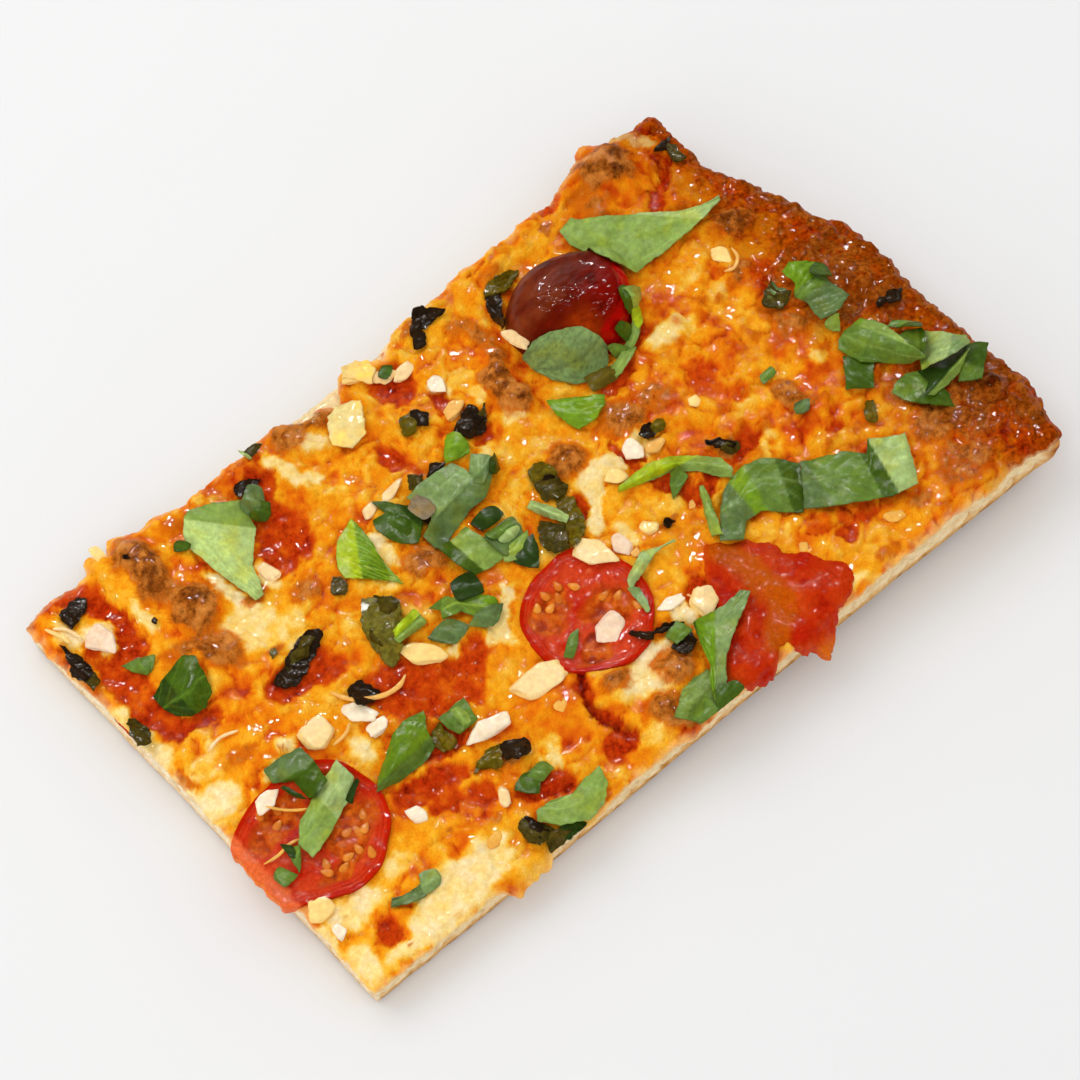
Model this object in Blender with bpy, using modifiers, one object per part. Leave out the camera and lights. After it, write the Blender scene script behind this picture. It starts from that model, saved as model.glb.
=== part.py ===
"""Pizza al taglio: one slice cut from a tray-baked pizza.

Three of its sides are cut (crumb shows), the fourth, at +X, is the browned
edge of the tray.  A slab of dough carries a layer of tomato sauce and a layer
of melted cheese; cherry tomatoes, garlic and torn basil lie on and in them.

Lengths are millimetres until they reach a mesh, which is in metres.
+X runs along the slice to the tray edge, +Y across it, +Z up.  The origin is
at the middle of the underside.
"""
import math

import bmesh
import bpy
from mathutils import Vector, noise
from mathutils.bvhtree import BVHTree

MM = 0.001
GAP = 0.3                      # clearance between pieces that touch

# ---- the slice -------------------------------------------------------------
X_MIDDLE, Y_MIDDLE = 2.6, -1.0  # middle of the plan, in the layout below
CUT_X = -86.5                  # short cut side
RIM_X = 91.6                   # browned tray edge
FRONT_Y = -50.5                # front cut side at its left end
BACK_Y = 50.0                  # back cut side
STEP_X, STEP_Y = 3.8, 9.0      # the tray edge steps in by this, above this y

LEVEL = ((-86, 8.4), (-12, 8.8), (70, 12.8), (84, 12.2),
         (93, 9.8))                      # (x, height of the cheese)
EDGE_LIFT = 3.0                # the front edge curls up off the table
SAUCE, CHEESE_MIN = 0.7, 0.7   # thickness of the sauce, least of the cheese
TOPPING = 2.7                  # dough to mean cheese surface
CHEESE_CELLS = (42, 25)        # cells of the cheese, along and across
SLAB_CELLS = (33, 20)          # and of the plainer layers under it

# lobes of melted cheese past the back edge: (x, half width, reach)
BACK_LOBES = ((-79, 6, 2.2), (-69, 3.0, 5.2), (-62.5, 3.6, 5.2),
              (-54, 4.5, 2.2), (-18, 5, -2.8), (-11, 3.2, -4.6),
              (-4.5, 3, 1.2), (2.5, 3.5, -2.8), (26, 4, 1.0),
              (44, 4, 0.8), (58, 5, 2.2), (67, 5, 6.4), (79, 4, 2.6))
# and past the front edge
FRONT_LOBES = ((-50, 5.5, 3.4), (-22, 6, -0.4), (-8, 4, 0.6), (68, 4, 0.6))

# lumps of cheese: (x, y, half length, half width, turn in degrees, height)
LUMPS = ((-63.5, 43, 9.5, 4.6, 95, 3.2), (-61.5, 29.5, 6.5, 5.6, 20, 3.2),
         (-68, 20, 8.5, 5.5, -20, 1.8), (-62, 53, 5, 2.6, 0, 1.2),
         (-24, 46, 5, 3.4, 110, 2.8), (-17, 45.5, 5, 2.2, 0, 2.2),
         (15.5, 26, 8, 5, 80, 2.4), (12.5, 5, 5, 4, 0, 2.0),
         (-23, 7, 5.5, 4.2, 0, 1.6), (27.5, 4, 6, 5.5, 0, 1.5),
         (65, 50, 8, 6.5, 20, 3.4), (74, 21, 4.6, 4, 0, 1.8),
         (56.5, -15, 5, 5, 0, 1.0), (57, -20.5, 5, 3, 0, 1.5),
         (86, -40, 4, 4, 0, 1.4), (-1, -42, 6, 4, 0, 1.8),
         (-9, -48, 6, 4.4, 100, 1.8), (-13.5, -36, 4, 3.4, 0, 1.4),
         (-43, 18, 5, 3.5, 0, 1.0), (76, 44, 6, 5, 0, 0.8),
         (46, 12, 8, 4, 20, 1.0), (85, 12, 4, 9, 0, 0.8),
         (88, -12, 3.5, 14, 0, 0.8), (-80, 48, 6, 4, 0, 0.9),
         (-86, 42, 3, 7, 0, 0.9), (-60, -4.5, 4, 4, 0, 0.8))

# ---- tomatoes: centre, half widths ------------------------------------------
FRONT_SLICE = (-74.2, -19.9, 14.8, 13.6)
MIDDLE_SLICE = (-6.0, -21.8, 13.0, 13.4)
HALF = (36.3, 28.4, 13.3, 12.0)
SLICE_THICK, HALF_TALL = 3.2, 12.4
FRONT_LOBES_CUT = ((150, 24, 2.4), (-142, 22, 1.8))  # squared off by the knife
CHUNK = (21.6, -44.2, 12.3)      # crushed tomato: centre, radius of its body
# its lobes: (direction in degrees, spread, reach)
CHUNK_LOBES = ((203, 20, 7.2), (-18, 28, 3.8), (-58, 25, 1.6),
               (-133, 22, 1.6), (-88, 14, 1.0), (86, 25, 1.2), (165, 18, -2.6))
CHUNK_TALL = 4.6

# ---- garlic: centre, half length, half width, turn, height ------------------
GARLIC = (("garlic_1", -37.2, -27.0, 4.6, 2.4, -5, 3.4),
          ("garlic_2", -24.0, -26.0, 5.6, 3.0, -8, 3.2),
          ("garlic_3", 3.3, -14.2, 4.4, 2.7, 115, 2.8),
          ("garlic_4", 12.2, -36.0, 3.2, 2.6, 40, 3.4),
          ("garlic_5", -61.8, -5.4, 3.4, 3.2, 0, 3.2))

# What lies on the cheese is laid out as it is seen along a slanting line of
# sight, on a level SIGHT_Z up.  Where it stands higher, its true place is
# nearer the front left by LEAN for each millimetre.
SIGHT_Z, LEAN = 11.0, (0.332, 0.357)

# ---- basil ------------------------------------------------------------------
LEAF = 0.5                     # thickness of a leaf
# Each torn leaf is a patch between four corners, given round its outline.
# name, corners, outward bow of the sides start/far/end/near, height of the
# middle, of the start side and of the end side above what it lies on.
LEAVES = (
    ("basil_big_left", (-53.3, 42.3), (-50.9, 23.6), (-49.2, 24.0),
     (-39.2, 41.2), (3.6, 0.2, 0.0, 0.4), 2.4, 1.2, 0.2),
    ("basil_triangle", (52.3, 26.4), (76.6, 27.0), (76.8, 28.2),
     (48.6, 44.2), (1.6, -0.3, 0.0, 0.2), 1.6, 1.4, 0.2),
    ("basil_on_half", (24.6, 16.0), (35.0, 15.2), (35.2, 24.4),
     (23.8, 27.6), (1.2, 1.6, 1.0, 1.2), 0.3, 0.2, 0.2),
    ("basil_beside_half", (18.9, 9.0), (27.9, 9.2), (27.6, 11.4),
     (19.4, 16.8), (0.4, 0.4, 0.0, 0.5), 1.2, 0.3, 0.3),
    ("basil_dark_left", (-79.2, 15.6), (-70.6, 14.2), (-67.8, 23.0),
     (-79.4, 21.4), (0.6, 1.4, 0.8, 1.2), 2.6, 0.2, 0.6),
    ("basil_lime", (-35.6, 15.0), (-29.2, 8.6), (-26.6, 23.8),
     (-33.0, 20.6), (0.4, 0.6, 1.0, 0.8), 1.8, 0.3, 0.5),
    ("basil_centre", (-18.6, 8.4), (-2.0, 12.0), (1.6, 17.4),
     (-13.6, 20.2), (-1.6, 0.8, 0.8, 0.5), 2.0, 0.5, 1.4),
    ("basil_small_fold", (-23.6, 14.0), (-17.0, 12.6), (-17.8, 20.4),
     (-23.6, 20.6), (0.5, 0.5, 0.6, 1.2), 1.8, 0.3, 0.6),
    ("basil_mid", (-16.6, -1.4), (-9.8, -2.4), (-11.8, 7.4),
     (-17.2, 7.6), (0.2, 0.2, -0.5, 0.0), 1.2, 0.5, 0.5),
    ("basil_left_mid", (-26.4, -4.4), (-18.2, -10.2), (-18.4, -5.6),
     (-27.4, -1.0), (0.2, 1.0, 0.6, 1.2), 1.6, 0.4, 0.4),
    ("basil_on_front", (-78.0, -23.4), (-62.8, -17.2), (-62.8, -12.6),
     (-76.6, -17.2), (0.2, 0.8, 0.0, 0.4), 1.6, 0.4, 1.0),
    ("basil_front_top", (-71.4, -13.2), (-67.0, -13.4), (-66.0, -6.4),
     (-73.6, -5.4), (0.0, 0.2, 0.2, 0.8), 1.2, 0.3, 1.0),
    ("basil_beside_front", (-60.2, -22.0), (-47.4, -23.2), (-44.4, -16.4),
     (-56.6, -18.6), (0.2, 0.6, 0.8, 1.2), 2.0, 0.4, 0.6),
    ("basil_front_edge", (-41.0, -48.4), (-33.6, -51.6), (-28.2, -47.8),
     (-40.0, -46.6), (0.3, 0.8, 0.6, 0.8), 1.2, 0.3, 0.4),
    ("basil_fan", (-8.6, -49.4), (-3.2, -53.2), (0.6, -48.0),
     (-4.4, -46.4), (0.4, 0.4, 0.0, 0.4), 0.6, 0.2, 0.2),
    ("basil_twist", (-2.0, -53.2), (18.6, -41.6), (18.8, -39.8),
     (0.6, -49.2), (0.2, 0.3, 0.2, 4.0), 2.0, 0.4, 0.4),
    ("basil_long_a", (24.0, -28.6), (38.4, -33.4), (43.6, -25.0),
     (29.4, -20.8), (0.4, -2.2, 0.0, 1.4), 1.8, 0.6, 0.6),
    ("basil_long_b", (40.6, -34.6), (57.2, -43.4), (64.6, -36.0),
     (45.6, -26.6), (0.0, 0.6, 0.2, -0.4), 1.8, 0.6, 1.0),
    ("basil_curve", (17.0, -7.6), (33.6, -18.4), (35.2, -16.2),
     (24.0, -7.0), (0.2, -1.8, 0.2, 2.0), 1.4, 0.3, 0.3),
    ("basil_pile_a", (71.0, -20.4), (78.6, -24.4), (79.0, -12.6),
     (70.2, -14.0), (0.6, 0.6, 0.8, 0.6), 3.0, 1.0, 2.0),
    ("basil_pile_b", (78.6, -28.0), (89.2, -29.4), (85.2, -20.6),
     (81.0, -18.8), (0.4, 0.4, 0.6, 0.4), 2.0, 2.0, 1.0),
    ("basil_pile_c", (74.4, -34.6), (84.4, -33.8), (86.0, -31.4),
     (71.0, -28.2), (0.4, 1.0, 0.0, 0.4), 1.4, 0.4, 1.0),
    ("basil_pile_d", (83.4, -36.6), (90.6, -34.4), (88.6, -32.4),
     (84.0, -34.2), (0.2, 0.6, 0.2, 0.2), 1.0, 0.4, 0.6),
    ("basil_cluster", (72.8, -6.6), (79.0, -5.6), (78.6, 4.0),
     (73.2, 4.8), (0.4, 0.2, 0.8, 0.8), 2.4, 0.6, 0.8),
)


def clamp(t):
    return min(1.0, max(0.0, t))


def ramp(t, a, b):
    s = clamp((t - a) / (b - a))
    return s * s * (3.0 - 2.0 * s)


def hill(t, centre, width):
    return math.exp(-((t - centre) / width) ** 2)


def mix(a, b, t):
    return a + (b - a) * t


def rough(x, y, size, seed):
    """Smooth wander between about -1 and 1, with humps of the given size."""
    return 2.0 * noise.noise(Vector((x / size, y / size, seed)))


# ---- heights ----------------------------------------------------------------
def level(x):
    """Mean height of the baked surface, from the thin cut end to the rim."""
    for (x0, z0), (x1, z1) in zip(LEVEL, LEVEL[1:]):
        if x <= x1:
            return mix(z0, z1, clamp((x - x0) / (x1 - x0)))
    return LEVEL[-1][1]


def lift(x, y):
    """How far the underside stands off the table near the front edge."""
    return EDGE_LIFT * clamp((x + 42.0) / 46.0) * clamp((-24.0 - y) / 30.0)


def dough_top(x, y):
    return level(x) + lift(x, y) - TOPPING


def bed(x, y):
    """Underside of the cheese, on which the tomatoes lie too."""
    return dough_top(x, y) + 2.0 * GAP + SAUCE


def relief(x, y):
    """Lumps, bubbles and hollows of the melted cheese."""
    z = 0.45 * rough(x, y, 13.0, 2.7) + 0.3 * rough(x, y, 7.0, 8.1)
    for cx, cy, rx, ry, turn, tall in LUMPS:
        a = math.radians(turn)
        dx, dy = x - cx, y - cy
        p = (dx * math.cos(a) + dy * math.sin(a)) / rx
        q = (dy * math.cos(a) - dx * math.sin(a)) / ry
        z += tall * math.exp(-1.2 * (p * p + q * q) ** 1.3)
    return z


def cheese_top(x, y):
    return max(level(x) + lift(x, y) + relief(x, y),
               bed(x, y) + CHEESE_MIN)


# ---- plan -------------------------------------------------------------------
def front_y(x, lobes):
    y = FRONT_Y - 0.0415 * (x + 85.0) - 0.2 * ramp(x, 34.0, 76.0)
    return y - lobes * sum(h * hill(x, c, w) for c, w, h in FRONT_LOBES)


def back_y(x, lobes):
    return BACK_Y + lobes * sum(h * hill(x, c, w) for c, w, h in BACK_LOBES)


def rim_x(y):
    x = RIM_X - STEP_X * ramp(y, STEP_Y - 2.0, STEP_Y + 2.0)
    x += 0.9 * hill(y, -2.0, 9.0) + 0.5 * hill(y, -41.0, 6.0)
    x -= 8.4 * ramp(y, 11.0, 38.0)
    x += 1.6 * ramp(y, 44.0, 54.0)
    return x - 4.2 * ramp(-y, 46.0, 57.0)


class Plan:
    """Outline of one layer, and the map from a unit square into it.

    grow moves every side outwards; lobes scales the cheese lobes."""

    def __init__(self, grow, lobes, rim_grow=0.0):
        self.grow, self.lobes, self.rim_grow = grow, lobes, rim_grow
        self.x0 = CUT_X - grow
        self.xb, self.xc = self.x0, RIM_X - 4.0 + grow + rim_grow
        self.xa, self.xd = self.x0 - 0.4, RIM_X - 10.6 + grow + rim_grow
        self.yb, self.yc = self.front(self.xb), self.front(self.xc)
        self.ya, self.yd = self.back(self.xa), self.back(self.xd)

    def front(self, x):
        return front_y(x, self.lobes) - self.grow

    def back(self, x):
        return back_y(x, self.lobes) + self.grow

    def left(self, y):
        return (self.x0 + 0.35 * rough(0.0, y, 15.0, 4.4)
                - 1.3 * self.lobes * hill(y, 44.0, 9.0))

    def right(self, y):
        return rim_x(y) + self.grow + self.rim_grow + 0.5 * rough(
            9.0, y, 6.0, 1.3)

    def __call__(self, u, v):
        fx, bx = mix(self.xb, self.xc, u), mix(self.xa, self.xd, u)
        f, b = (fx, self.front(fx)), (bx, self.back(bx))
        ly, ry = mix(self.yb, self.ya, v), mix(self.yc, self.yd, v)
        lx = self.left(ly) + mix(self.xb - self.left(self.yb),
                                 self.xa - self.left(self.ya), v)
        rx = self.right(ry) + mix(self.xc - self.right(self.yc),
                                  self.xd - self.right(self.yd), v)
        corners = ((self.xb, self.yb), (self.xc, self.yc),
                   (self.xa, self.ya), (self.xd, self.yd))
        out = []
        for k in range(2):
            straight = mix(mix(corners[0][k], corners[1][k], u),
                           mix(corners[2][k], corners[3][k], u), v)
            out.append(mix(f[k], b[k], v) + mix((lx, ly)[k], (rx, ry)[k], u)
                       - straight)
        return out


# ---- making objects ---------------------------------------------------------
def clear_scene():
    for ob in list(bpy.data.objects):
        bpy.data.objects.remove(ob, do_unlink=True)


def collection(name):
    col = bpy.data.collections.new(name)
    bpy.context.scene.collection.children.link(col)
    return col


def material(name, colour, roughness, metallic=0.0):
    mat = bpy.data.materials.new(name)
    mat.use_nodes = True
    bsdf = mat.node_tree.nodes["Principled BSDF"]
    bsdf.inputs["Base Color"].default_value = (*colour, 1.0)
    bsdf.inputs["Roughness"].default_value = roughness
    bsdf.inputs["Metallic"].default_value = metallic
    mat.diffuse_color = (*colour, 1.0)
    return mat


def place(ob, name, col, mat=None):
    for old in list(ob.users_collection):
        old.objects.unlink(ob)
    col.objects.link(ob)
    ob.name = ob.data.name = name
    ob.data.materials.clear()
    if mat:
        ob.data.materials.append(mat)
        ob.data.shade_smooth()
        ob.data.set_sharp_from_angle(angle=math.radians(50))
    else:
        ob.hide_render = True
        ob.display_type = 'WIRE'
    return ob


def to_world(x, y, z):
    return ((x - X_MIDDLE) * MM, (y - Y_MIDDLE) * MM, z * MM)


def slab(name, shape, col, mat, side_cuts=0, cells=SLAB_CELLS):
    """A unit box, gridded on top and bottom, moved into place by shape."""
    bpy.ops.mesh.primitive_grid_add(x_subdivisions=cells[0],
                                    y_subdivisions=cells[1], size=1.0)
    ob = bpy.context.object
    bm = bmesh.new()
    bm.from_mesh(ob.data)
    bmesh.ops.translate(bm, verts=bm.verts, vec=(0.5, 0.5, 1.0))
    out = bmesh.ops.extrude_face_region(bm, geom=bm.faces[:])
    low = [g for g in out["geom"] if isinstance(g, bmesh.types.BMVert)]
    bmesh.ops.translate(bm, verts=low, vec=(0.0, 0.0, -1.0))
    if side_cuts:
        walls = [e for e in bm.edges
                 if abs(e.verts[0].co.z - e.verts[1].co.z) > 0.5]
        bmesh.ops.subdivide_edges(bm, edges=walls, cuts=side_cuts)
    bmesh.ops.recalc_face_normals(bm, faces=bm.faces)
    for vert in bm.verts:
        vert.co = to_world(*shape(*vert.co))
    bmesh.ops.triangulate(bm, faces=bm.faces, quad_method='FIXED')
    bmesh.ops.recalc_face_normals(bm, faces=bm.faces)
    bm.to_mesh(ob.data)
    bm.free()
    return place(ob, name, col, mat)


def rounded(name, segments, rings, shape, col, mat=None):
    """A ball moved into place by shape(direction, height angle)."""
    bpy.ops.mesh.primitive_uv_sphere_add(segments=segments, ring_count=rings,
                                         radius=1.0)
    ob = bpy.context.object
    for vert in ob.data.vertices:
        c = vert.co
        vert.co = to_world(*shape(math.atan2(c.y, c.x),
                                  math.asin(max(-1.0, min(1.0, c.z)))))
    return place(ob, name, col, mat)


def cut(ob, cutter):
    mod = ob.modifiers.new("cut_" + cutter.name, 'BOOLEAN')
    mod.operation = 'DIFFERENCE'
    mod.object = cutter


# ---- layers -----------------------------------------------------------------
def dough_shape():
    top, low = Plan(0.0, 0.12), Plan(-0.3, 0.0, -3.2)

    def shape(u, v, w):
        tx, ty = top(u, v)
        bx, by = low(u, v)
        x, y = mix(bx, tx, w), mix(by, ty, w)
        zt, zb = dough_top(tx, ty), lift(bx, by)
        z = mix(zb, zt, w)
        wall = 4.0 * w * (1.0 - w)
        if u > 0.999:                       # the rim swells outwards
            x += 1.6 * wall
        elif wall > 0.1:                    # torn crumb on the cut sides
            swell = wall * 0.35 * rough(x + y, 7.0 * w, 5.0, 6.6)
            if u < 0.001:
                x -= swell
            else:
                y += swell * (1.0 if v > 0.5 else -1.0)
        return x, y, z
    return shape


def sauce_shape():
    plan = Plan(-0.4, 0.06, -0.6)

    def shape(u, v, w):
        x, y = plan(u, v)
        return x, y, dough_top(x, y) + GAP + SAUCE * w
    return shape


def cheese_shape():
    top, low = Plan(0.0, 1.0, 0.0), Plan(-0.2, 0.35, -0.2)

    def shape(u, v, w):
        x, y = (top if w > 0.5 else low)(u, v)
        z = cheese_top(x, y) if w > 0.5 else bed(x, y)
        return x, y, z
    return shape


# ---- tomatoes ---------------------------------------------------------------
def lobed(a, lobes):
    """How far lobes, (direction, spread, reach), push out in direction a."""
    out = 0.0
    for at, spread, reach in lobes:
        off = (math.degrees(a) - at + 180.0) % 360.0 - 180.0
        out += reach * math.exp(-(off / spread) ** 2)
    return out


def slice_reach(a, size):
    """Half widths of a slice in direction a, from its middle."""
    wobble = 1.0 + 0.02 * math.cos(3 * a + 1.0) + 0.015 * math.sin(5 * a)
    return size[2] * wobble, size[3] * wobble


def cut_slice_reach(a, size):
    rx, ry = slice_reach(a, size)
    out = lobed(a, FRONT_LOBES_CUT)
    return rx + out, ry + out


def half_reach(a, size):
    return size[2], size[3]


def chunk_reach(a, size):
    r = size[2] + lobed(a, CHUNK_LOBES)
    return r, r


def slice_profile(x, y, e):
    """A flat slice: the skin edge stands, the seed pulp is a little sunken."""
    out = math.cos(e) ** 0.45
    if e <= 0.0:
        return out, 0.0
    lip = 0.7 * ramp(out, 0.2, 0.93) - 0.7
    return out, (SLICE_THICK + lip) * math.sin(e) ** 0.35


def half_profile(x, y, e):
    """A halved cherry tomato, skin up, its rim a little squashed."""
    if e <= 0.0:
        return math.cos(e) ** 0.3, 0.0
    return math.cos(e) ** 0.9, HALF_TALL * math.sin(e) ** 0.95


def chunk_profile(x, y, e):
    """Crushed tomato: a low mound that leans over the front edge."""
    if e <= 0.0:
        return math.cos(e) ** 0.7, 0.0
    tall = CHUNK_TALL + 0.8 * rough(x, y, 9.0, 5.0)
    return math.cos(e) ** 0.7, tall * math.sin(e) ** 0.6


def tomato(name, size, reach, profile, segments, rings, col, mat):
    """A piece of tomato set in the cheese, down on the sauce."""
    def shape(a, e):
        rx, ry = reach(a, size)
        out, z = profile(size[0] + rx * math.cos(a),
                         size[1] + ry * math.sin(a), e)
        x = size[0] + rx * out * math.cos(a)
        y = size[1] + ry * out * math.sin(a)
        return x, y, bed(x, y) + z
    return rounded(name, segments, rings, shape, col, mat)


def hole(name, size, reach, sides, col):
    """Upright cutter round a piece of tomato, wider by the clearance."""
    bpy.ops.mesh.primitive_cylinder_add(vertices=sides, radius=1.0, depth=2.0)
    ob = bpy.context.object
    for vert in ob.data.vertices:
        a = math.atan2(vert.co.y, vert.co.x)
        rx, ry = reach(a, size)
        x = size[0] + (rx + GAP + 0.2) * math.cos(a)
        y = size[1] + (ry + GAP + 0.2) * math.sin(a)
        vert.co = to_world(x, y, 12.0 + 15.0 * vert.co.z)
    return place(ob, name, col)


# ---- things that lie on the cheese ------------------------------------------
class Ground:
    """Height of everything laid so far, found by looking straight down."""

    def __init__(self):
        self.trees = []

    def add(self, ob):
        deps = bpy.context.evaluated_depsgraph_get()
        ev = ob.evaluated_get(deps)
        me = ev.to_mesh()
        me.transform(ob.matrix_world)
        verts = [v.co.copy() for v in me.vertices]
        faces = [tuple(p.vertices) for p in me.polygons]
        ev.to_mesh_clear()
        self.trees.append(BVHTree.FromPolygons(verts, faces))

    def at(self, x, y, reach=0.0):
        best = None
        spots = [(0.0, 0.0)]
        if reach:
            spots += [(reach * math.cos(k * math.pi / 4),
                       reach * math.sin(k * math.pi / 4)) for k in range(8)]
        for dx, dy in spots:
            wx, wy, _ = to_world(x + dx, y + dy, 0.0)
            for tree in self.trees:
                hit = tree.ray_cast(Vector((wx, wy, 0.08)),
                                    Vector((0.0, 0.0, -1.0)))
                if hit[0] is not None:
                    z = hit[0].z / MM
                    best = z if best is None else max(best, z)
        return best if best is not None else level(x) + lift(x, y)

    def seen(self, x, y, reach, above):
        """True place of a point seen at x, y, this far above the ground."""
        px, py = x, y
        for _ in range(6):
            z = self.at(px, py, reach) + above
            px = 0.5 * (px + x - LEAN[0] * (z - SIGHT_Z))
            py = 0.5 * (py + y - LEAN[1] * (z - SIGHT_Z))
        return px, py, self.at(px, py, reach) + above


def garlic(ground, name, cx, cy, rx, ry, turn, tall, col, mat):
    a0 = math.radians(turn)
    cx, cy = ground.seen(cx, cy, 0.0, 0.5 * tall)[:2]
    base = max(ground.at(cx, cy, 0.6 * ry), ground.at(cx, cy, 0.9 * rx),
               ground.at(cx, cy)) + GAP + 0.15

    def shape(a, e):
        out = math.cos(e) ** 0.6
        p = rx * out * math.cos(a) * (1.0 + 0.12 * math.cos(2 * a + turn))
        q = ry * out * math.sin(a) * (1.0 + 0.10 * math.sin(3 * a + turn))
        x = cx + p * math.cos(a0) - q * math.sin(a0)
        y = cy + p * math.sin(a0) + q * math.cos(a0)
        return x, y, base + tall * (0.5 + 0.5 * math.sin(e))
    return rounded(name, 10, 6, shape, col, mat)


def leaf(ground, spec, col, mat):
    """A torn basil leaf: a bent patch with thickness, laid on the ground."""
    name, c00, c10, c11, c01, bows, middle, start, end = spec
    mid = [sum(c[k] for c in (c00, c10, c11, c01)) / 4.0 for k in range(2)]

    def side(p, q, bow, t):
        x, y = mix(p[0], q[0], t), mix(p[1], q[1], t)
        nx, ny = q[1] - p[1], p[0] - q[0]
        size = math.hypot(nx, ny) or 1.0
        if nx * (x - mid[0]) + ny * (y - mid[1]) < 0.0:
            nx, ny = -nx, -ny
        b = bow * 4.0 * t * (1.0 - t)
        return x + b * nx / size, y + b * ny / size

    def patch(s, t):
        near, far = side(c00, c10, bows[1], s), side(c01, c11, bows[3], s)
        a, b = side(c00, c01, bows[0], t), side(c10, c11, bows[2], t)
        out = []
        for k in range(2):
            flat = mix(mix(c00[k], c10[k], s), mix(c01[k], c11[k], s), t)
            out.append(mix(near[k], far[k], t) + mix(a[k], b[k], s) - flat)
        return out

    def bend(s, t):
        h = mix(start, end, s)
        h += middle * 4.0 * s * (1.0 - s) * (1.0 - 0.8 * abs(2.0 * t - 1.0))
        return h

    long = max(math.dist(c00, c10), math.dist(c01, c11))
    ns, nt = (6, 3) if long > 11.5 else (4, 2)
    grid = {}
    for i in range(ns + 1):
        for j in range(nt + 1):
            x, y = patch(i / ns, j / nt)
            grid[i, j] = ground.seen(x, y, 1.2, bend(i / ns, j / nt))
    # no point of the patch may dip into what it lies on
    rise = 0.0
    fine = 4
    for i in range(ns * fine + 1):
        for j in range(nt * fine + 1):
            gi, gj = min(i // fine, ns - 1), min(j // fine, nt - 1)
            p, q = i / fine - gi, j / fine - gj
            x, y, z = (mix(mix(a, b, p), mix(c, d, p), q) for a, b, c, d in
                       zip(grid[gi, gj], grid[gi + 1, gj],
                           grid[gi, gj + 1], grid[gi + 1, gj + 1]))
            rise = max(rise, ground.at(x, y, 0.5) - z)
    rise += GAP + LEAF * 0.5 + 0.25

    bpy.ops.mesh.primitive_grid_add(x_subdivisions=ns, y_subdivisions=nt,
                                    size=1.0)
    ob = bpy.context.object
    for vert in ob.data.vertices:
        x, y, z = grid[round((vert.co.x + 0.5) * ns),
                       round((vert.co.y + 0.5) * nt)]
        vert.co = to_world(x - LEAN[0] * rise, y - LEAN[1] * rise, z + rise)
    mod = ob.modifiers.new("thickness", 'SOLIDIFY')
    mod.thickness = LEAF * MM
    mod.offset = 0.0
    return place(ob, name, col, mat)


def main():
    clear_scene()
    parts = collection("pizza_al_taglio_slice")
    tools = collection("cutters")

    crumb = material("baked_dough", (0.80, 0.62, 0.36), 0.85)
    sauce = material("tomato_sauce", (0.62, 0.08, 0.02), 0.35)
    melted = material("melted_cheese", (0.85, 0.42, 0.07), 0.38)
    red = material("tomato_flesh", (0.62, 0.05, 0.02), 0.25)
    skin = material("roasted_tomato_skin", (0.25, 0.03, 0.01), 0.15)
    clove = material("roasted_garlic", (0.90, 0.76, 0.48), 0.45)
    green = material("basil_leaf", (0.12, 0.24, 0.05), 0.5)

    slab("dough", dough_shape(), parts, crumb, side_cuts=1)
    slab("tomato_sauce", sauce_shape(), parts, sauce)
    cheese = slab("cheese", cheese_shape(), parts, melted,
                  cells=CHEESE_CELLS)

    pieces = []
    for name, size, reach, profile, sides, rings, mat in (
            ("tomato_slice_front", FRONT_SLICE, cut_slice_reach, slice_profile,
             28, 10, red),
            ("tomato_slice_middle", MIDDLE_SLICE, slice_reach, slice_profile,
             28, 10, red),
            ("tomato_half", HALF, half_reach, half_profile, 28, 12, skin),
            ("tomato_chunk", CHUNK, chunk_reach, chunk_profile, 40, 10, red)):
        pieces.append(tomato(name, size, reach, profile, sides, rings,
                             parts, mat))
        cut(cheese, hole("hole_" + name, size, reach, sides, tools))

    # the knife went through the front slice where it met the short side
    bpy.ops.mesh.primitive_cube_add(size=1.0)
    knife = bpy.context.object
    knife.scale = (0.02, 0.06, 0.06)
    bpy.ops.object.transform_apply(location=False, rotation=False, scale=True)
    knife.location = to_world(CUT_X - 10.0, -20.0, 10.0)
    place(knife, "knife", tools)
    cut(pieces[0], knife)

    ground = Ground()
    ground.add(cheese)
    for ob in pieces:
        ground.add(ob)
    for spec in GARLIC:
        ground.add(garlic(ground, *spec, parts, clove))
    for spec in LEAVES:
        ground.add(leaf(ground, spec, parts, green))


main()
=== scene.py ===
import math

import bmesh
import bpy
import numpy as np
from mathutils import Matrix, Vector
from mathutils.bvhtree import BVHTree


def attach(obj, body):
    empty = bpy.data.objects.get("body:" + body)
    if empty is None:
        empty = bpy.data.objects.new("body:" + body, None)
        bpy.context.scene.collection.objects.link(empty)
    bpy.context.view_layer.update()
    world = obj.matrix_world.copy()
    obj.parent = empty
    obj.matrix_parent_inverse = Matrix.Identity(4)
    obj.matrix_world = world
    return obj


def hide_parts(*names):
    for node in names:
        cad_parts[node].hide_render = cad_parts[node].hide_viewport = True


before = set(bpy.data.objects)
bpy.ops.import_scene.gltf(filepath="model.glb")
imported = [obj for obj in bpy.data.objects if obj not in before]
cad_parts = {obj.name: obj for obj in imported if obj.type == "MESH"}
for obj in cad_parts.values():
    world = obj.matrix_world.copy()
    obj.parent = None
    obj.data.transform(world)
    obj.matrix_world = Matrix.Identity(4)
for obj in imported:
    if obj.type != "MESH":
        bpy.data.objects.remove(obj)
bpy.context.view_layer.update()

# Lengths below are millimetres in the slice's own layout, as in the model of
# its construction; to_world() turns them into metres in the frame.
MM = 0.001
X_MIDDLE, Y_MIDDLE = 2.6, -1.0
CUT_X, RIM_X = -86.5, 91.6
FRONT_Y, BACK_Y = -50.5, 50.0
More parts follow.
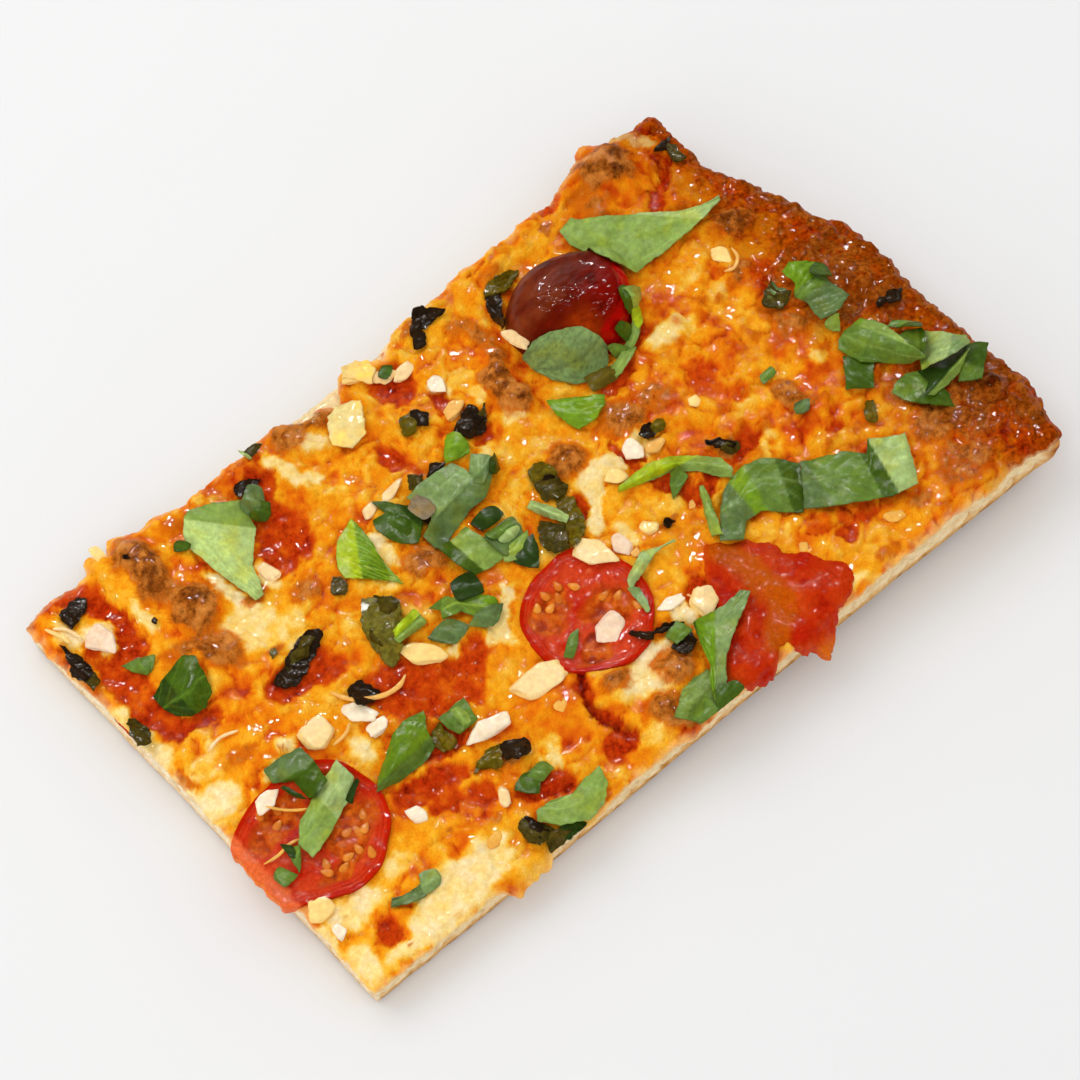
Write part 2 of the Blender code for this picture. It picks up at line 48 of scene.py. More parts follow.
STEP_X, STEP_Y = 3.8, 9.0
LEVEL_X = (-86.0, -12.0, 70.0, 84.0, 93.0)
LEVEL_Z = (8.4, 8.8, 12.8, 12.2, 9.8)
EDGE_LIFT = 3.0
SAUCE, GAP, TOPPING = 0.7, 0.3, 2.7
SLICE_THICK, HALF_TALL, CHUNK_TALL = 3.2, 12.4, 4.6
# Places are laid out as seen along a slanting line of sight, on a level
# SIGHT_Z up; what stands higher is nearer the front left by LEAN for each mm.
SIGHT_Z, LEAN = 11.0, (0.332, 0.357)

FRONT_SLICE = (-74.2, -19.9, 14.8, 13.6)
MIDDLE_SLICE = (-6.0, -21.8, 13.0, 13.4)
HALF = (36.3, 28.4, 13.3, 12.0)
CHUNK = (21.6, -44.2, 12.3)


# ---- small mathematics --------------------------------------------------------
def clamp(t):
    return np.clip(t, 0.0, 1.0)


def ramp(t, a, b):
    s = clamp((np.asarray(t, float) - a) / (b - a))
    return s * s * (3.0 - 2.0 * s)


def mix(a, b, t):
    return a + (b - a) * t


def hill(t, centre, width):
    return np.exp(-((np.asarray(t, float) - centre) / width) ** 2)


class Noise:
    """Gradient noise in three dimensions, about -1 to 1."""

    def __init__(self, seed):
        r = np.random.RandomState(seed)
        self.p = np.tile(r.permutation(256), 3)
        g = r.normal(size=(256, 3))
        self.g = g / np.linalg.norm(g, axis=1)[:, None]

    def __call__(self, x, y, z=0.0):
        x, y, z = np.broadcast_arrays(np.asarray(x, float),
                                      np.asarray(y, float),
                                      np.asarray(z, float))
        xi, yi, zi = (np.floor(c).astype(np.int64) for c in (x, y, z))
        xf, yf, zf = x - xi, y - yi, z - zi
        u, v, w = (c * c * c * (c * (c * 6 - 15) + 10) for c in (xf, yf, zf))
        out = 0.0
        for dx in (0, 1):
            for dy in (0, 1):
                for dz in (0, 1):
                    h = self.p[(self.p[(self.p[(xi + dx) & 255] + yi + dy)
                                       & 255] + zi + dz) & 255]
                    g = self.g[h]
                    d = (g[..., 0] * (xf - dx) + g[..., 1] * (yf - dy)
                         + g[..., 2] * (zf - dz))
                    out = out + d * ((u if dx else 1 - u)
                                     * (v if dy else 1 - v)
                                     * (w if dz else 1 - w))
        return out * 1.7

    def fbm(self, x, y, z=0.0, octaves=4, gain=0.5):
        total, size, norm = 0.0, 1.0, 0.0
        for k in range(octaves):
            total = total + size * self(x * 2 ** k, y * 2 ** k,
                                        z * 2 ** k + 7.3 * k)
            norm += size
            size *= gain
        return total / norm


N1, N2, N3, N4 = Noise(11), Noise(23), Noise(37), Noise(51)


def cells(x, y, seed):
    """Distance to the nearest and second scattered point, one per unit cell."""
    x, y = np.asarray(x, float), np.asarray(y, float)
    xi, yi = np.floor(x).astype(np.int64), np.floor(y).astype(np.int64)
    r = np.random.RandomState(seed)
    px, py, pr = r.rand(64, 64), r.rand(64, 64), r.rand(64, 64)
    best = np.full(x.shape, 9.0)
    second = np.full(x.shape, 9.0)
    tone = np.zeros(x.shape)
    for dx in (-1, 0, 1):
        for dy in (-1, 0, 1):
            a, b = (xi + dx) % 64, (yi + dy) % 64
            d = np.hypot(xi + dx + px[a, b] - x, yi + dy + py[a, b] - y)
            near = d < best
            second = np.where(near, best, np.minimum(second, d))
            tone = np.where(near, pr[a, b], tone)
            best = np.where(near, d, best)
    return best, second, tone


# ---- heights and plan ----------------------------------------------------------
def level(x):
    return np.interp(x, LEVEL_X, LEVEL_Z)


def lift(x, y):
    return EDGE_LIFT * clamp((x + 42.0) / 46.0) * clamp((-24.0 - y) / 30.0)


def bed(x, y):
    """Underside of the cheese, on which the tomatoes lie too."""
    return level(x) + lift(x, y) - TOPPING + 2.0 * GAP + SAUCE


def dough_front(x):
    return (FRONT_Y - 0.0415 * (x + 85.0) - 0.2 * ramp(x, 34.0, 76.0))


def dough_rim(y):
    x = RIM_X - STEP_X * ramp(y, STEP_Y - 2.0, STEP_Y + 2.0)
    x = x + 0.9 * hill(y, -2.0, 9.0) + 0.5 * hill(y, -41.0, 6.0)
    x = x - 8.4 * ramp(y, 11.0, 38.0)
    x = x + 1.6 * ramp(y, 44.0, 54.0)
    return x - 4.2 * ramp(-y, 46.0, 57.0)


BACK_LOBES = ((-79, 6, 1.8), (-68.4, 2.3, 5.2), (-65.7, 0.9, -1.4),
              (-62.2, 3.6, 5.2), (-54, 3.8, 2.4), (-49, 3, -0.6),
              (-26, 2.6, 0.9), (-18, 4, -3.4), (-11, 2.8, -5.2),
              (-4.6, 2.8, 1.2), (2.2, 3.2, -3.2), (9.5, 3.4, 0.4),
              (26, 4, 1.2), (44, 3, 0.9), (56, 3.4, 1.6), (62, 4, 3.6),
              (67, 3.4, 6.0), (73, 3, 3.4), (79, 4, 2.0))
FRONT_LOBES = ((-50.5, 4.2, 2.2), (-53.8, 1.2, 1.5), (-46.2, 1.5, 1.2),
               (-22, 6, -0.5), (-34, 2, 0.5),
               (-8, 4, 0.7), (68, 4, 0.7), (84, 3, 0.8))


def lobes(t, table):
    return sum(h * hill(t, c, w) for c, w, h in table)


class Plan:
    """Outline of one layer, and the map from a unit square into it."""

    def __init__(self, grow, lobed, rim_grow, ragged, seed=0.0):
        self.grow, self.lobed, self.rim_grow = grow, lobed, rim_grow
        self.ragged, self.seed = ragged, seed
        self.x0 = CUT_X - grow
        self.xb, self.xc = self.x0, RIM_X - 4.0 + grow + rim_grow
        self.xa, self.xd = self.x0 - 0.4, RIM_X - 10.6 + grow + rim_grow
        self.yb, self.yc = self.front(self.xb), self.front(self.xc)
        self.ya, self.yd = self.back(self.xa), self.back(self.xd)

    def torn(self, t, k):
        return self.ragged * (
            0.34 * N1(t / 4.1, k, self.seed) + 0.24 * N2(t / 1.7, k, self.seed)
            + 0.14 * N3(t / 0.8, k, self.seed))

    def front(self, x):
        return (dough_front(x) - self.lobed * lobes(x, FRONT_LOBES)
                - self.grow - self.torn(x, 1.5))

    def back(self, x):
        return (BACK_Y + self.lobed * lobes(x, BACK_LOBES) + self.grow
                + 1.7 * self.torn(x, 5.5))

    def left(self, y):
        return (self.x0 + 0.35 * N4(0.3, y / 15.0, 4.4) - self.torn(y, 9.5)
                - 1.3 * self.lobed * hill(y, 44.0, 9.0))

    def right(self, y):
        crisp = np.maximum(0.0, N2(y / 2.1, 3.3, 0.7)) ** 2
        return (dough_rim(y) + self.grow + self.rim_grow
                + 2.2 * self.torn(y, 13.5) - 1.3 * self.ragged * crisp)

    def __call__(self, u, v):
        fx, bx = mix(self.xb, self.xc, u), mix(self.xa, self.xd, u)
        ly, ry = mix(self.yb, self.ya, v), mix(self.yc, self.yd, v)
        lx = self.left(ly) + mix(self.xb - self.left(self.yb),
                                 self.xa - self.left(self.ya), v)
        rx = self.right(ry) + mix(self.xc - self.right(self.yc),
                                  self.xd - self.right(self.yd), v)
        x = (mix(fx, bx, v) + mix(lx, rx, u)
             - mix(mix(self.xb, self.xc, u), mix(self.xa, self.xd, u), v))
        y = (mix(self.front(fx), self.back(bx), v) + mix(ly, ry, u)
             - mix(mix(self.yb, self.yc, u), mix(self.ya, self.yd, u), v))
        return x, y


def outside(x, y):
    """How far a point lies past the edge of the dough."""
    return np.maximum(np.maximum(dough_front(x) - y, y - BACK_Y),
                      np.maximum(CUT_X - x, x - dough_rim(y)))


def seen(x, y, z):
    """Where a point appears on the sighting level."""
    return x + LEAN[0] * (z - SIGHT_Z), y + LEAN[1] * (z - SIGHT_Z)


def to_world(x, y, z):
    return np.stack([(x - X_MIDDLE) * MM, (y - Y_MIDDLE) * MM, z * MM], -1)


# ---- what the baked surface shows, by kind -------------------------------------
# (x, y, half length, half width, turn in degrees, strength)
PATCHES = {
    "pale": (
        (-79.2, 37.5, 3.4, 4.4, 10, .95), (-84, 43, 2.2, 5, 10, .7),
        (-70, 35, 1.8, 4, 0, .7), (-57, 20, 7, 5, -20, .72),
        (-51, 13.5, 6, 3.4, 20, .55), (-46.5, 26, 2.6, 3.4, 0, .9),
        (-45, 48, 2.2, 2.8, 0, .6), (-87, 16, 2.6, 11, 0, .75),
        (-54.5, 29, 2.0, 7, 8, .8), (-29, 41, 1.9, 6.5, 6, .75),
        (-25.5, 35, 1.6, 5, 20, .6), (24.5, 31.5, 1.5, 4, 15, .8),
        (6, 33, 1.5, 2.8, 0, .8), (13, 20, 4, 2.6, 20, .7),
        (9.5, 27.5, 1.6, 2.4, 0, .7), (4.5, 16, 4, 4, 0, .45),
        (-21.5, 41, 3.6, 1.8, -40, .8), (-26.5, 14, 1.8, 5, 0, .8),
        (47.5, 12, 6.5, 3, -18, .85), (-84, -3.5, 4.5, 3.6, 0, 1.),
        (-73, -6, 4, 1.6, 0, .7), (-67, -3.6, 3, 2, 0, .8),
        (-57.5, -14, 2.4, 4.8, 0, .7), (-80, -37, 8, 3.4, 0, .7),
        (-59, -47, 11, 5.5, 0, .95), (-74, -50, 9, 2.6, 0, .85),
        (-85.5, -46, 3, 5, 0, .85), (-88, -38, 1.6, 4, 0, .9),
        (-67, -36, 5, 3, 0, .6), (-71, -46.5, 4, 2.5, 0, .6),
        (-33, -40.5, 2.6, 2, 20, .7), (15, -1.5, 6.5, 2.6, 5, .95),
        (-7.5, -39.5, 7.5, 4.6, 0, .85), (-3, -36.5, 4, 1.6, -10, .9),
        (8.5, -35, 4, 2.6, 0, .9), (26, -3, 2.8, 2.8, 0, .6),
        (10.2, -15, 1.6, 4.6, 10, .6), (-30.5, -37.5, 2.8, 2.6, 0, .55),
        (45, -19, 2.4, 6, 20, .5), (34, -51.5, 6, 1.8, 0, .7),
        (-21.5, -13.5, 1.8, 5, 0, .75), (-16, -49, 3.5, 3, 0, .5),
        (-88, 2, 1.6, 6, 0, .8), (-81, 4.5, 4, 3, 30, .5),
        (65.5, -12.2, 2.4, 1.6, 70, .6), (-62.5, 8.5, 3, 2.2, 0, .5),
        (74.5, 50.5, 1.8, 6, 18, .8), (60, 18, 6, 2.2, 10, .45),
        (-31, 9, 2, 3, 0, .6), (57.5, -21.5, 4.4, 2.4, 0, .3),
        (-50, 36.5, 2, 4, 0, .5)),
    "yellow": (
        (-68, 50, 3, 6, 0, .8), (-70, 43, 2.2, 6, 0, .7),
        (-62, 54.5, 5, 1.5, 0, .8), (-66, 30.5, 2, 5, 0, .6),
        (-52, 51, 6, 1.8, 0, .7), (-83, 52, 5, 2, 0, .8),
        (-57, 19, 9, 6, 0, .5), (-51, 18, 7, 5, 20, .8),
        (26, 49.3, 5.5, 2.2, 0, .9), (12, 44.5, 8, 3.4, 0, .6),
        (15, 13, 8, 4, 0, .6), (-28, 38, 2, 8, 5, .4),
        (75.5, 32, 4, 4, 0, .7), (60, 19.5, 8, 4, 0, .6),
        (80, 14.5, 4, 3, 0, .5), (41, 46, 9, 3, 0, .7),
        (-61, -35, 6, 4.6, 0, .8), (-50, -44, 4.4, 3, 0, .7),
        (-78, 3, 9, 4, 0, .7), (-57, 1, 8, 3.6, 0, .45),
        (-50, -52.5, 6, 3, 0, .9), (-26, -22.5, 8, 4, 10, .8),
        (13, -12, 7, 5, 10, .6), (15, -25, 8, 4, 10, .7),
        (-15.5, -50, 5, 4.6, 0, .8), (55, -27.5, 7, 3, -10, .9),
        (66.5, -36, 3, 9, 12, .7), (47, -50, 11, 4, 0, .75),
        (57, -4, 5, 3, 0, .7), (38, -4, 7, 3.4, 0, .6),
        (60, -11, 4, 3.4, 0, .6), (39, -48, 5, 3, 0, .5),
        (-14, -38, 4, 4, 0, .5), (47, 7, 7, 3, 0, .5),
        (-41, 33, 2, 2, 0, .3), (31, -46, 3, 3, 0, .2),
        (70, 15, 6, 4, 0, .45), (-12, -35, 4, 3, 0, .5),
        (-14, -30, 4, 3, 0, .9), (-10.5, -34, 3.6, 4, 0, .8)),
    "orange": (
        (-24, -33.5, 7, 6, 20, .95), (-45, 1, 7, 5, 0, .6),
        (-30, 30, 6, 9, 0, .5), (-10, 40, 4, 6, 0, .6),
        (-55, -37, 3, 3, 0, .5), (20, 46, 9, 3, 0, .3),
        (-87.3, -22, 1.8, 11, 0, .9), (70, 34, 8, 4, 0, .4),
        (-65, 6, 7, 3, 0, .5), (-44, -30, 5, 3, 0, .5),
        (16, -21, 8, 3, 0, .5), (-85, -34, 3, 3, 0, .6),
        (30, -47, 5, 5, 0, .3), (-33, -27, 5, 5, 0, .4),
        (52, 42, 6, 6, 0, .6), (62, 40, 8, 5, 0, .5)),
    "sauce": (
        (-87, 50.5, 2.2, 1.6, 0, .8), (-76.5, 48, 3.6, 5.5, 12, 1.),
        (-74.5, 40, 2.4, 6.5, 8, .9), (-75.5, 32.5, 3.2, 4.2, 0, .8),
        (-81.5, 28, 4.2, 5.5, 0, 1.), (-81.5, 19, 4.2, 7, 0, 1.),
        (-77, 11.8, 6, 2.4, -10, .95), (-82.5, 36.5, 2, 3, 0, .6),
        (-39.5, 30, 6.2, 8, -12, 1.), (-35, 41.5, 3, 6, -10, .8),
        (-56, 6, 8.5, 3.4, 12, .95), (-51, 2.5, 5, 3, 0, .7),
        (-1, 40.5, 5.2, 5.4, 0, 1.), (-7, 47, 2, 1, 0, .6),
        (-12, 29, 3.4, 4, 20, .85), (-9.5, 24, 2, 4, 0, .6),
        (4, 31, 2.6, 2.8, 0, .9), (4.5, 20.6, 3.2, 2.2, 0, 1.),
        (25.6, 29.2, 1.6, 1.4, 0, 1.), (-24, 33, 3, 1.8, 0, .5),
        (6.5, 47, 2.4, 1.2, 0, .5), (50, 50, 4.2, 2, 0, .7),
        (40.5, 17, 6.5, 3.8, -15, 1.), (33, 11.5, 6, 2.2, 0, .8),
        (-43, -9, 9, 6.2, -8, .85), (-53, -28.5, 8, 3.4, -8, 1.),
        (-52.5, -33.5, 4, 2.6, -20, .9), (-45, -23, 7, 3, 0, .9),
        (-34.5, -17, 5, 6, 0, .75), (-78, -44.5, 4.2, 3.8, 0, .75),
        (-84.5, -32.5, 1.6, 1.2, 0, .5), (-37, -43.5, 6, 3.4, -14, 1.),
        (8, -4.5, 2.2, 4, -25, .85), (25, -12.5, 4.4, 4, 0, .95),
        (28, -18, 5, 2.4, 0, .95), (-28, -14, 4, 4.4, 0, .7),
        (-21, -47, 5, 3.4, 20, .85), (46, 0, 4, 5, 0, .7),
        (48, -7, 4.4, 2.8, 0, .6), (42, -44, 2.8, 2.4, 20, 1.),
        (48.5, -43, 4, 2.2, 0, .6), (57.2, -26, 2.6, 1.5, 0, .7),
        (55.5, -16, 3.6, 4.6, 0, 1.), (40.5, -16.5, 5, 2.6, 10, 1.),
        (29, 4, 5.5, 4.6, 0, .8), (35, 2, 4, 3, 0, .6),
        (71, 6.5, 4, 3, 0, .6), (88, -22.5, 3, 2, 0, .4),
        (-52, -43, 2, 2, 0, .3), (-47, -36.5, 3, 3.6, 0, .6),
        (22, -5, 1.4, 5, 5, .6), (60, 23.5, 5, 2, 5, .35),
        (52, 20, 3, 3, 0, .45), (-85.5, 4, 1.6, 3, 0, .45),
        (-48, -17, 5, 3, 0, .7), (13, -33, 4, 3, 20, .8),
        (3, -50, 5, 3, 20, .9), (72, 11, 3, 2, 20, .5),
        (-40, -17.5, 3.6, 3.6, 0, .9),
        (-19.5, -35, 1.1, 4, 10, .9), (30, 49.6, 2.6, .6, 20, .6),
        (-16, -40, 1.6, 1.6, 0, .2), (65, -16, 3, 2, 0, .35)),
    "brown": (
        (-63.3, 45, 4.0, 7.4, 3, .95), (-64, 38, 3.6, 4, 0, .75),
        (-61.5, 30, 5.2, 5.4, 0, .95), (-68, 24, 7, 2.6, -8, .55),
        (-63.5, 19, 3.6, 4.4, 20, .75), (-52.5, 46.5, 3, 2.4, 0, .45),
        (-51.5, 23.6, 2.8, 2, 0, .65), (-43.5, 18.6, 3.6, 2.8, 0, .6),
        (-56, 13.2, 1.6, 1.4, 0, .5), (-89, 43, 1, 3.6, 0, .4),
        (-23.5, 46.5, 3.6, 4.4, 15, .8), (-18, 45.2, 4.6, 2, -8, .85),
        (-16, 36, 4, 1.1, 8, .5), (15, 27, 3.8, 4.4, 0, 1.),
        (15, 21.5, 3.6, 3.2, 0, .9), (18.5, 31, 2.6, 3, 0, .7),
        (19.5, 37, 2.8, 3.4, 0, .55), (17, 41.5, 2.6, 2.4, 0, .45),
        (10, 48.6, 2.6, 1.6, 0, .55), (-22.5, 7.6, 4.6, 3.8, 0, .75),
        (64.5, 50, 5.6, 5.6, 0, .7), (60, 53.5, 3, 2, 0, .6),
        (68, 46.5, 3, 4, 0, .65), (56.5, 45, 3.6, 6, 10, .4),
        (74.5, 21.5, 3.8, 3.6, 0, .6), (84.5, 25, 2, 9, 12, .6),
        (87, 15, 2.4, 8, 0, .7), (46.8, 45.8, 1.8, 1.6, 0, .8),
        (68.2, 12.4, 2.6, 2, 0, .8), (81, 36, 1.6, 5, 0, .5),
        (13, 4.6, 4.2, 3.8, 0, .9), (-38, -34.6, 2.6, 1.8, 0, .7),
        (-1, -41.5, 4.6, 3.6, 0, .9), (-10, -46.4, 4, 3, 20, .75),
        (-8.5, -51, 4.4, 2.4, 0, .8), (-12.5, -36.6, 3.2, 2.6, 0, .7),
        (18, -19.2, 2.2, .9, -10, 1.), (9.2, -19, 1.3, .9, 0, .9),
        (27.5, 4, 4.6, 4.6, 0, .7), (35, 3, 3.4, 3.6, 0, .6),
        (55.5, -14, 3.6, 3.2, 0, .9), (56, -18, 3, 2, 0, .6),
        (65.5, -4, 5, 3, 0, .45), (86, -6, 6, 11, 0, .6),
        (80, -40, 7, 6.5, 0, .7), (72, -38, 5, 4, 0, .8),
        (86.5, -40.2, 3.2, 2.8, -30, 1.3), (88, -49, 4, 5, 0, .65),
        (70, -48, 6, 4, 0, .5), (57.5, -48.5, 2.6, 1.8, 0, .7),
        (92, -12, 2, 18, 0, .6), (91.5, -36, 2.4, 14, 0, .6),
        (76, 1.5, 8, 9, 0, .35), (79, -9, 5, 2.2, 0, .7),
        (-85.6, 3.4, 1.5, 2.6, 0, .5), (-75, .6, 4.6, 2, 0, .4),
        (-30, 4, 2.6, 2, 0, .3), (66, 2, 3, 3, 0, .4),
        (45, -52, 2.6, 1, 0, .3), (74, -30, 5, 4, 0, .5),
        (61, -29, 2.6, 2, 0, .3), (38, -14.6, 2.6, 2, 0, .7),
        (-66, -50, 1.6, .8, 0, .2), (48, 27, 2, 2.4, 0, .3),
        (33.5, -29, 3.4, 2, 0, .4), (30, 45.4, 2.6, 1.6, 0, .3),
        (-48.4, -41.6, .7, .6, 0, .9), (-56.4, -36.4, .8, .7, 0, .7),
        (-68.3, -3.4, .6, .5, 0, .9), (-77, -49.6, .8, .6, 0, .5),
        (50.5, 35.4, 2, 5, 0, .3), (85, 5, 5, 3, 0, .5)),
}
STREAKS = {
    "sauce": (
        (1.1, 1., ((75.2, 54.4), (78.0, 50.6), (79.3, 46.4))),
        (1.5, .95, ((74.6, 41.6), (70.0, 37.6), (65.5, 34.6))),
        (1.3, 1., ((-14.6, -29.8), (-18.4, -33.2), (-19.6, -37.0),
                   (-19.4, -40.6), (-18.2, -43.4))),
        (1.0, .7, ((21.2, 2.0), (21.8, -3.0), (24.6, -5.6))),
    ),
    "pale": (
        (1.7, .95, ((6.4, -9.8), (9.6, -6.6), (14.0, -3.4), (20.0, -3.2))),
        (1.6, .8, ((-31.0, -11.4), (-24.0, -14.4), (-19.0, -11.4),
                   (-14.6, -8.4))),
        (1.2, .7, ((72.4, 54.8), (74.0, 50.0), (76.0, 45.4))),
    ),
}
# lumps of the relief: (x, y, half length, half width, turn, height)
LUMPS = ((-63.2, 44.6, 8.2, 4.4, 92, 2.9), (-61.4, 29.8, 6.0, 5.6, 20, 3.1),
         (-67, 20.5, 8.0, 4.6, -18, 1.7), (-62, 53.6, 4.6, 2.2, 0, 1.0),
         (-68.4, 52.6, 2.2, 3.4, 0, 1.0), (-23.6, 46.6, 4.6, 3.2, 110, 2.6),
         (-17.4, 45.2, 4.6, 1.9, -8, 2.2), (-21.6, 41, 3.6, 1.8, -40, 1.2),
         (15.2, 27.4, 4.6, 4.4, 80, 2.6), (15.4, 21.2, 4, 3.6, 0, 2.2),
         (18.5, 31.5, 3, 3, 0, 1.4), (12.8, 4.6, 4.6, 4, 0, 2.2),
         (-22.6, 7.4, 5, 4.2, 0, 1.7), (28, 4, 5.4, 5.0, 0, 1.6),
         (64.6, 50, 7, 6.4, 20, 3.2), (74.4, 21.2, 4.4, 4, 0, 1.8),
         (55.6, -14.6, 4, 3.8, 0, 1.1), (57.2, -21, 4.8, 2.8, 0, 1.6),
         (86.4, -40, 3.4, 3, -30, 1.8), (-1, -41.6, 5, 3.8, 0, 2.0),
         (-9.6, -48, 5.2, 4, 100, 1.9), (-12.6, -36.6, 3.6, 3, 0, 1.5),
         (-43.4, 18.4, 4.4, 3, 0, 1.0), (76, 44, 5, 4, 0, 0.8),
         (47.5, 12, 7, 3.2, -18, 1.1), (85, 12, 4, 9, 0, 0.8),
         (88, -12, 3.5, 13, 0, 0.7), (-84, 44, 2.4, 6, 8, 0.9),
         (15, -1.8, 6.4, 2.6, 5, 1.1), (-24, -33, 6.4, 5, 20, 1.1),
         (-79, 37.4, 3.2, 4.2, 10, 0.8), (-50.5, -51, 5.6, 3, 0, 0.7),
         (-38, -35, 3, 2.4, 0, 0.8), (-40, -9.5, 8, 5.5, -8, 0.9),
         (65, -12.4, 3, 2.2, 60, 0.8), (-37, -43.6, 5.6, 3, -14, 1.1),
         (68, 12.6, 2.8, 2.2, 0, 1.1), (52, -30, 5, 3, 0, 0.5),
         (36, 4, 4, 4, 0, 0.8), (70, 34, 4, 2, 30, 0.9),
         (-29, 41, 2, 7, 6, 0.7), (3, 45, 3, 2, 0, 0.5))

# The baked surface runs through these shades, from white cheese to dark sauce.
STOPS = (-0.08, 0.09, 0.27, 0.43, 0.57, 0.71, 0.85, 1.0, 1.2)
SHADES = np.array((
    (0.90, 0.73, 0.40), (0.90, 0.66, 0.21), (0.90, 0.52, 0.055),
    (0.87, 0.38, 0.012), (0.83, 0.262, 0.005), (0.73, 0.138, 0.004),
    (0.56, 0.055, 0.003), (0.38, 0.021, 0.002), (0.18, 0.008, 0.002)))
LINEAR = {                         # its other colours
    "cream": (0.94, 0.76, 0.40), "crumb": (0.93, 0.73, 0.40),
    "yellow": (0.90, 0.44, 0.03), "amber": (0.62, 0.140, 0.005),
    "toast": (0.44, 0.120, 0.010), "burnt": (0.085, 0.018, 0.004),
    "rust": (0.52, 0.090, 0.004), "gold": (0.72, 0.26, 0.03),
    "red": (0.50, 0.024, 0.002), "tomato": (0.68, 0.062, 0.003),
    "deep": (0.20, 0.008, 0.002), "tan": (0.76, 0.310, 0.060),
}
LINEAR = {k: np.array(v) for k, v in LINEAR.items()}


def shade(w):
    return np.stack([np.interp(w, STOPS, SHADES[:, k]) for k in range(3)], -1)


def blot(x, y, cx, cy, rx, ry, turn, hard=0.45, soft=1.4):
    a = math.radians(turn)
    dx, dy = x - cx, y - cy
    p = (dx * math.cos(a) + dy * math.sin(a)) / rx
    q = (dy * math.cos(a) - dx * math.sin(a)) / ry
    return 1.0 - ramp(np.sqrt(p * p + q * q), hard, soft)


def streak(x, y, width, points):
    best = np.full(np.shape(x), 99.0)
    for (x0, y0), (x1, y1) in zip(points, points[1:]):
        dx, dy = x1 - x0, y1 - y0
        t = clamp(((x - x0) * dx + (y - y0) * dy) / (dx * dx + dy * dy))
        best = np.minimum(best, np.hypot(x - x0 - t * dx, y - y0 - t * dy))
    return 1.0 - ramp(best / width, 0.5, 1.3)


def masks(x, y):
    """Share of each kind of surface at points given as they are seen."""
    wx = x + 1.5 * N1(x / 6.0, y / 6.0, 1.0) + 0.9 * N2(x / 2.4, y / 2.4, 2.0) \
        + 0.45 * N3(x / 0.9, y / 0.9, 2.0)
    wy = y + 1.5 * N1(x / 6.0, y / 6.0, 9.0) + 0.9 * N2(x / 2.4, y / 2.4, 8.0) \
        + 0.45 * N3(x / 0.9, y / 0.9, 8.0)
    out = {}
    for kind, table in PATCHES.items():
        keep = np.ones(np.shape(x))
        for cx, cy, rx, ry, turn, s in table:
            keep = keep * (1.0 - np.minimum(s, 1.0)
                           * blot(wx, wy, cx, cy, rx, ry, turn))
            if s > 1.0:
                keep = keep - (s - 1.0) * blot(wx, wy, cx, cy, rx, ry, turn)
        for width, s, points in STREAKS.get(kind, ()):
            keep = keep * (1.0 - s * streak(wx, wy, width, points))
        out[kind] = 1.0 - keep
    return out


def crack_side(x, y):
    """Signed distance to the right of the torn edge of the cheese flap."""
    cx = np.interp(-y, (29.5, 33.4, 37.0, 41.0, 45.0, 49.0),
                   (-14.0, -18.0, -19.4, -19.2, -17.6, -16.0))
    inside = ramp(y, -50.0, -45.0) * (1.0 - ramp(y, -31.0, -29.6))
    return x - cx, inside


def beneath(x, y):
    """Share of cover by the tomatoes lying on the cheese."""
    out = np.zeros(np.shape(x))
    for cx, cy, rx, ry in (FRONT_SLICE, MIDDLE_SLICE, HALF,
                           (CHUNK[0] - 1.5, CHUNK[1], 11.5, 10.5)):
        r = np.hypot((x - cx) / rx, (y - cy) / ry)
        out = np.maximum(out, 1.0 - ramp(r, 0.86, 1.0))
    return out


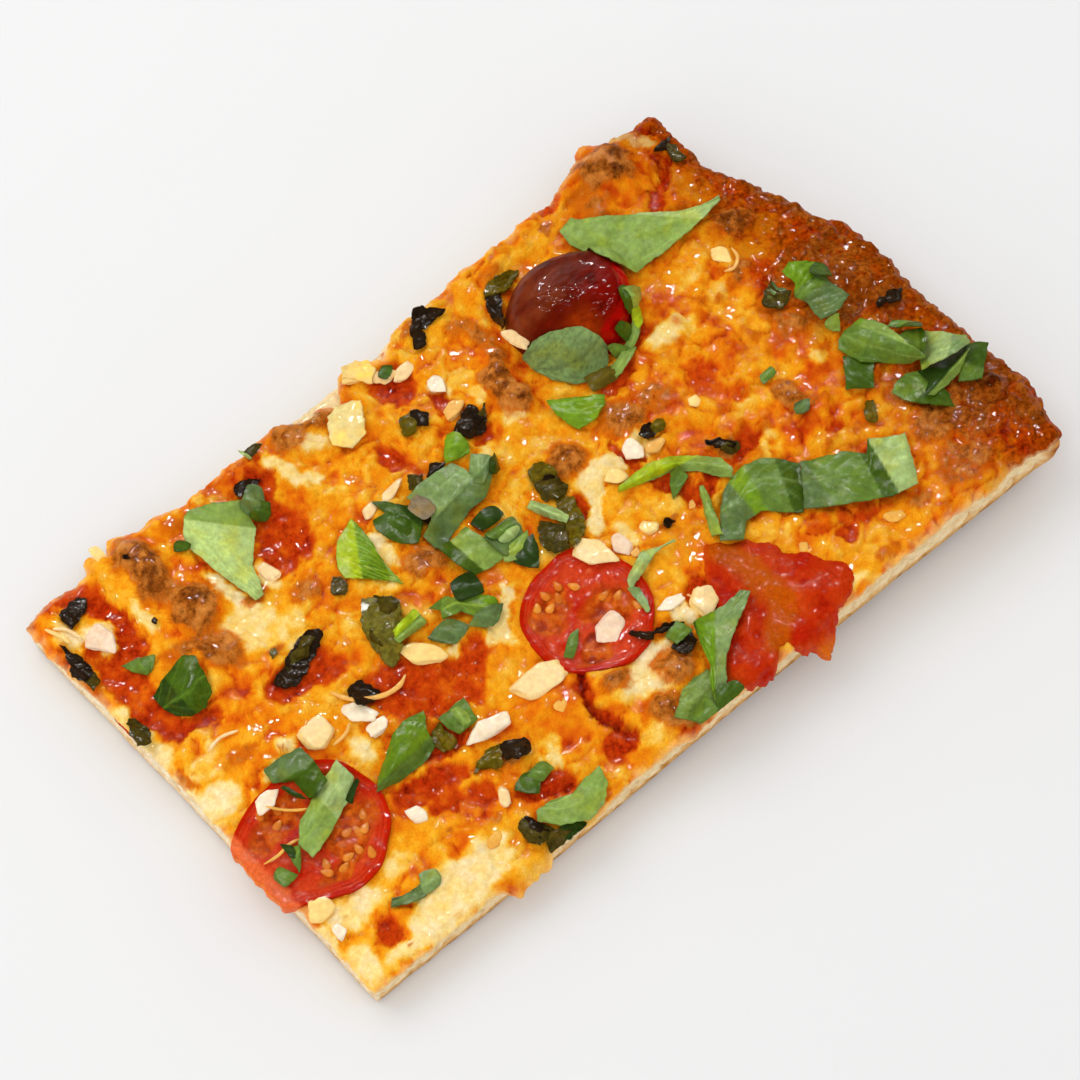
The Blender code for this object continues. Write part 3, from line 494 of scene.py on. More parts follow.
def surface(x, y):
    """Height, colour and roughness of the baked top."""
    base = level(x) + lift(x, y)
    sx, sy = seen(x, y, base)
    m = masks(sx, sy)
    brown, sauce, pale = m["brown"], m["sauce"], m["pale"]
    right = ramp(x, 15.0, 50.0)
    n1 = N1.fbm(sx / 9.0, sy / 9.0, 5.5, 3)
    n2 = N2.fbm(sx / 3.4 + 0.5 * n1, sy / 3.4 + 0.5 * n1, 6.5, 4)
    n3 = N3.fbm(sx / 1.35, sy / 1.35, 7.5, 2)
    n4 = N4.fbm(sx / 5.5 - 0.6 * n2, sy / 5.5 + 0.6 * n2, 8.5, 3)
    lump = np.zeros(np.shape(x))
    wx = sx + 0.9 * N3(sx / 4.0, sy / 4.0, 3.0) + 0.4 * n3
    wy = sy + 0.9 * N3(sx / 4.0, sy / 4.0, 6.0) + 0.4 * n2
    for cx, cy, rx, ry, turn, tall in LUMPS:
        a = math.radians(turn)
        dx, dy = wx - cx + 0.33 * tall * 0.5, wy - cy + 0.36 * tall * 0.5
        p = (dx * math.cos(a) + dy * math.sin(a)) / rx
        q = (dy * math.cos(a) - dx * math.sin(a)) / ry
        lump = lump + tall * np.exp(-1.5 * (p * p + q * q) ** 1.7)
    grit = N3.fbm(sx / 2.4, sy / 2.4, 27.5 + lump / 2.0, 2)
    # melted curds with creases between them, drawn out and uneven
    qx = sx + 2.6 * N1(sx / 7.0, sy / 7.0, 11.0) + 1.0 * N2(sx / 2.6,
                                                            sy / 2.6, 11.)
    qy = sy + 2.6 * N1(sx / 7.0, sy / 7.0, 12.0) + 1.0 * N2(sx / 2.6,
                                                            sy / 2.6, 12.)
    c1, c2, ct = cells(qx / 7.5 + 0.3, qy / 4.8, 15)
    curd = ramp(c2 - c1, 0.0, 0.40) * ramp(ct, 0.15, 0.5)
    crease = (1.0 - ramp(c2 - c1, 0.0, 0.16)) * ramp(ct, 0.2, 0.5)
    f1, f2, tone = cells(sx / 3.9 + 0.35 * N1(sx / 4, sy / 4, 4.0),
                         sy / 3.9 + 0.35 * N2(sx / 4, sy / 4, 4.0), 5)
    bubble = ramp(tone, 0.45, 0.8) * (1.0 - ramp(f1, 0.12, 0.50))
    b1, b2, bt = cells(sx / 1.5, sy / 1.5, 8)
    s1, s2, st = cells(sx / 1.05 + 0.3 * n3, sy / 1.05, 9)
    wet = ramp(sauce + 0.35 * n2 + 0.15 * n3, 0.25, 0.75)
    milky = ramp(pale + 0.22 * n2 + 0.14 * n4, 0.12, 0.80)
    z = base + lump + 0.60 * n1 + 0.55 * n4 * (1.0 - 0.35 * milky) \
        + 0.42 * n2 * (1.0 - 0.5 * milky)
    z = z + (0.45 + 0.2 * right) * curd * (1.0 - 0.8 * wet) \
        - (0.20 + 0.1 * right) * crease
    z = z + bubble * (0.22 + 0.50 * right) * (1.0 - 0.6 * wet)
    z = z - 0.60 * wet * (1.0 - brown) + 0.15 * pale
    blister = 0.18 * (1.0 - ramp(b1, 0.0, 0.75)) * ramp(brown, 0.25, 0.8)
    z = z + blister + (0.09 + 0.07 * right) * n3 * (1.0 - 0.5 * pale) \
        + 0.26 * wet * (0.5 - ramp(s1, 0.0, 0.8))
    side, inside = crack_side(sx, sy)
    torn = side + 0.8 * N1(sx / 1.8, sy / 1.8, 17.0) \
        + 0.4 * N2(sx / 0.8, sy / 0.8, 17.0)
    flap = ramp(torn, -0.1, 0.5) * (1.0 - ramp(side, 3.0, 14.0)) * inside
    gap = hill(torn, -0.75, 0.6) * inside
    z = z + 1.3 * flap - 0.8 * gap
    over = np.maximum(outside(x, y) - 0.10, 0.0)
    z = z - np.minimum(0.85 * over ** 1.2, 5.0)
    z = np.maximum(z, bed(x, y) + 0.45 - 1.6 * over)
    z = mix(z, np.minimum(z, bed(x, y) + 0.7), beneath(x, y))

    # colour: how far from white cheese to red sauce
    fog = N1.fbm(sx / 2.2 + 3.0, sy / 2.2, 18.0, 3)
    w = 0.54 + 0.07 * right + 0.30 * n1 - 0.26 * n4 - 0.26 * n2 \
        + 0.16 * fog - 0.06 * n3
    w = w + 0.16 * crease - 0.12 * curd * (ct - 0.35)
    w = mix(w, 0.66 - 0.18 * n2 + 0.12 * fog, 0.75 * m["orange"])
    w = mix(w, 0.41 - 0.16 * n2 + 0.10 * fog - 0.05 * n3,
            0.8 * m["yellow"])
    w = mix(w, 0.04 - 0.14 * n2 - 0.10 * n4 + 0.12 * fog, milky)
    w = mix(w, 0.92 - 0.20 * n2 - 0.10 * n3 + 0.14 * n1 + 0.14 * fog, wet)
    c = shade(np.clip(w, -0.08, 1.2))
    b = brown + (0.20 * n2 + 0.16 * n3 + 0.10 * n4) * ramp(brown, 0.08, 0.4)
    b = b + 0.26 * ramp(lump, 0.9, 2.0) * ramp(brown, 0.2, 0.6)
    b = b + 0.30 * bubble * right + 0.14 * right * ramp(n4 + n2, -0.1, 0.5)
    far = ramp(x, 58.0, 84.0)
    b = b + 0.20 * far + 0.16 * n2 * far
    rim = ramp(-outside(x, y), 6.0, 0.5) * ramp(x, 70.0, 84.0)
    b = b + 0.16 * rim
    b = mix(b, 0.24 + 0.42 * b + 0.12 * n2, far * ramp(b, 0.35, 0.7)
            * (1.0 - 0.8 * blot(sx, sy, 86.5, -40.2, 4.2, 3.4, -30)))
    c = lay(c, c * np.array((0.86, 0.62, 0.45)), ramp(b, 0.08, 0.26))
    c = lay(c, LINEAR["amber"], 0.92 * ramp(b + 0.14 * fog, 0.25, 0.40))
    c = lay(c, LINEAR["rust"], ramp(b + 0.3 * fog, 0.30, 0.55)
            * ramp(x, 52.0, 76.0))
    toast = ramp(b + 0.12 * n3 + 0.16 * fog, 0.49, 0.60)
    c = lay(c, LINEAR["toast"], toast)
    c = lay(c, LINEAR["tan"], toast * (0.35 * ramp(grit, -0.1, 0.3)
                                       + 0.30 * ramp(-n4, 0.0, 0.5)))
    c = lay(c, LINEAR["burnt"], 0.50 * toast * ramp(lump, 0.5, 1.8)
            * ramp(0.6 * n4 - 0.9 * grit, -0.3, 0.5))
    c = lay(c, LINEAR["burnt"], 0.85 * ramp(
        b + 0.30 * (0.5 - ramp(b1, 0.1, 0.8)), 1.14, 1.50))
    # dark red sauce showing in the crack, deepened as painted shadow under the raised
    # flap
    c = lay(c, LINEAR["deep"], 0.9 * gap)
    # the 6 per cent lift towards the left end is painted light, brighter on the
    # lamps' side; the rest is grain and browning
    c = c * (1.0 + 0.08 * n3 + 0.12 * toast * grit + 0.06 * ramp(-x, 35.0, 80.0)
             - 0.12 * far)[..., None]
    c = lay(c, c * np.array((0.60, 0.42, 0.22)), ramp(x, 62.0, 84.0))
    oil = ramp(n1 - n4, 0.0, 0.5)
    c = lay(c, LINEAR["deep"], 0.5 * ramp(st, 0.86, 0.93)
            * (1.0 - ramp(s1, 0.15, 0.4)) * ramp(wet + 0.6 * brown, .3, .8))
    rough = 0.38 + 0.01 * wet - 0.12 * oil + 0.10 * n2 + 0.06 * pale \
        - 0.12 * ramp(b, 0.3, 0.6) + 0.05 * toast * (1.0 - 0.5 * far)
    return z, np.clip(c, 0.0, 1.0), np.clip(rough, 0.10, 0.8)


# ---- meshes ---------------------------------------------------------------------
def add_object(name, verts, faces, mat, slot, colour=None, rough=None,
               replaces=(), extra=None):
    me = bpy.data.meshes.new(name)
    me.from_pydata(np.asarray(verts).reshape(-1, 3).tolist(), [],
                   [tuple(f) for f in np.asarray(faces).tolist()]
                   if isinstance(faces, np.ndarray) else faces)
    me.validate()
    bm = bmesh.new()
    bm.from_mesh(me)
    bmesh.ops.recalc_face_normals(bm, faces=bm.faces)
    bm.to_mesh(me)
    bm.free()
    n = len(me.vertices)
    if colour is not None:
        rgba = np.ones((n, 4), np.float32)
        rgba[:, :3] = np.asarray(colour).reshape(-1, 3)
        at = me.color_attributes.new("tint", 'FLOAT_COLOR', 'POINT')
        at.data.foreach_set("color", rgba.ravel())
    if rough is not None:
        at = me.attributes.new("rough", 'FLOAT', 'POINT')
        at.data.foreach_set("value",
                            np.asarray(rough, np.float32).ravel())
    for key, val in (extra or {}).items():
        at = me.attributes.new(key, 'FLOAT', 'POINT')
        at.data.foreach_set("value", np.asarray(val, np.float32).ravel())
    me.polygons.foreach_set("use_smooth", [True] * len(me.polygons))
    if slot == "basil":
        me.set_sharp_from_angle(angle=math.radians(52))
    me.materials.append(mat)
    ob = bpy.data.objects.new(name, me)
    bpy.context.scene.collection.objects.link(ob)
    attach(ob, "root")
    if replaces:
        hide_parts(*replaces)
    return ob


def grid_faces(nu, nv, wrap_u=False, offset=0, flip=False):
    """Quads of a grid of nu by nv points, u outermost."""
    i = np.arange(nu if wrap_u else nu - 1)
    j = np.arange(nv - 1)
    ii, jj = np.meshgrid(i, j, indexing="ij")
    a = ii * nv + jj
    b = ((ii + 1) % nu) * nv + jj
    f = np.stack([a, b, b + 1, a + 1], -1).reshape(-1, 4)
    if flip:
        f = f[:, ::-1]
    return f + offset


class Ground:
    """Raster of the height of all laid so far, half a millimetre apart."""
    STEP = 0.5

    def __init__(self):
        self.x0, self.y0 = -95.0, -64.0
        self.nx, self.ny = 382, 252
        self.z = np.full((self.nx, self.ny), -5.0)

    def add(self, ob):
        me = ob.data
        n = len(me.vertices)
        co = np.empty(n * 3, np.float32)
        me.vertices.foreach_get("co", co)
        self.add_mesh(co.reshape(-1, 3).astype(float),
                      [tuple(p.vertices) for p in me.polygons])

    def add_mesh(self, co, faces):
        """The same for points in the frame, in metres."""
        bvh = BVHTree.FromPolygons([tuple(c) for c in co.tolist()], faces)
        x = co[:, 0] / MM + X_MIDDLE
        y = co[:, 1] / MM + Y_MIDDLE
        i0 = max(int((x.min() - self.x0) / self.STEP), 0)
        i1 = min(int((x.max() - self.x0) / self.STEP) + 2, self.nx)
        j0 = max(int((y.min() - self.y0) / self.STEP), 0)
        j1 = min(int((y.max() - self.y0) / self.STEP) + 2, self.ny)
        down = Vector((0, 0, -1))
        for i in range(i0, i1):
            wx = (self.x0 + i * self.STEP - X_MIDDLE) * MM
            for j in range(j0, j1):
                wy = (self.y0 + j * self.STEP - Y_MIDDLE) * MM
                hit = bvh.ray_cast(Vector((wx, wy, 0.06)), down)
                if hit[0] is not None:
                    z = hit[0].z / MM
                    if z > self.z[i, j]:
                        self.z[i, j] = z


    def finish(self):
        """Also keeps a widened, smoothed copy for leaves to lie on.

        Past the edge of the slice the copy carries on nearly level, so
        what sticks out over the edge stays stiff instead of hanging down.
        """
        z = self.z.copy()
        off = z < 7.0
        z[off] = -50.0
        for _ in range(48):
            w = z.copy()
            for dx, dy in ((1, 0), (-1, 0), (0, 1), (0, -1),
                           (1, 1), (1, -1), (-1, 1), (-1, -1)):
                w = np.maximum(w, np.roll(np.roll(z, dx, 0), dy, 1)
                               - 0.05 * math.hypot(dx, dy))
            z = np.where(off, w, z)
        for _ in range(2):
            w = z.copy()
            for dx, dy in ((1, 0), (-1, 0), (0, 1), (0, -1)):
                w = np.maximum(w, np.roll(np.roll(z, dx, 0), dy, 1))
            z = w
        wide = z
        for _ in range(4):
            z = (z + np.roll(z, 1, 0) + np.roll(z, -1, 0)
                 + np.roll(z, 1, 1) + np.roll(z, -1, 1)) / 5.0
        self.soft = np.maximum(z, 0.0)
        self.wide = wide

    def sample(self, grid, x, y):
        fx = np.clip((x - self.x0) / self.STEP, 0, self.nx - 1.001)
        fy = np.clip((y - self.y0) / self.STEP, 0, self.ny - 1.001)
        i, j = fx.astype(int), fy.astype(int)
        p, q = fx - i, fy - j
        return ((grid[i, j] * (1 - p) + grid[i + 1, j] * p) * (1 - q)
                + (grid[i, j + 1] * (1 - p) + grid[i + 1, j + 1] * p) * q)

    def lie(self, x, y, above):
        """True places and heights of points seen at x, y, so far above."""
        px, py = x.copy(), y.copy()
        for _ in range(7):
            z = self.sample(self.soft, px, py) + above
            px = 0.5 * (px + x - LEAN[0] * (z - SIGHT_Z))
            py = 0.5 * (py + y - LEAN[1] * (z - SIGHT_Z))
        return px, py, self.sample(self.soft, px, py) + above


# ---- materials --------------------------------------------------------------------
def new_material(name):
    mat = bpy.data.materials.new(name)
    mat.use_nodes = True
    nt = mat.node_tree
    return mat, nt, nt.nodes["Principled BSDF"]


def node(nt, kind, **values):
    n = nt.nodes.new(kind)
    for key, val in values.items():
        if key in n.inputs:
            n.inputs[key].default_value = val
        else:
            setattr(n, key, val)
    return n


def noise_tex(nt, scale, detail=4.0, rough=0.55, distort=0.0):
    co = node(nt, "ShaderNodeTexCoord")
    n = node(nt, "ShaderNodeTexNoise", Scale=scale, Detail=detail,
             Roughness=rough, Distortion=distort)
    nt.links.new(co.outputs["Object"], n.inputs["Vector"])
    return n


def spread(nt, value, lo, hi, to_lo=0.0, to_hi=1.0):
    r = node(nt, "ShaderNodeMapRange")
    r.inputs["From Min"].default_value = lo
    r.inputs["From Max"].default_value = hi
    r.inputs["To Min"].default_value = to_lo
    r.inputs["To Max"].default_value = to_hi
    nt.links.new(value, r.inputs["Value"])
    return r.outputs["Result"]


def mixed(nt, a, b, factor, mode='MIX'):
    m = node(nt, "ShaderNodeMix", data_type='RGBA', blend_type=mode)
    for sock, val in ((m.inputs[6], a), (m.inputs[7], b),
                      (m.inputs[0], factor)):
        if isinstance(val, bpy.types.NodeSocket):
            nt.links.new(val, sock)
        else:
            sock.default_value = val
    return m.outputs[2]


def math_node(nt, op, a, b):
    m = node(nt, "ShaderNodeMath", operation=op)
    for k, val in enumerate((a, b)):
        if isinstance(val, bpy.types.NodeSocket):
            nt.links.new(val, m.inputs[k])
        else:
            m.inputs[k].default_value = val
    return m.outputs[0]


def attribute(nt, name):
    return node(nt, "ShaderNodeAttribute", attribute_name=name)


def food_material(name, bumps, dark=0.75, light=1.15, speck=900.0,
                  coat=0.0, coat_rough=0.1, spec=0.5, rough_noise=0.12,
                  rough=None, ior=1.45, warm=0.0, detail=3.0, dry=None):
    """Tinted by the mesh, varied by noise, with fine relief.

    bumps: (scale per metre, distance in metres, strength) of each relief."""
    mat, nt, bsdf = new_material(name)
    tint = attribute(nt, "tint").outputs["Color"]
    plain = 1.0
    if dry is not None:
        split = node(nt, "ShaderNodeSeparateColor")
        nt.links.new(tint, split.inputs[0])
        plain = spread(nt, split.outputs[2], 0.04, 0.30, 1.0, 0.35)
        baked = spread(nt, split.outputs[0], 0.35, 0.62, 1.0, 0.0)
    n = noise_tex(nt, speck, 5.0, 0.6)
    shade = spread(nt, n.outputs["Fac"], 0.3, 0.7, dark, light)
    grey = node(nt, "ShaderNodeCombineColor")
    for k in range(3):
        nt.links.new(shade, grey.inputs[k])
    col = mixed(nt, tint, grey.outputs[0], 1.0, 'MULTIPLY')
    if warm:
        h = noise_tex(nt, speck * 0.7, 5.0, 0.62, 0.4)
        k = spread(nt, h.outputs["Fac"], 0.36, 0.64)
        hue = mixed(nt, (1.0 + 0.10 * warm, 1.0 + 0.28 * warm,
                         1.0 + 0.7 * warm, 1.0),
                    (1.0 - 0.08 * warm, 1.0 - 0.34 * warm,
                     1.0 - 0.55 * warm, 1.0), k)
        col = mixed(nt, col, hue, 1.0, 'MULTIPLY')
        g = noise_tex(nt, speck * 2.1, 2.0, 0.5)
        k = spread(nt, g.outputs["Fac"], 0.40, 0.60)
        grain = mixed(nt, (1.0 + 0.10 * warm, 1.0 + 0.20 * warm,
                           1.0 + 0.16 * warm, 1.0),
                      (1.0 - 0.12 * warm, 1.0 - 0.30 * warm,
                       1.0 - 0.20 * warm, 1.0), k)
        col = mixed(nt, col, grain, plain, 'MULTIPLY')
    if dry is not None:
        f = noise_tex(nt, 1050.0, 4.0, 0.7)
        k = spread(nt, f.outputs["Fac"], 0.34, 0.66)
        mottle = mixed(nt, (0.50, 0.42, 0.36, 1.0), (1.58, 1.66, 1.6, 1.0), k)
        col = mixed(nt, col, mottle, baked, 'MULTIPLY')
    nt.links.new(col, bsdf.inputs["Base Color"])
    r = noise_tex(nt, speck * 0.6, 3.0)
    rr = spread(nt, r.outputs["Fac"], 0.3, 0.7, -rough_noise, rough_noise)
    base = attribute(nt, "rough").outputs["Fac"] if rough is None else rough
    nt.links.new(math_node(nt, 'ADD', base, rr), bsdf.inputs["Roughness"])
    bsdf.inputs["Specular IOR Level"].default_value = spec
    bsdf.inputs["IOR"].default_value = ior
    bsdf.inputs["Coat Weight"].default_value = coat
    if dry is not None:
        nt.links.new(spread(nt, base, 0.22, 0.40, coat, dry),
                     bsdf.inputs["Coat Weight"])
    bsdf.inputs["Coat Roughness"].default_value = coat_rough
    normal = None
    for scale, distance, strength in bumps:
        t = noise_tex(nt, scale, detail, 0.5)
        b = node(nt, "ShaderNodeBump", Strength=strength, Distance=distance)
        nt.links.new(t.outputs["Fac"], b.inputs["Height"])
        if dry is not None:
            nt.links.new(math_node(nt, 'MULTIPLY', plain, strength),
                         b.inputs["Strength"])
        if normal is not None:
            nt.links.new(normal, b.inputs["Normal"])
        normal = b.outputs["Normal"]
    if normal is not None:
        nt.links.new(normal, bsdf.inputs["Normal"])
    return mat


def srgb(r, g, b, gain=1.0):
    c = np.array([r, g, b]) / 255.0
    return gain * np.where(c <= 0.04045, c / 12.92,
                           ((c + 0.055) / 1.055) ** 2.4)


def tinted(n, colour):
    return np.tile(np.asarray(colour, float), (n, 1))


def lay(c, new, t):
    return c + (new - c) * clamp(t)[..., None]


def smooth_loop(a, times):
    for _ in range(times):
        a = (np.roll(a, 1, 0) + a + np.roll(a, -1, 0)) / 3.0
    return a


def loop_normals(x, y, times=6):
    """Outward normals of a closed loop that runs anticlockwise."""
    tx = np.roll(x, -1) - np.roll(x, 1)
    ty = np.roll(y, -1) - np.roll(y, 1)
    n = np.stack([ty, -tx], -1)
    n = smooth_loop(n / (np.linalg.norm(n, axis=1)[:, None] + 1e-9), times)
    return n / (np.linalg.norm(n, axis=1)[:, None] + 1e-9)


def loop_indices(nu, nv):
    """Border of a grid of nu by nv points, anticlockwise from the corner."""
    i, j = np.arange(nu), np.arange(nv)
    return np.concatenate([i[:-1] * nv, (nu - 1) * nv + j[:-1],
                           i[:0:-1] * nv + nv - 1, j[:0:-1]])


def strip_faces(rings, offset=0, closed=True):
    """Quads between successive rings of indices, the first one outermost."""
    out = []
    for a, b in zip(rings, rings[1:]):
        a2, b2 = np.roll(a, -1), np.roll(b, -1)
        f = np.stack([a, b, b2, a2], -1)
        out.append(f if closed else f[:-1])
    return np.concatenate(out) + offset


def new_indices(start, n, rings):
    return [start + k * n + np.arange(n) for k in range(rings)]


# ---- melted cheese ------------------------------------------------------------
def build_cheese(mat):
    plan = Plan(0.0, 1.0, 0.0, 1.0, 2.0)
    nu, nv = 372, 214
    u = np.linspace(0.0, 1.0, nu)[:, None]
    v = np.linspace(0.0, 1.0, nv)[None, :]
    x, y = plan(u, v)
    z, c, r = surface(x, y)
    off = np.minimum(np.minimum(u, 1 - u) * 178.0, np.minimum(v, 1 - v) * 104.)
    turn = (1.0 - ramp(off + 0.5 * N2(x / 1.6, y / 1.6, 8.0), 0.0, 1.7)) ** 1.5
    z = z - turn * (0.60 + 0.35 * N1(x / 3.0, y / 3.0, 7.0))
    z = np.maximum(z, bed(x, y) + 0.30 - 1.6 * np.maximum(
        outside(x, y) - 0.1, 0.0))
    c = lay(c, c * 0.35 + 0.65 * LINEAR["cream"] * np.array(
        (1.0, 0.86, 0.62)), 0.6 * turn * (1.0 - ramp(x, 60.0, 84.0))
        * ramp(N3.fbm(x / 3.0, y / 3.0, 12.0, 3), -0.35, 0.25))
    verts = [np.stack([x, y, z], -1).reshape(-1, 3)]
    tint, rough = [c.reshape(-1, 3)], [r.reshape(-1)]
    faces = [grid_faces(nu, nv)]
    border = loop_indices(nu, nv)
    ex, ey, ez = (a.reshape(-1)[border] for a in (x, y, z))
    ec = c.reshape(-1, 3)[border]
    n = loop_normals(ex, ey)
    over = outside(ex, ey)
    rim = ramp(ex - dough_rim(ey), -3.0, -0.5)
    s = np.cumsum(np.hypot(ex - np.roll(ex, 1), ey - np.roll(ey, 1)))
    thick = 1.05 + 0.35 * N1(s / 4.0, 0.5, 3.0) + 1.0 * rim
    thick = np.maximum(thick + 0.5 * N3(s / 1.6, 0.5, 13.0), 0.55)
    under = level(ex) + lift(ex, ey) - 1.7
    low = np.minimum(ez - thick, np.where(over > 0.9, 99.0, under))
    low = np.maximum(low, bed(ex, ey) - 1.5 - 3.2 * ramp(over, 0.5, 4.0))
    rings = [border]
    start = nu * nv
    profile = ((0.20, 0.07), (0.36, 0.24), (0.42, 0.50), (0.32, 0.78),
               (0.02, 0.98), (-0.6, 1.04), (-1.6, 1.02), (-3.4, 1.0))
    for k, (push, down) in enumerate(profile):
        rag = 0.20 * N2(s / 0.9, 1.7 * k, 4.0) + 0.16 * N3(s / 2.6, k, 6.0)
        px = ex + n[:, 0] * (push + rag * (k < 6))
        py = ey + n[:, 1] * (push + rag * (k < 6))
        pz = mix(ez, low, down) + 0.10 * N4(s / 0.8, 2.0 * k, 1.0)
        verts.append(np.stack([px, py, pz], -1))
        blotch = 0.5 + 0.7 * N3.fbm(s / 2.2, 1.3 * k, 9.0, 2)
        pale = lay(tinted(len(s), LINEAR["crumb"]), LINEAR["yellow"],
                   0.55 * blotch)
        tint.append(lay(ec, pale, (0.15 + 0.75 * down) * (1 - rim)
                        * (1.0 - 0.7 * ramp(over, 0.8, 2.0))))
        rough.append(np.full(len(s), 0.34))
        rings.append(start + k * len(s) + np.arange(len(s)))
    faces.append(strip_faces(rings)[:, ::-1])
    # closed underneath, inside the dough
    start = start + len(profile) * len(s)
    verts.append(np.array([[0.0, 0.0, float(bed(0.0, 0.0)) - 0.3]]))
    tint.append(tinted(1, LINEAR["yellow"]))
    rough.append(np.full(1, 0.5))
    last = rings[-1]
    faces = [tuple(f) for f in np.concatenate(faces).tolist()]
    faces += [(start, int(a), int(b)) for a, b in zip(last,
                                                      np.roll(last, -1))]
    p = np.concatenate(verts)
    return add_object("melted_cheese", to_world(*p.T), faces,
                      mat, "cheese", np.concatenate(tint),
                      np.concatenate(rough), ("cheese",))


# ---- dough ----------------------------------------------------------------------
def underside(x, y):
    """Relief and colour of the browned bottom."""
    n1 = N1.fbm(x / 14.0, y / 14.0, 21.0, 4)
    n2 = N2.fbm(x / 4.5, y / 4.5, 22.0, 4)
    n3 = N3.fbm(x / 1.4, y / 1.4, 23.0, 3)
    f1, f2, tone = cells(x / 6.0 + n2, y / 6.0, 31)
    dent = ramp(tone, 0.55, 0.9) * (1.0 - ramp(f1, 0.10, 0.42))
    z = (0.42 * dent + 0.16 * ramp(n1, -0.2, 0.6) + 0.10 * ramp(n2, -.3, .6)
         + 0.05 * ramp(n3, -0.3, 0.6))
    c = tinted(x.size, srgb(208, 158, 92)).reshape(x.shape + (3,))
    c = lay(c, srgb(176, 115, 55), ramp(n1 + 0.4 * n2, -0.1, 0.6))
    c = lay(c, srgb(128, 72, 32), 0.8 * ramp(n1 + 0.7 * n2 + 0.3 * n3,
                                             0.35, 0.95))
    c = lay(c, srgb(84, 44, 22), 0.75 * ramp(n2 + 0.5 * n3, 0.55, 0.95))
    c = lay(c, srgb(226, 190, 132), 0.8 * dent)
    c = lay(c, srgb(238, 220, 188), 0.55 * ramp(n3 - 0.4 * n1, 0.30, 0.75))
    return z, c


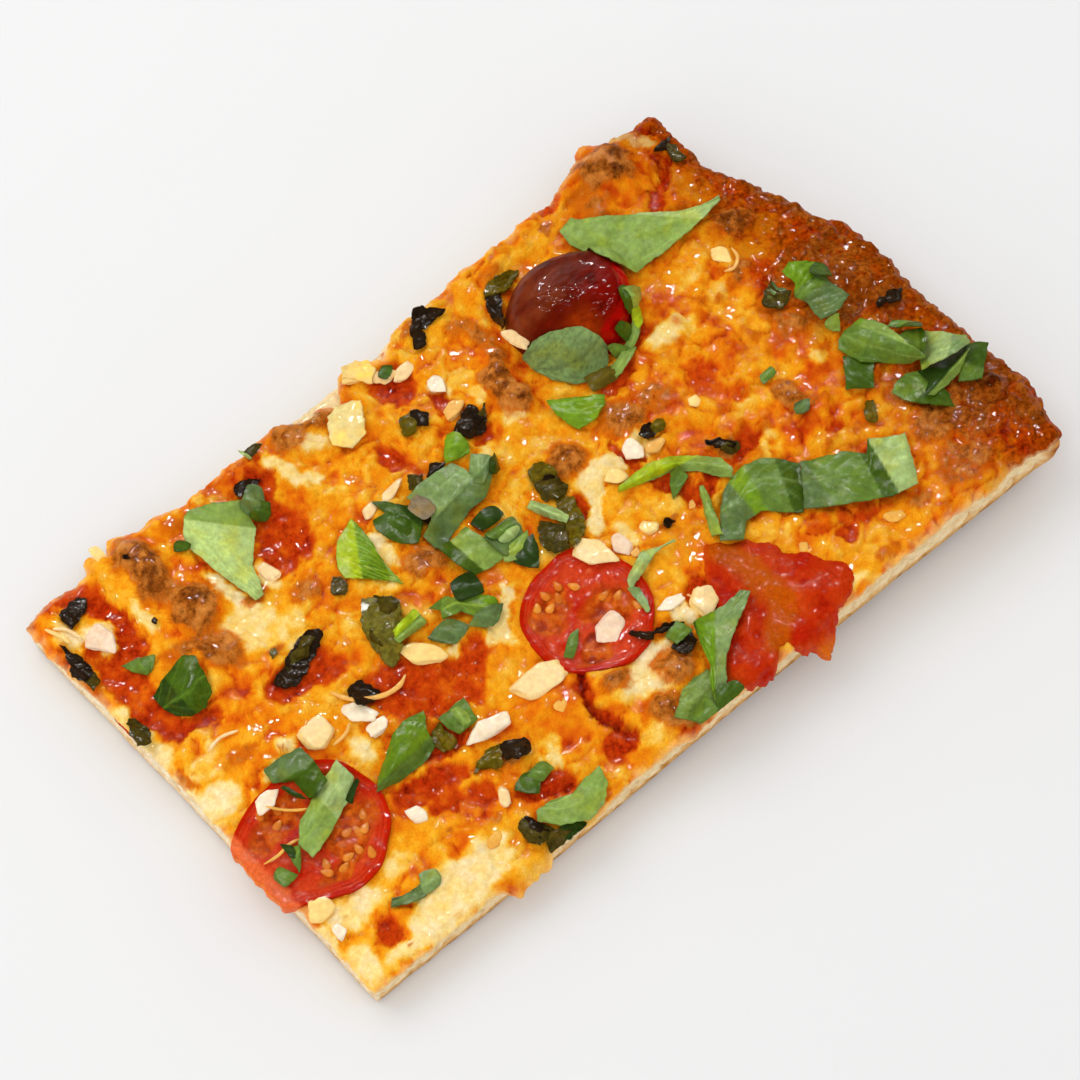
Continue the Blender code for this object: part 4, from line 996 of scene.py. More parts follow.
def build_dough(mat):
    top, low = Plan(-0.15, 0.06, 0.0, 0.5, 3.0), Plan(-0.4, 0.0, -3.0, 0.3, 3.)
    nu, nv, rows = 184, 108, 26
    u = np.linspace(0.0, 1.0, nu)[:, None]
    v = np.linspace(0.0, 1.0, nv)[None, :]
    x, y = low(u, v)
    dz, c = underside(x, y)
    z = lift(x, y) + dz
    edge = np.minimum(np.minimum(u, 1 - u) * (nu - 1),
                      np.minimum(v, 1 - v) * (nv - 1))
    z = z + 0.35 * (1.0 - ramp(edge, 0.0, 1.6))
    verts = [np.stack([x, y, z], -1).reshape(-1, 3)]
    tint = [c.reshape(-1, 3)]
    faces = [grid_faces(nu, nv, flip=True)]
    # walls, with twice as many columns
    bu = np.broadcast_to(u, (nu, nv)).reshape(-1)[loop_indices(nu, nv)]
    bv = np.broadcast_to(v, (nu, nv)).reshape(-1)[loop_indices(nu, nv)]
    border = loop_indices(nu, nv)

    def doubled(a):
        out = np.empty((2 * len(a),) + a.shape[1:])
        out[0::2] = a
        out[1::2] = 0.5 * (a + np.roll(a, -1, 0))
        return out
    wu, wv = doubled(bu), doubled(bv)
    b3 = doubled(verts[0][border])
    tx, ty = top(wu, wv)
    n = loop_normals(tx, ty, 10)
    s = np.cumsum(np.hypot(tx - np.roll(tx, 1), ty - np.roll(ty, 1)))
    rim = ramp(tx - dough_rim(ty), -2.6, -0.4) * (wu > 0.9)
    left = (wu < 0.004).astype(float)
    front = (wv < 0.004).astype(float)
    back = (wv > 0.996).astype(float)
    # sauce shows at the short cut side and in places at the back
    gapy = left * (0.45 * ramp(hill(ty, 22.0, 7.0) + hill(ty, 46.0, 4.0),
                               0.25, 0.8))
    zt = level(tx) + lift(tx, ty) - TOPPING + 0.85 * (1.0 - gapy)
    start = nu * nv
    m = len(wu)
    rings = []
    for k in range(1, rows + 6):
        w = min(k / rows, 1.0)
        px, py = mix(b3[:, 0], tx, w), mix(b3[:, 1], ty, w)
        wall = 4.0 * w * (1.0 - w)
        h = mix(b3[:, 2], zt, w)
        # pores, drawn out along the slice
        f1, f2, tone = cells(s / 1.5, h / 1.15 + 0.4 * N2(s / 2., 1., 5.),
                             41)
        g1, g2, gt = cells(s / 4.0 + 0.2, h / 2.9 + 0.4 * N3(s / 3., 1., 5.),
                           43)
        f = N1.fbm(s / 2.0, h / 1.7, 31.0, 4)
        pore = ramp(tone, 0.25, 0.8) * (1.0 - ramp(f1, 0.10, 0.62))
        big = ramp(gt, 0.62, 0.85) * (1.0 - ramp(g1, 0.10, 0.5))
        crumb = ramp(w, 0.10, 0.2)
        push = crumb * (-0.75 * pore - 1.2 * big + 0.60 * f
                        - 0.25 * ramp(w, 0.8, 1.0)) * (1.0 - rim)
        push = push + 0.25 * hill(w, 0.05, 0.05) * (1.0 - rim)
        push = push + rim * (1.7 * wall + 0.30 * N2.fbm(s / 1.6, h / 1.2, 33.,
                                                        3)
                             - 0.35 * pore)
        if k > rows:                       # over the top and in
            push = push - (0.35, 0.9, 1.8, 3.2, 5.0)[k - rows - 1]
        px, py = px + n[:, 0] * push, py + n[:, 1] * push
        verts.append(np.stack([px, py, h + 0.05 * (k > rows)], -1))
        c = tinted(m, srgb(246, 222, 172))
        # the short cut side painted paler: painted light from the side lamp falling
        # on it
        c = lay(c, srgb(251, 236, 198), left)
        c = lay(c, srgb(240, 208, 150), 0.5 * ramp(f, 0.0, 0.5))
        # pores and big holes, pushed into the wall, darkened as painted shade
        c = lay(c, srgb(226, 188, 126), 0.6 * pore + 0.6 * big)
        c = lay(c, srgb(250, 214, 140), 0.5 * ramp(w, 0.80, 1.0)
                * ramp(f, -0.3, 0.3))
        # its browned foot is faded there, part of the same painted light
        foot = 1.0 - 0.6 * left
        c = lay(c, srgb(222, 172, 98), 0.8 * foot * (1.0 - ramp(
            w + 0.10 * f, 0.09, 0.26)))
        spots = N2.fbm(s / 2.4, 0.7, 35.0, 3)
        c = lay(c, srgb(176, 118, 48), foot * (1.0 - ramp(
            w + 0.08 * f, 0.06, 0.15)) * (0.35 + 0.65 * ramp(spots, -.3, .4)))
        c = lay(c, srgb(112, 68, 28), 0.8 * foot * (1.0 - ramp(
            w, 0.05, 0.12)) * ramp(spots + 0.6 * f, 0.2, 0.7))
        c = lay(c, srgb(212, 146, 66), 0.9 * rim)
        c = lay(c, srgb(160, 84, 26), rim * ramp(spots + 0.8 * f + 0.9 * w,
                                                 0.2, 1.2))
        c = lay(c, srgb(96, 46, 18), 0.8 * rim * ramp(w + f, 0.75, 1.3))
        tint.append(c)
        rings.append(start + (k - 1) * m + np.arange(m))
    # the foot of the wall meets the bottom border, which has half the points
    faces.append(strip_faces(rings))
    faces = [tuple(f) for f in np.concatenate(faces).tolist()]
    first, nb = rings[0], len(border)
    for k in range(nb):
        a, b = int(border[k]), int(border[(k + 1) % nb])
        c0, c1 = int(first[2 * k]), int(first[2 * k + 1])
        c2 = int(first[(2 * k + 2) % m])
        faces += [(a, c0, c1), (a, c1, b), (b, c1, c2)]
    start = start + (rows + 5) * m
    verts.append(np.array([[0.0, 0.0, float(level(0.0)) - TOPPING]]))
    tint.append(tinted(1, srgb(226, 180, 120)))
    last = rings[-1]
    faces += [(start, int(a), int(b)) for a, b in zip(last,
                                                      np.roll(last, -1))]
    p = np.concatenate(verts)
    return add_object("baked_dough", to_world(*p.T), faces,
                      mat, "dough", np.concatenate(tint),
                      np.full(len(p), 0.78), ("dough",))


# ---- sauce ------------------------------------------------------------------------
def build_sauce(mat):
    nu, nv = 180, 104
    plan = Plan(-0.9, 0.03, -0.8, 0.6, 5.0)
    u = np.linspace(0.0, 1.0, nu)[:, None]
    v = np.linspace(0.0, 1.0, nv)[None, :]
    x, y = plan(u, v)
    red = 0.12 * N2.fbm(x / 3.0, y / 3.0, 44.0, 3)
    show = hill(y, 22.0, 7.0) + hill(y, 46.0, 4.0)
    x = x - 0.8 * (1.0 - ramp(u * (nu - 1), 0.0, 3.0)) * clamp(show)
    base = level(x) + lift(x, y) - TOPPING + GAP
    zt = base + SAUCE + red + 0.1
    verts = [np.stack([x, y, zt], -1).reshape(-1, 3),
             np.stack([x, y, base], -1).reshape(-1, 3)]
    faces = [grid_faces(nu, nv),
             grid_faces(nu, nv, offset=nu * nv, flip=True)]
    border = loop_indices(nu, nv)
    bx, by = x.reshape(-1)[border], y.reshape(-1)[border]
    n = loop_normals(bx, by)
    mid = np.stack([bx + 0.3 * n[:, 0], by + 0.3 * n[:, 1],
                    (base + 0.35).reshape(-1)[border]], -1)
    verts.append(mid)
    k = 2 * nu * nv + np.arange(len(border))
    faces.append(strip_faces([border + nu * nv, k, border]))
    p = np.concatenate(verts)
    f = N3.fbm(p[:, 0] / 2.0, p[:, 1] / 2.0, p[:, 2], 3)
    c = lay(tinted(len(p), LINEAR["red"]), LINEAR["tomato"], 0.5 + 0.6 * f)
    c = lay(c, LINEAR["cream"], ramp(p[:, 1], 41.0, 43.0)
            * ramp(p[:, 0], -22.0, -18.0) * (1.0 - ramp(p[:, 0], 4.0, 8.0))
            * ramp(f, -0.5, -0.1))
    return add_object("sauce_layer", to_world(*p.T), np.concatenate(faces),
                      mat, "tomato_sauce", c, np.full(len(p), 0.25),
                      ("tomato_sauce",))


# ---- tomatoes -------------------------------------------------------------------
def disc_faces(na, nr, offset=0):
    """Faces of a radial grid, na round, nr outwards."""
    f = grid_faces(na, nr, wrap_u=True, offset=offset, flip=True)
    return f


def fan(na, nr, middle, offset=0):
    i = np.arange(na) * nr + offset
    return [(middle, int(a), int(b)) for a, b in zip(i, np.roll(i, -1))]


def build_disc(name, size, na, nr, shape, mat, slot_name, nodes):
    """Radial grid moved into place by shape(direction, 0 middle..1 foot)."""
    a = np.linspace(0.0, 2.0 * np.pi, na, endpoint=False)[:, None]
    q = np.linspace(0.012, 1.0, nr)[None, :]
    a, q = np.broadcast_arrays(a, q)
    x, y, z, c, r = shape(a, q)
    p = np.stack([x, y, z], -1).reshape(-1, 3)
    mid = p.reshape(na, nr, 3)[:, 0].mean(0)
    p = np.concatenate([p, mid[None]])
    c = np.concatenate([c.reshape(-1, 3), c[:, 0].mean(0)[None]])
    r = np.append(r.reshape(-1), r[:, 0].mean())
    faces = [tuple(f) for f in disc_faces(na, nr).tolist()]
    faces += fan(na, nr, na * nr)
    foot = [int(k * nr + nr - 1) for k in range(na)]
    faces.append(tuple(foot))
    return add_object(name, to_world(*p.T), faces, mat, slot_name, c, r,
                      nodes)


FLESH = srgb(212, 70, 30)
SKIN = srgb(190, 30, 4)
GEL = srgb(200, 80, 14)
PULP = srgb(188, 32, 8)


def slice_shape(size, edge_x, chambers, seed):
    """A round slice, cut off by the side at edge_x, skin on its rim."""
    cx, cy, rx0, ry0 = size

    def shape(a, q):
        wobble = 1.0 + 0.026 * np.cos(3 * a + 1.0 + seed) \
            + 0.018 * np.sin(5 * a + seed) + 0.03 * N4(2.6 * np.cos(a),
                                                       2.6 * np.sin(a), seed)
        top = clamp(q / 0.86)
        turn = clamp((q - 0.86) / 0.14)
        ring = mix(0.975 * top, 1.0, np.sin(turn * np.pi / 2.0))
        ring = ring - 0.03 * ramp(turn, 0.5, 1.0)
        reach = 1.0 + 0.20 * ramp(-np.cos(a), 0.1, 0.9) * (edge_x > -150.0)
        px = rx0 * wobble * ring * np.cos(a) * reach
        py = ry0 * wobble * ring * np.sin(a)
        x, y = cx + px, cy + py
        nx, ny = ring * np.cos(a), ring * np.sin(a)
        # the straight cut
        cut_at = edge_x + 0.45 * N2(y / 2.0, 3.0, seed) \
            + 0.25 * N3(y / 0.9, 3.0, seed)
        past = np.maximum(cut_at - x, 0.0)
        x = np.where(past > 0.0, cut_at - 0.10 * past, x)
        sheared = ramp(past, 0.0, 0.5)
        w1 = 0.10 * N1(nx * 2.4, ny * 2.4, seed) + 0.05 * N3(nx * 6, ny * 6,
                                                             seed)
        w2 = 0.10 * N2(nx * 2.4, ny * 2.4, seed) + 0.05 * N4(nx * 6, ny * 6,
                                                             seed)
        cham = np.zeros(x.shape)
        for hx, hy, hr, hs, ht in chambers:
            cham = np.maximum(cham, 1.0 - ramp(
                np.sqrt(blot_r(nx + w1, ny + w2, hx, hy, hr, hs, ht)),
                0.70, 1.12))
        fine = N3.fbm(x / 1.5, y / 1.5, seed, 4)
        wide = N1.fbm(x / 4.5, y / 4.5, seed + 2.0, 3)
        mid = N2.fbm(x / 2.4, y / 2.4, seed + 4.0, 3)
        # the wall, drawn in fine lines along the rim
        r1 = ring + 0.012 * N1(4 * np.cos(a), 4 * np.sin(a), seed + 6.0)
        lines = 0.5 + 0.5 * np.cos(2.0 * np.pi * (r1 - 0.80) / 0.062)
        wall = ramp(r1, 0.78, 0.84)
        open_side = ramp(cut_at + 3.0 + 0.8 * wide - x, 0.0, 1.4)
        skin = ramp(r1 + 0.02 * fine, 0.915, 0.95) * (1.0 - open_side)
        wall = wall * (1.0 - 0.8 * open_side)
        z = SLICE_THICK - 0.95 - 0.90 * cham + 0.09 * wall * lines \
            + 0.30 * skin * (1.0 - sheared) + 0.50 * wide \
            + 0.45 * mid * (1.0 - 0.6 * wall) + 0.24 * fine
        gx, gy, gt = cells(x / 2.1 + 0.4 * mid, y / 2.1 + 0.4 * wide, 33)
        z = z + 0.30 * cham * (1.0 - ramp(gx, 0.0, 0.6))
        z = z - 0.5 * sheared - 0.14 * ramp(past, 1.0, 4.0)
        z = z * (1.0 - ramp(turn, 0.25, 1.0)) - 0.8 * ramp(turn, 0.5, 1.)
        c = lay(tinted(x.size, FLESH).reshape(x.shape + (3,)), PULP,
                0.35 + 1.4 * wide + 0.5 * mid)
        c = lay(c, srgb(236, 116, 62), 0.50 * ramp(fine + 0.5 * mid, .1, .7)
                * (1 - cham) * (1.0 - wall))
        c = lay(c, PULP, 0.65 * wall * (1.0 - 0.5 * lines))
        c = lay(c, srgb(222, 74, 32), 0.25 * wall * lines)
        c = lay(c, GEL, cham)
        c = lay(c, srgb(226, 118, 26), 0.65 * cham * ramp(mid + 0.6 * fine,
                                                          -0.3, 0.6))
        c = lay(c, srgb(140, 30, 8), 0.75 * cham * ramp(-wide - mid, -.1, .5))
        c = lay(c, SKIN, skin)
        c = lay(c, srgb(120, 8, 3), 0.7 * ramp(turn, 0.35, 1.0)
                * (1.0 - sheared))
        c = lay(c, srgb(240, 104, 62), 0.75 * open_side * (1.0 - cham))
        c = lay(c, srgb(240, 128, 24), 0.9 * ramp(past, 0.2, 1.2)
                * (1.0 - ramp(fine, 0.2, 0.6)))
        c = lay(c, srgb(236, 118, 52), 0.5 * open_side)
        rough = 0.14 + 0.14 * ramp(fine, -0.3, 0.5) - 0.05 * cham
        return x, y, bed(x, y) + z, c, np.clip(rough, 0.08, 0.5)
    return shape


def blot_r(x, y, cx, cy, rx, ry, turn):
    a = math.radians(turn)
    dx, dy = x - cx, y - cy
    p = (dx * math.cos(a) + dy * math.sin(a)) / rx
    q = (dy * math.cos(a) - dx * math.sin(a)) / ry
    return p * p + q * q


def half_shape(a, q):
    """Halved cherry tomato, skin up, sunk and wrinkled by the heat."""
    cx, cy, rx, ry = HALF
    e = (1.0 - q) * np.pi / 2.0
    out = np.cos(e) ** 0.86
    wob = 1.0 + 0.035 * np.cos(2 * a + 0.6) + 0.02 * np.cos(3 * a - 0.4) \
        + 0.015 * np.sin(5 * a)
    x = cx + rx * wob * out * np.cos(a)
    y = cy + ry * wob * out * np.sin(a)
    nx, ny = out * np.cos(a), out * np.sin(a)
    # the crown has sunk to a slanting, dented face
    z = HALF_TALL * np.sin(e) ** 0.74
    crown = HALF_TALL * (0.87 + 0.13 * ny - 0.10 * nx)
    z = -1.1 * np.log(np.exp(-z / 1.1) + np.exp(-crown / 1.1))
    fold = N1.fbm(nx * 1.5 + 0.5 * ny, ny * 2.6, 61.0, 3)
    fine = N2.fbm(nx * 4.0, ny * 6.5, 62.0, 3)
    rib = 1.0 - np.abs(N3.fbm(nx * 1.9 + 3.0, ny * 2.6, 64.0, 2)) * 2.0
    low = ramp(q, 0.25, 0.75)
    z = z + (0.8 * fold * (0.35 + 0.65 * low) + 0.14 * fine
             + 0.35 * np.maximum(rib - 0.55, 0.0) * low) * (z > 1.0)
    for hx, hy, hr, hd in ((-0.39, 0.10, 0.22, 0.55), (-0.02, -0.04, 0.14, .5),
                           (0.30, -0.62, 0.30, 0.45)):
        d2 = ((nx - hx) ** 2 + (ny - hy) ** 2) / hr ** 2
        z = z + hd * np.exp(-d2) * N4.fbm(nx * 7.0 + ny * 3.0, ny * 9.0,
                                          67.0, 3) * 1.6
    z = np.where(q > 0.999, -1.0, z)
    # flesh swells out under the torn skin at the front right
    flesh = ramp(nx - ny * 1.1 + 0.22 * fold, 0.80, 0.95) \
        * ramp(q, 0.45, 0.6)
    z = z - 0.9 * flesh * (1.0 - ramp(flesh, 0.5, 1.0) * 0.4) \
        + 0.35 * flesh * N3(x / 1.6, y / 1.6, 66.0)
    c = lay(tinted(x.size, srgb(104, 40, 14)).reshape(x.shape + (3,)),
            srgb(128, 66, 36), ramp(fold + 0.5 * fine, -0.2, 0.5))
    across = ny - 0.30 * nx + 0.20 * fold       # from the crest forwards
    c = lay(c, srgb(104, 26, 6), ramp(-across, -0.35, 0.05))
    c = lay(c, srgb(180, 78, 6), 0.95 * ramp(-across, 0.10, 0.55)
            * ramp(-nx + 0.3 * fine, -0.20, 0.40))
    c = lay(c, srgb(130, 16, 5), 0.9 * ramp(-across, -0.1, 0.4)
            * ramp(nx + 0.2 * fine, -0.10, 0.40))
    # paler dusky brown on the dome's far side: a painted reflection of the bright
    # surroundings
    c = lay(c, srgb(150, 92, 58), 0.55 * ramp(ny + 0.2 * nx + 0.2 * fold,
                                              0.62, 0.95))
    # near black in the hollows of the wrinkles: painted shade
    c = lay(c, srgb(60, 12, 5), 0.6 * ramp(-fine - fold, 0.2, 0.8))
    c = c * np.array((0.92, 0.56, 0.32))
    c = lay(c, srgb(176, 12, 5), flesh)
    rough = 0.40 - 0.24 * ramp(-ny - 0.2 * nx, -0.25, 0.3) \
        + 0.05 * fine - 0.1 * flesh
    return x, y, bed(x, y) + z, c, np.clip(rough, 0.08, 0.5)


# outline of the crushed tomato round its middle: degrees, millimetres
CHUNK_RIM = (
    (-162, 15.4), (-153, 18.2), (-139, 18.4), (-125, 16.0), (-115, 11.0),
    (-104, 10.4), (-93, 14.0), (-86, 14.6), (-81, 17.2), (-74, 16.0),
    (-64, 15.4), (-52, 15.2), (-41, 17.6), (-30, 18.8), (-20, 18.4),
    (-12, 15.2), (0, 14.0), (12, 12.0), (22, 10.9), (30, 12.2), (45, 12.4),
    (57, 13.2), (72, 14.2), (86, 16.9), (98, 13.8), (112, 11.6), (128, 9.6),
    (146, 8.8), (165, 9.8), (182, 12.4))
CHUNK_LUMPS = (                    # as seen: x, y, radii, turn, height
    (19.5, -30.5, 6.0, 3.4, -60, 0.9), (27.5, -37.5, 4.2, 5.4, 20, 0.8),
    (28.5, -48.0, 6.0, 5.0, 40, 1.5), (22.0, -53.0, 4.0, 3.0, 0, 0.9),
    (13.6, -45.5, 2.4, 6.0, -30, 0.9), (20.0, -43.0, 2.2, 6.0, -15, -0.7),
    (8.5, -51.0, 4.0, 2.6, -40, 0.8), (33.0, -51.5, 2.6, 3.0, 0, 0.8))


def chunk_shape(a, q):
    """Crushed tomato, wet and uneven, leaning over the front edge."""
    cx, cy = CHUNK[0] - 2.3, CHUNK[1] + 0.9
    deg = np.degrees(np.where(a > np.pi, a - 2.0 * np.pi, a))
    at = np.array([k[0] for k in CHUNK_RIM], float)
    far = np.array([k[1] for k in CHUNK_RIM])
    r = np.interp(deg, np.concatenate([at[-1:] - 360.0, at]),
                  np.concatenate([far[-1:], far]))
    e = (1.0 - clamp(q / 0.93)) * np.pi / 2.0
    out = np.cos(e) ** 0.55
    x, y = cx + r * out * np.cos(a), cy + r * out * np.sin(a)
    rag = 0.7 * N1(x / 2.6, y / 2.6, 71.0) + 0.45 * N2(x / 1.1, y / 1.1, 72.0)
    edge = ramp(q, 0.5, 0.95)
    x, y = x + rag * edge * np.cos(a), y + rag * edge * np.sin(a)
    wide = N1.fbm(x / 7.0, y / 7.0, 73.0, 3)
    mid = N2.fbm(x / 3.2 + 0.4 * wide, y / 3.2, 75.0, 4)
    fine = N3.fbm(x / 1.3, y / 1.3, 74.0, 3)
    ridge = 1.0 - np.abs(N4.fbm(x / 5.0, y / 5.0, 76.0, 3)) * 2.2
    sx, sy = seen(x, y, bed(x, y) + 3.0)
    s1, s2, st = cells(x / 1.15, y / 1.15, 79)
    body = np.sin(e) ** 0.55
    z = 1.0 + 1.5 * body
    for hx, hy, hr, hs, ht, tall in CHUNK_LUMPS:
        z = z + tall * np.exp(-1.3 * blot_r(sx + wide, sy + mid, hx, hy, hr,
                                            hs, ht)) * (0.3 + 0.7 * body)
    z = z + (0.9 * wide + 0.6 * mid + 0.35 * ridge) * (0.25 + 0.75 * body) \
        + 0.16 * fine + 0.16 * (0.5 - ramp(s1, 0.0, 0.8))
    melt = ramp(0.681 * np.sin(a) - 0.732 * np.cos(a), 0.1, 0.6)
    z = z - 1.1 * melt * edge
    over = np.maximum(outside(x, y) - 0.2, 0.0)
    z = z - np.minimum(0.9 * over ** 1.15, 4.4)
    z = np.where(q > 0.93, z - 1.6 * ramp(q, 0.93, 1.0), z)
    amber = streak(sx + 1.2 * mid, sy + 1.2 * wide, 3.0,
                   ((21.6, -30.0), (22.9, -35.9), (22.7, -41.0), (23.2, -44.9),
                    (21.1, -47.6), (16.4, -50.7)))
    c = lay(tinted(x.size, srgb(198, 42, 12)).reshape(x.shape + (3,)),
            srgb(216, 78, 22), 0.45 + 1.1 * wide + 0.6 * mid)
    # darker red in the low places between lumps: painted shade
    c = lay(c, srgb(170, 22, 6), 0.7 * ramp(-mid - 0.5 * ridge, -0.1, 0.5))
    c = lay(c, srgb(208, 108, 12), 0.85 * amber)
    c = lay(c, srgb(236, 120, 20), 0.85 * melt * edge)
    # pink on the raised bits: painted highlight
    c = lay(c, srgb(222, 96, 50), 0.45 * ramp(fine + mid, 0.25, 0.8))
    c = lay(c, srgb(222, 92, 10), 0.55 * edge * ramp(mid + fine, -0.1, 0.5))
    c = lay(c, srgb(240, 140, 22), 0.7 * ramp(over, 2.2, 3.8))
    c = c * np.array((0.84, 0.64, 0.56))
    rough = 0.13 + 0.16 * ramp(fine + 0.5 * mid, -0.3, 0.6)
    return x, y, bed(x, y) + z, c, rough


# ---- scattered pieces --------------------------------------------------------------
class Heap:
    """Vertices, faces, colours and roughness gathered into one piece."""

    def __init__(self):
        self.v, self.f, self.c, self.r, self.n = [], [], [], [], 0

    def add(self, p, faces, c, r):
        self.v.append(np.asarray(p, float).reshape(-1, 3))
        self.f.extend([tuple(int(k) + self.n for k in f) for f in faces])
        n = len(self.v[-1])
        self.c.append(np.broadcast_to(np.asarray(c, float), (n, 3)))
        self.r.append(np.broadcast_to(np.asarray(r, float), (n,)))
        self.n += n

    def make(self, name, mat, slot_name, nodes=()):
        p = np.concatenate(self.v)
        return add_object(name, to_world(*p.T), self.f, mat, slot_name,
                          np.concatenate(self.c), np.concatenate(self.r),
                          nodes)


def ball(na, ne):
    """Directions of a ball, with its faces; poles are single points."""
    a = np.linspace(0.0, 2.0 * np.pi, na, endpoint=False)
    e = np.linspace(-np.pi / 2.0, np.pi / 2.0, ne + 2)[1:-1]
    aa, ee = np.meshgrid(a, e, indexing="ij")
    d = np.stack([np.cos(ee) * np.cos(aa), np.cos(ee) * np.sin(aa),
                  np.sin(ee)], -1).reshape(-1, 3)
    d = np.concatenate([d, [[0, 0, -1.0], [0, 0, 1.0]]])
    faces = [tuple(f) for f in
             grid_faces(na, ne, wrap_u=True).tolist()]
    lo, hi = na * ne, na * ne + 1
    for k in range(na):
        k2 = (k + 1) % na
        faces.append((lo, k2 * ne, k * ne))
        faces.append((hi, k * ne + ne - 1, k2 * ne + ne - 1))
    return d, faces


BALL_FINE = ball(40, 22)
BALL_SMALL = ball(20, 11)


def chunk_of(ground, x, y, rx, ry, turn, tall, seed, sunk=0.25, fine=True):
    """A chopped piece: flat knife cuts with slightly softened edges."""
    d, faces = BALL_FINE if fine else BALL_SMALL
    r = np.random.RandomState(seed)
    around = np.radians(np.arange(5) * 72.0 + r.uniform(-24, 24, 5))
    tilt = r.uniform(-0.35, 0.25, 5)
    cut = [(math.cos(t) * math.cos(e), math.sin(t) * math.cos(e),
            math.sin(e)) for t, e in zip(around, tilt)]
    depth = list(r.uniform(0.66, 0.92, 5))
    cut += [(0.25 * r.normal(), 0.25 * r.normal(), 1.0), (0.0, 0.0, -1.0),
            (0.6 * r.normal(), 0.6 * r.normal(), 0.9)]
    depth += [0.62, 0.8, 0.74]
    sharp = 0.0
    for n, h in zip(cut, depth):
        n = np.array(n) / np.linalg.norm(n)
        sharp = sharp + (np.maximum(d @ n, 0.0) / h) ** 26
    size = (sharp + 0.02) ** (-1.0 / 26.0)
    size = size * (1.0 + 0.10 * N1(d[:, 0] * 1.8 + seed, d[:, 1] * 1.8,
                                   d[:, 2] * 1.8)
                   + 0.03 * N2(d[:, 0] * 5 + seed, d[:, 1] * 5, d[:, 2] * 5))
    size = np.minimum(size, 1.20)
    b = d * size[:, None]
    a0 = math.radians(turn)
    p, q = rx * b[:, 0], ry * b[:, 1]
    ax, ay, az = ground.lie(np.array([float(x)]), np.array([float(y)]),
                            0.5 * tall - sunk)
    px = ax[0] + p * math.cos(a0) - q * math.sin(a0)
    py = ay[0] + p * math.sin(a0) + q * math.cos(a0)
    base = float(az[0]) - 0.5 * tall
    pz = base + tall * (0.5 + 0.5 * b[:, 2])
    return np.stack([px, py, pz], -1), faces, b


def side_line(p, q, bow, t, mid):
    x, y = mix(p[0], q[0], t), mix(p[1], q[1], t)
    nx, ny = q[1] - p[1], p[0] - q[0]
    size = math.hypot(nx, ny) or 1.0
    mx, my = 0.5 * (p[0] + q[0]), 0.5 * (p[1] + q[1])
    if nx * (mx - mid[0]) + ny * (my - mid[1]) < 0.0:
        nx, ny = -nx, -ny
    b = bow * 4.0 * t * (1.0 - t)
    return x + b * nx / size, y + b * ny / size


def leaf_patch(corners, bows, s, t):
    c00, c10, c11, c01 = corners
    mid = [sum(c[k] for c in corners) / 4.0 for k in range(2)]
    near, far = (side_line(c00, c10, bows[1], s, mid),
                 side_line(c01, c11, bows[3], s, mid))
    a, b = (side_line(c00, c01, bows[0], t, mid),
            side_line(c10, c11, bows[2], t, mid))
    out = []
    for k in range(2):
        flat = mix(mix(c00[k], c10[k], s), mix(c01[k], c11[k], s), t)
        out.append(mix(near[k], far[k], t) + mix(a[k], b[k], s) - flat)
    return out


def outline_patch(outline, s, t):
    """Like leaf_patch, for sides that are lines through several points."""
    near, end, far, start = [list(side) for side in outline]
    sides = (near + end[:1], end + far[:1], (far + start[:1])[::-1],
             (start + near[:1])[::-1])

    def along(points, k):
        p = np.array(points, float)
        d = np.concatenate([[0.0], np.cumsum(np.hypot(*np.diff(p, axis=0).T))])
        return (np.interp(k, d / d[-1], p[:, 0]),
                np.interp(k, d / d[-1], p[:, 1]))
    lo, right, hi, left = (along(sides[0], s), along(sides[1], t),
                           along(sides[2], s), along(sides[3], t))
    c00, c10 = near[0], end[0]
    c11, c01 = far[0], start[0]
    out = []
    for k in range(2):
        flat = mix(mix(c00[k], c10[k], s), mix(c01[k], c11[k], s), t)
        out.append(mix(lo[k], hi[k], t) + mix(left[k], right[k], s) - flat)
    return out


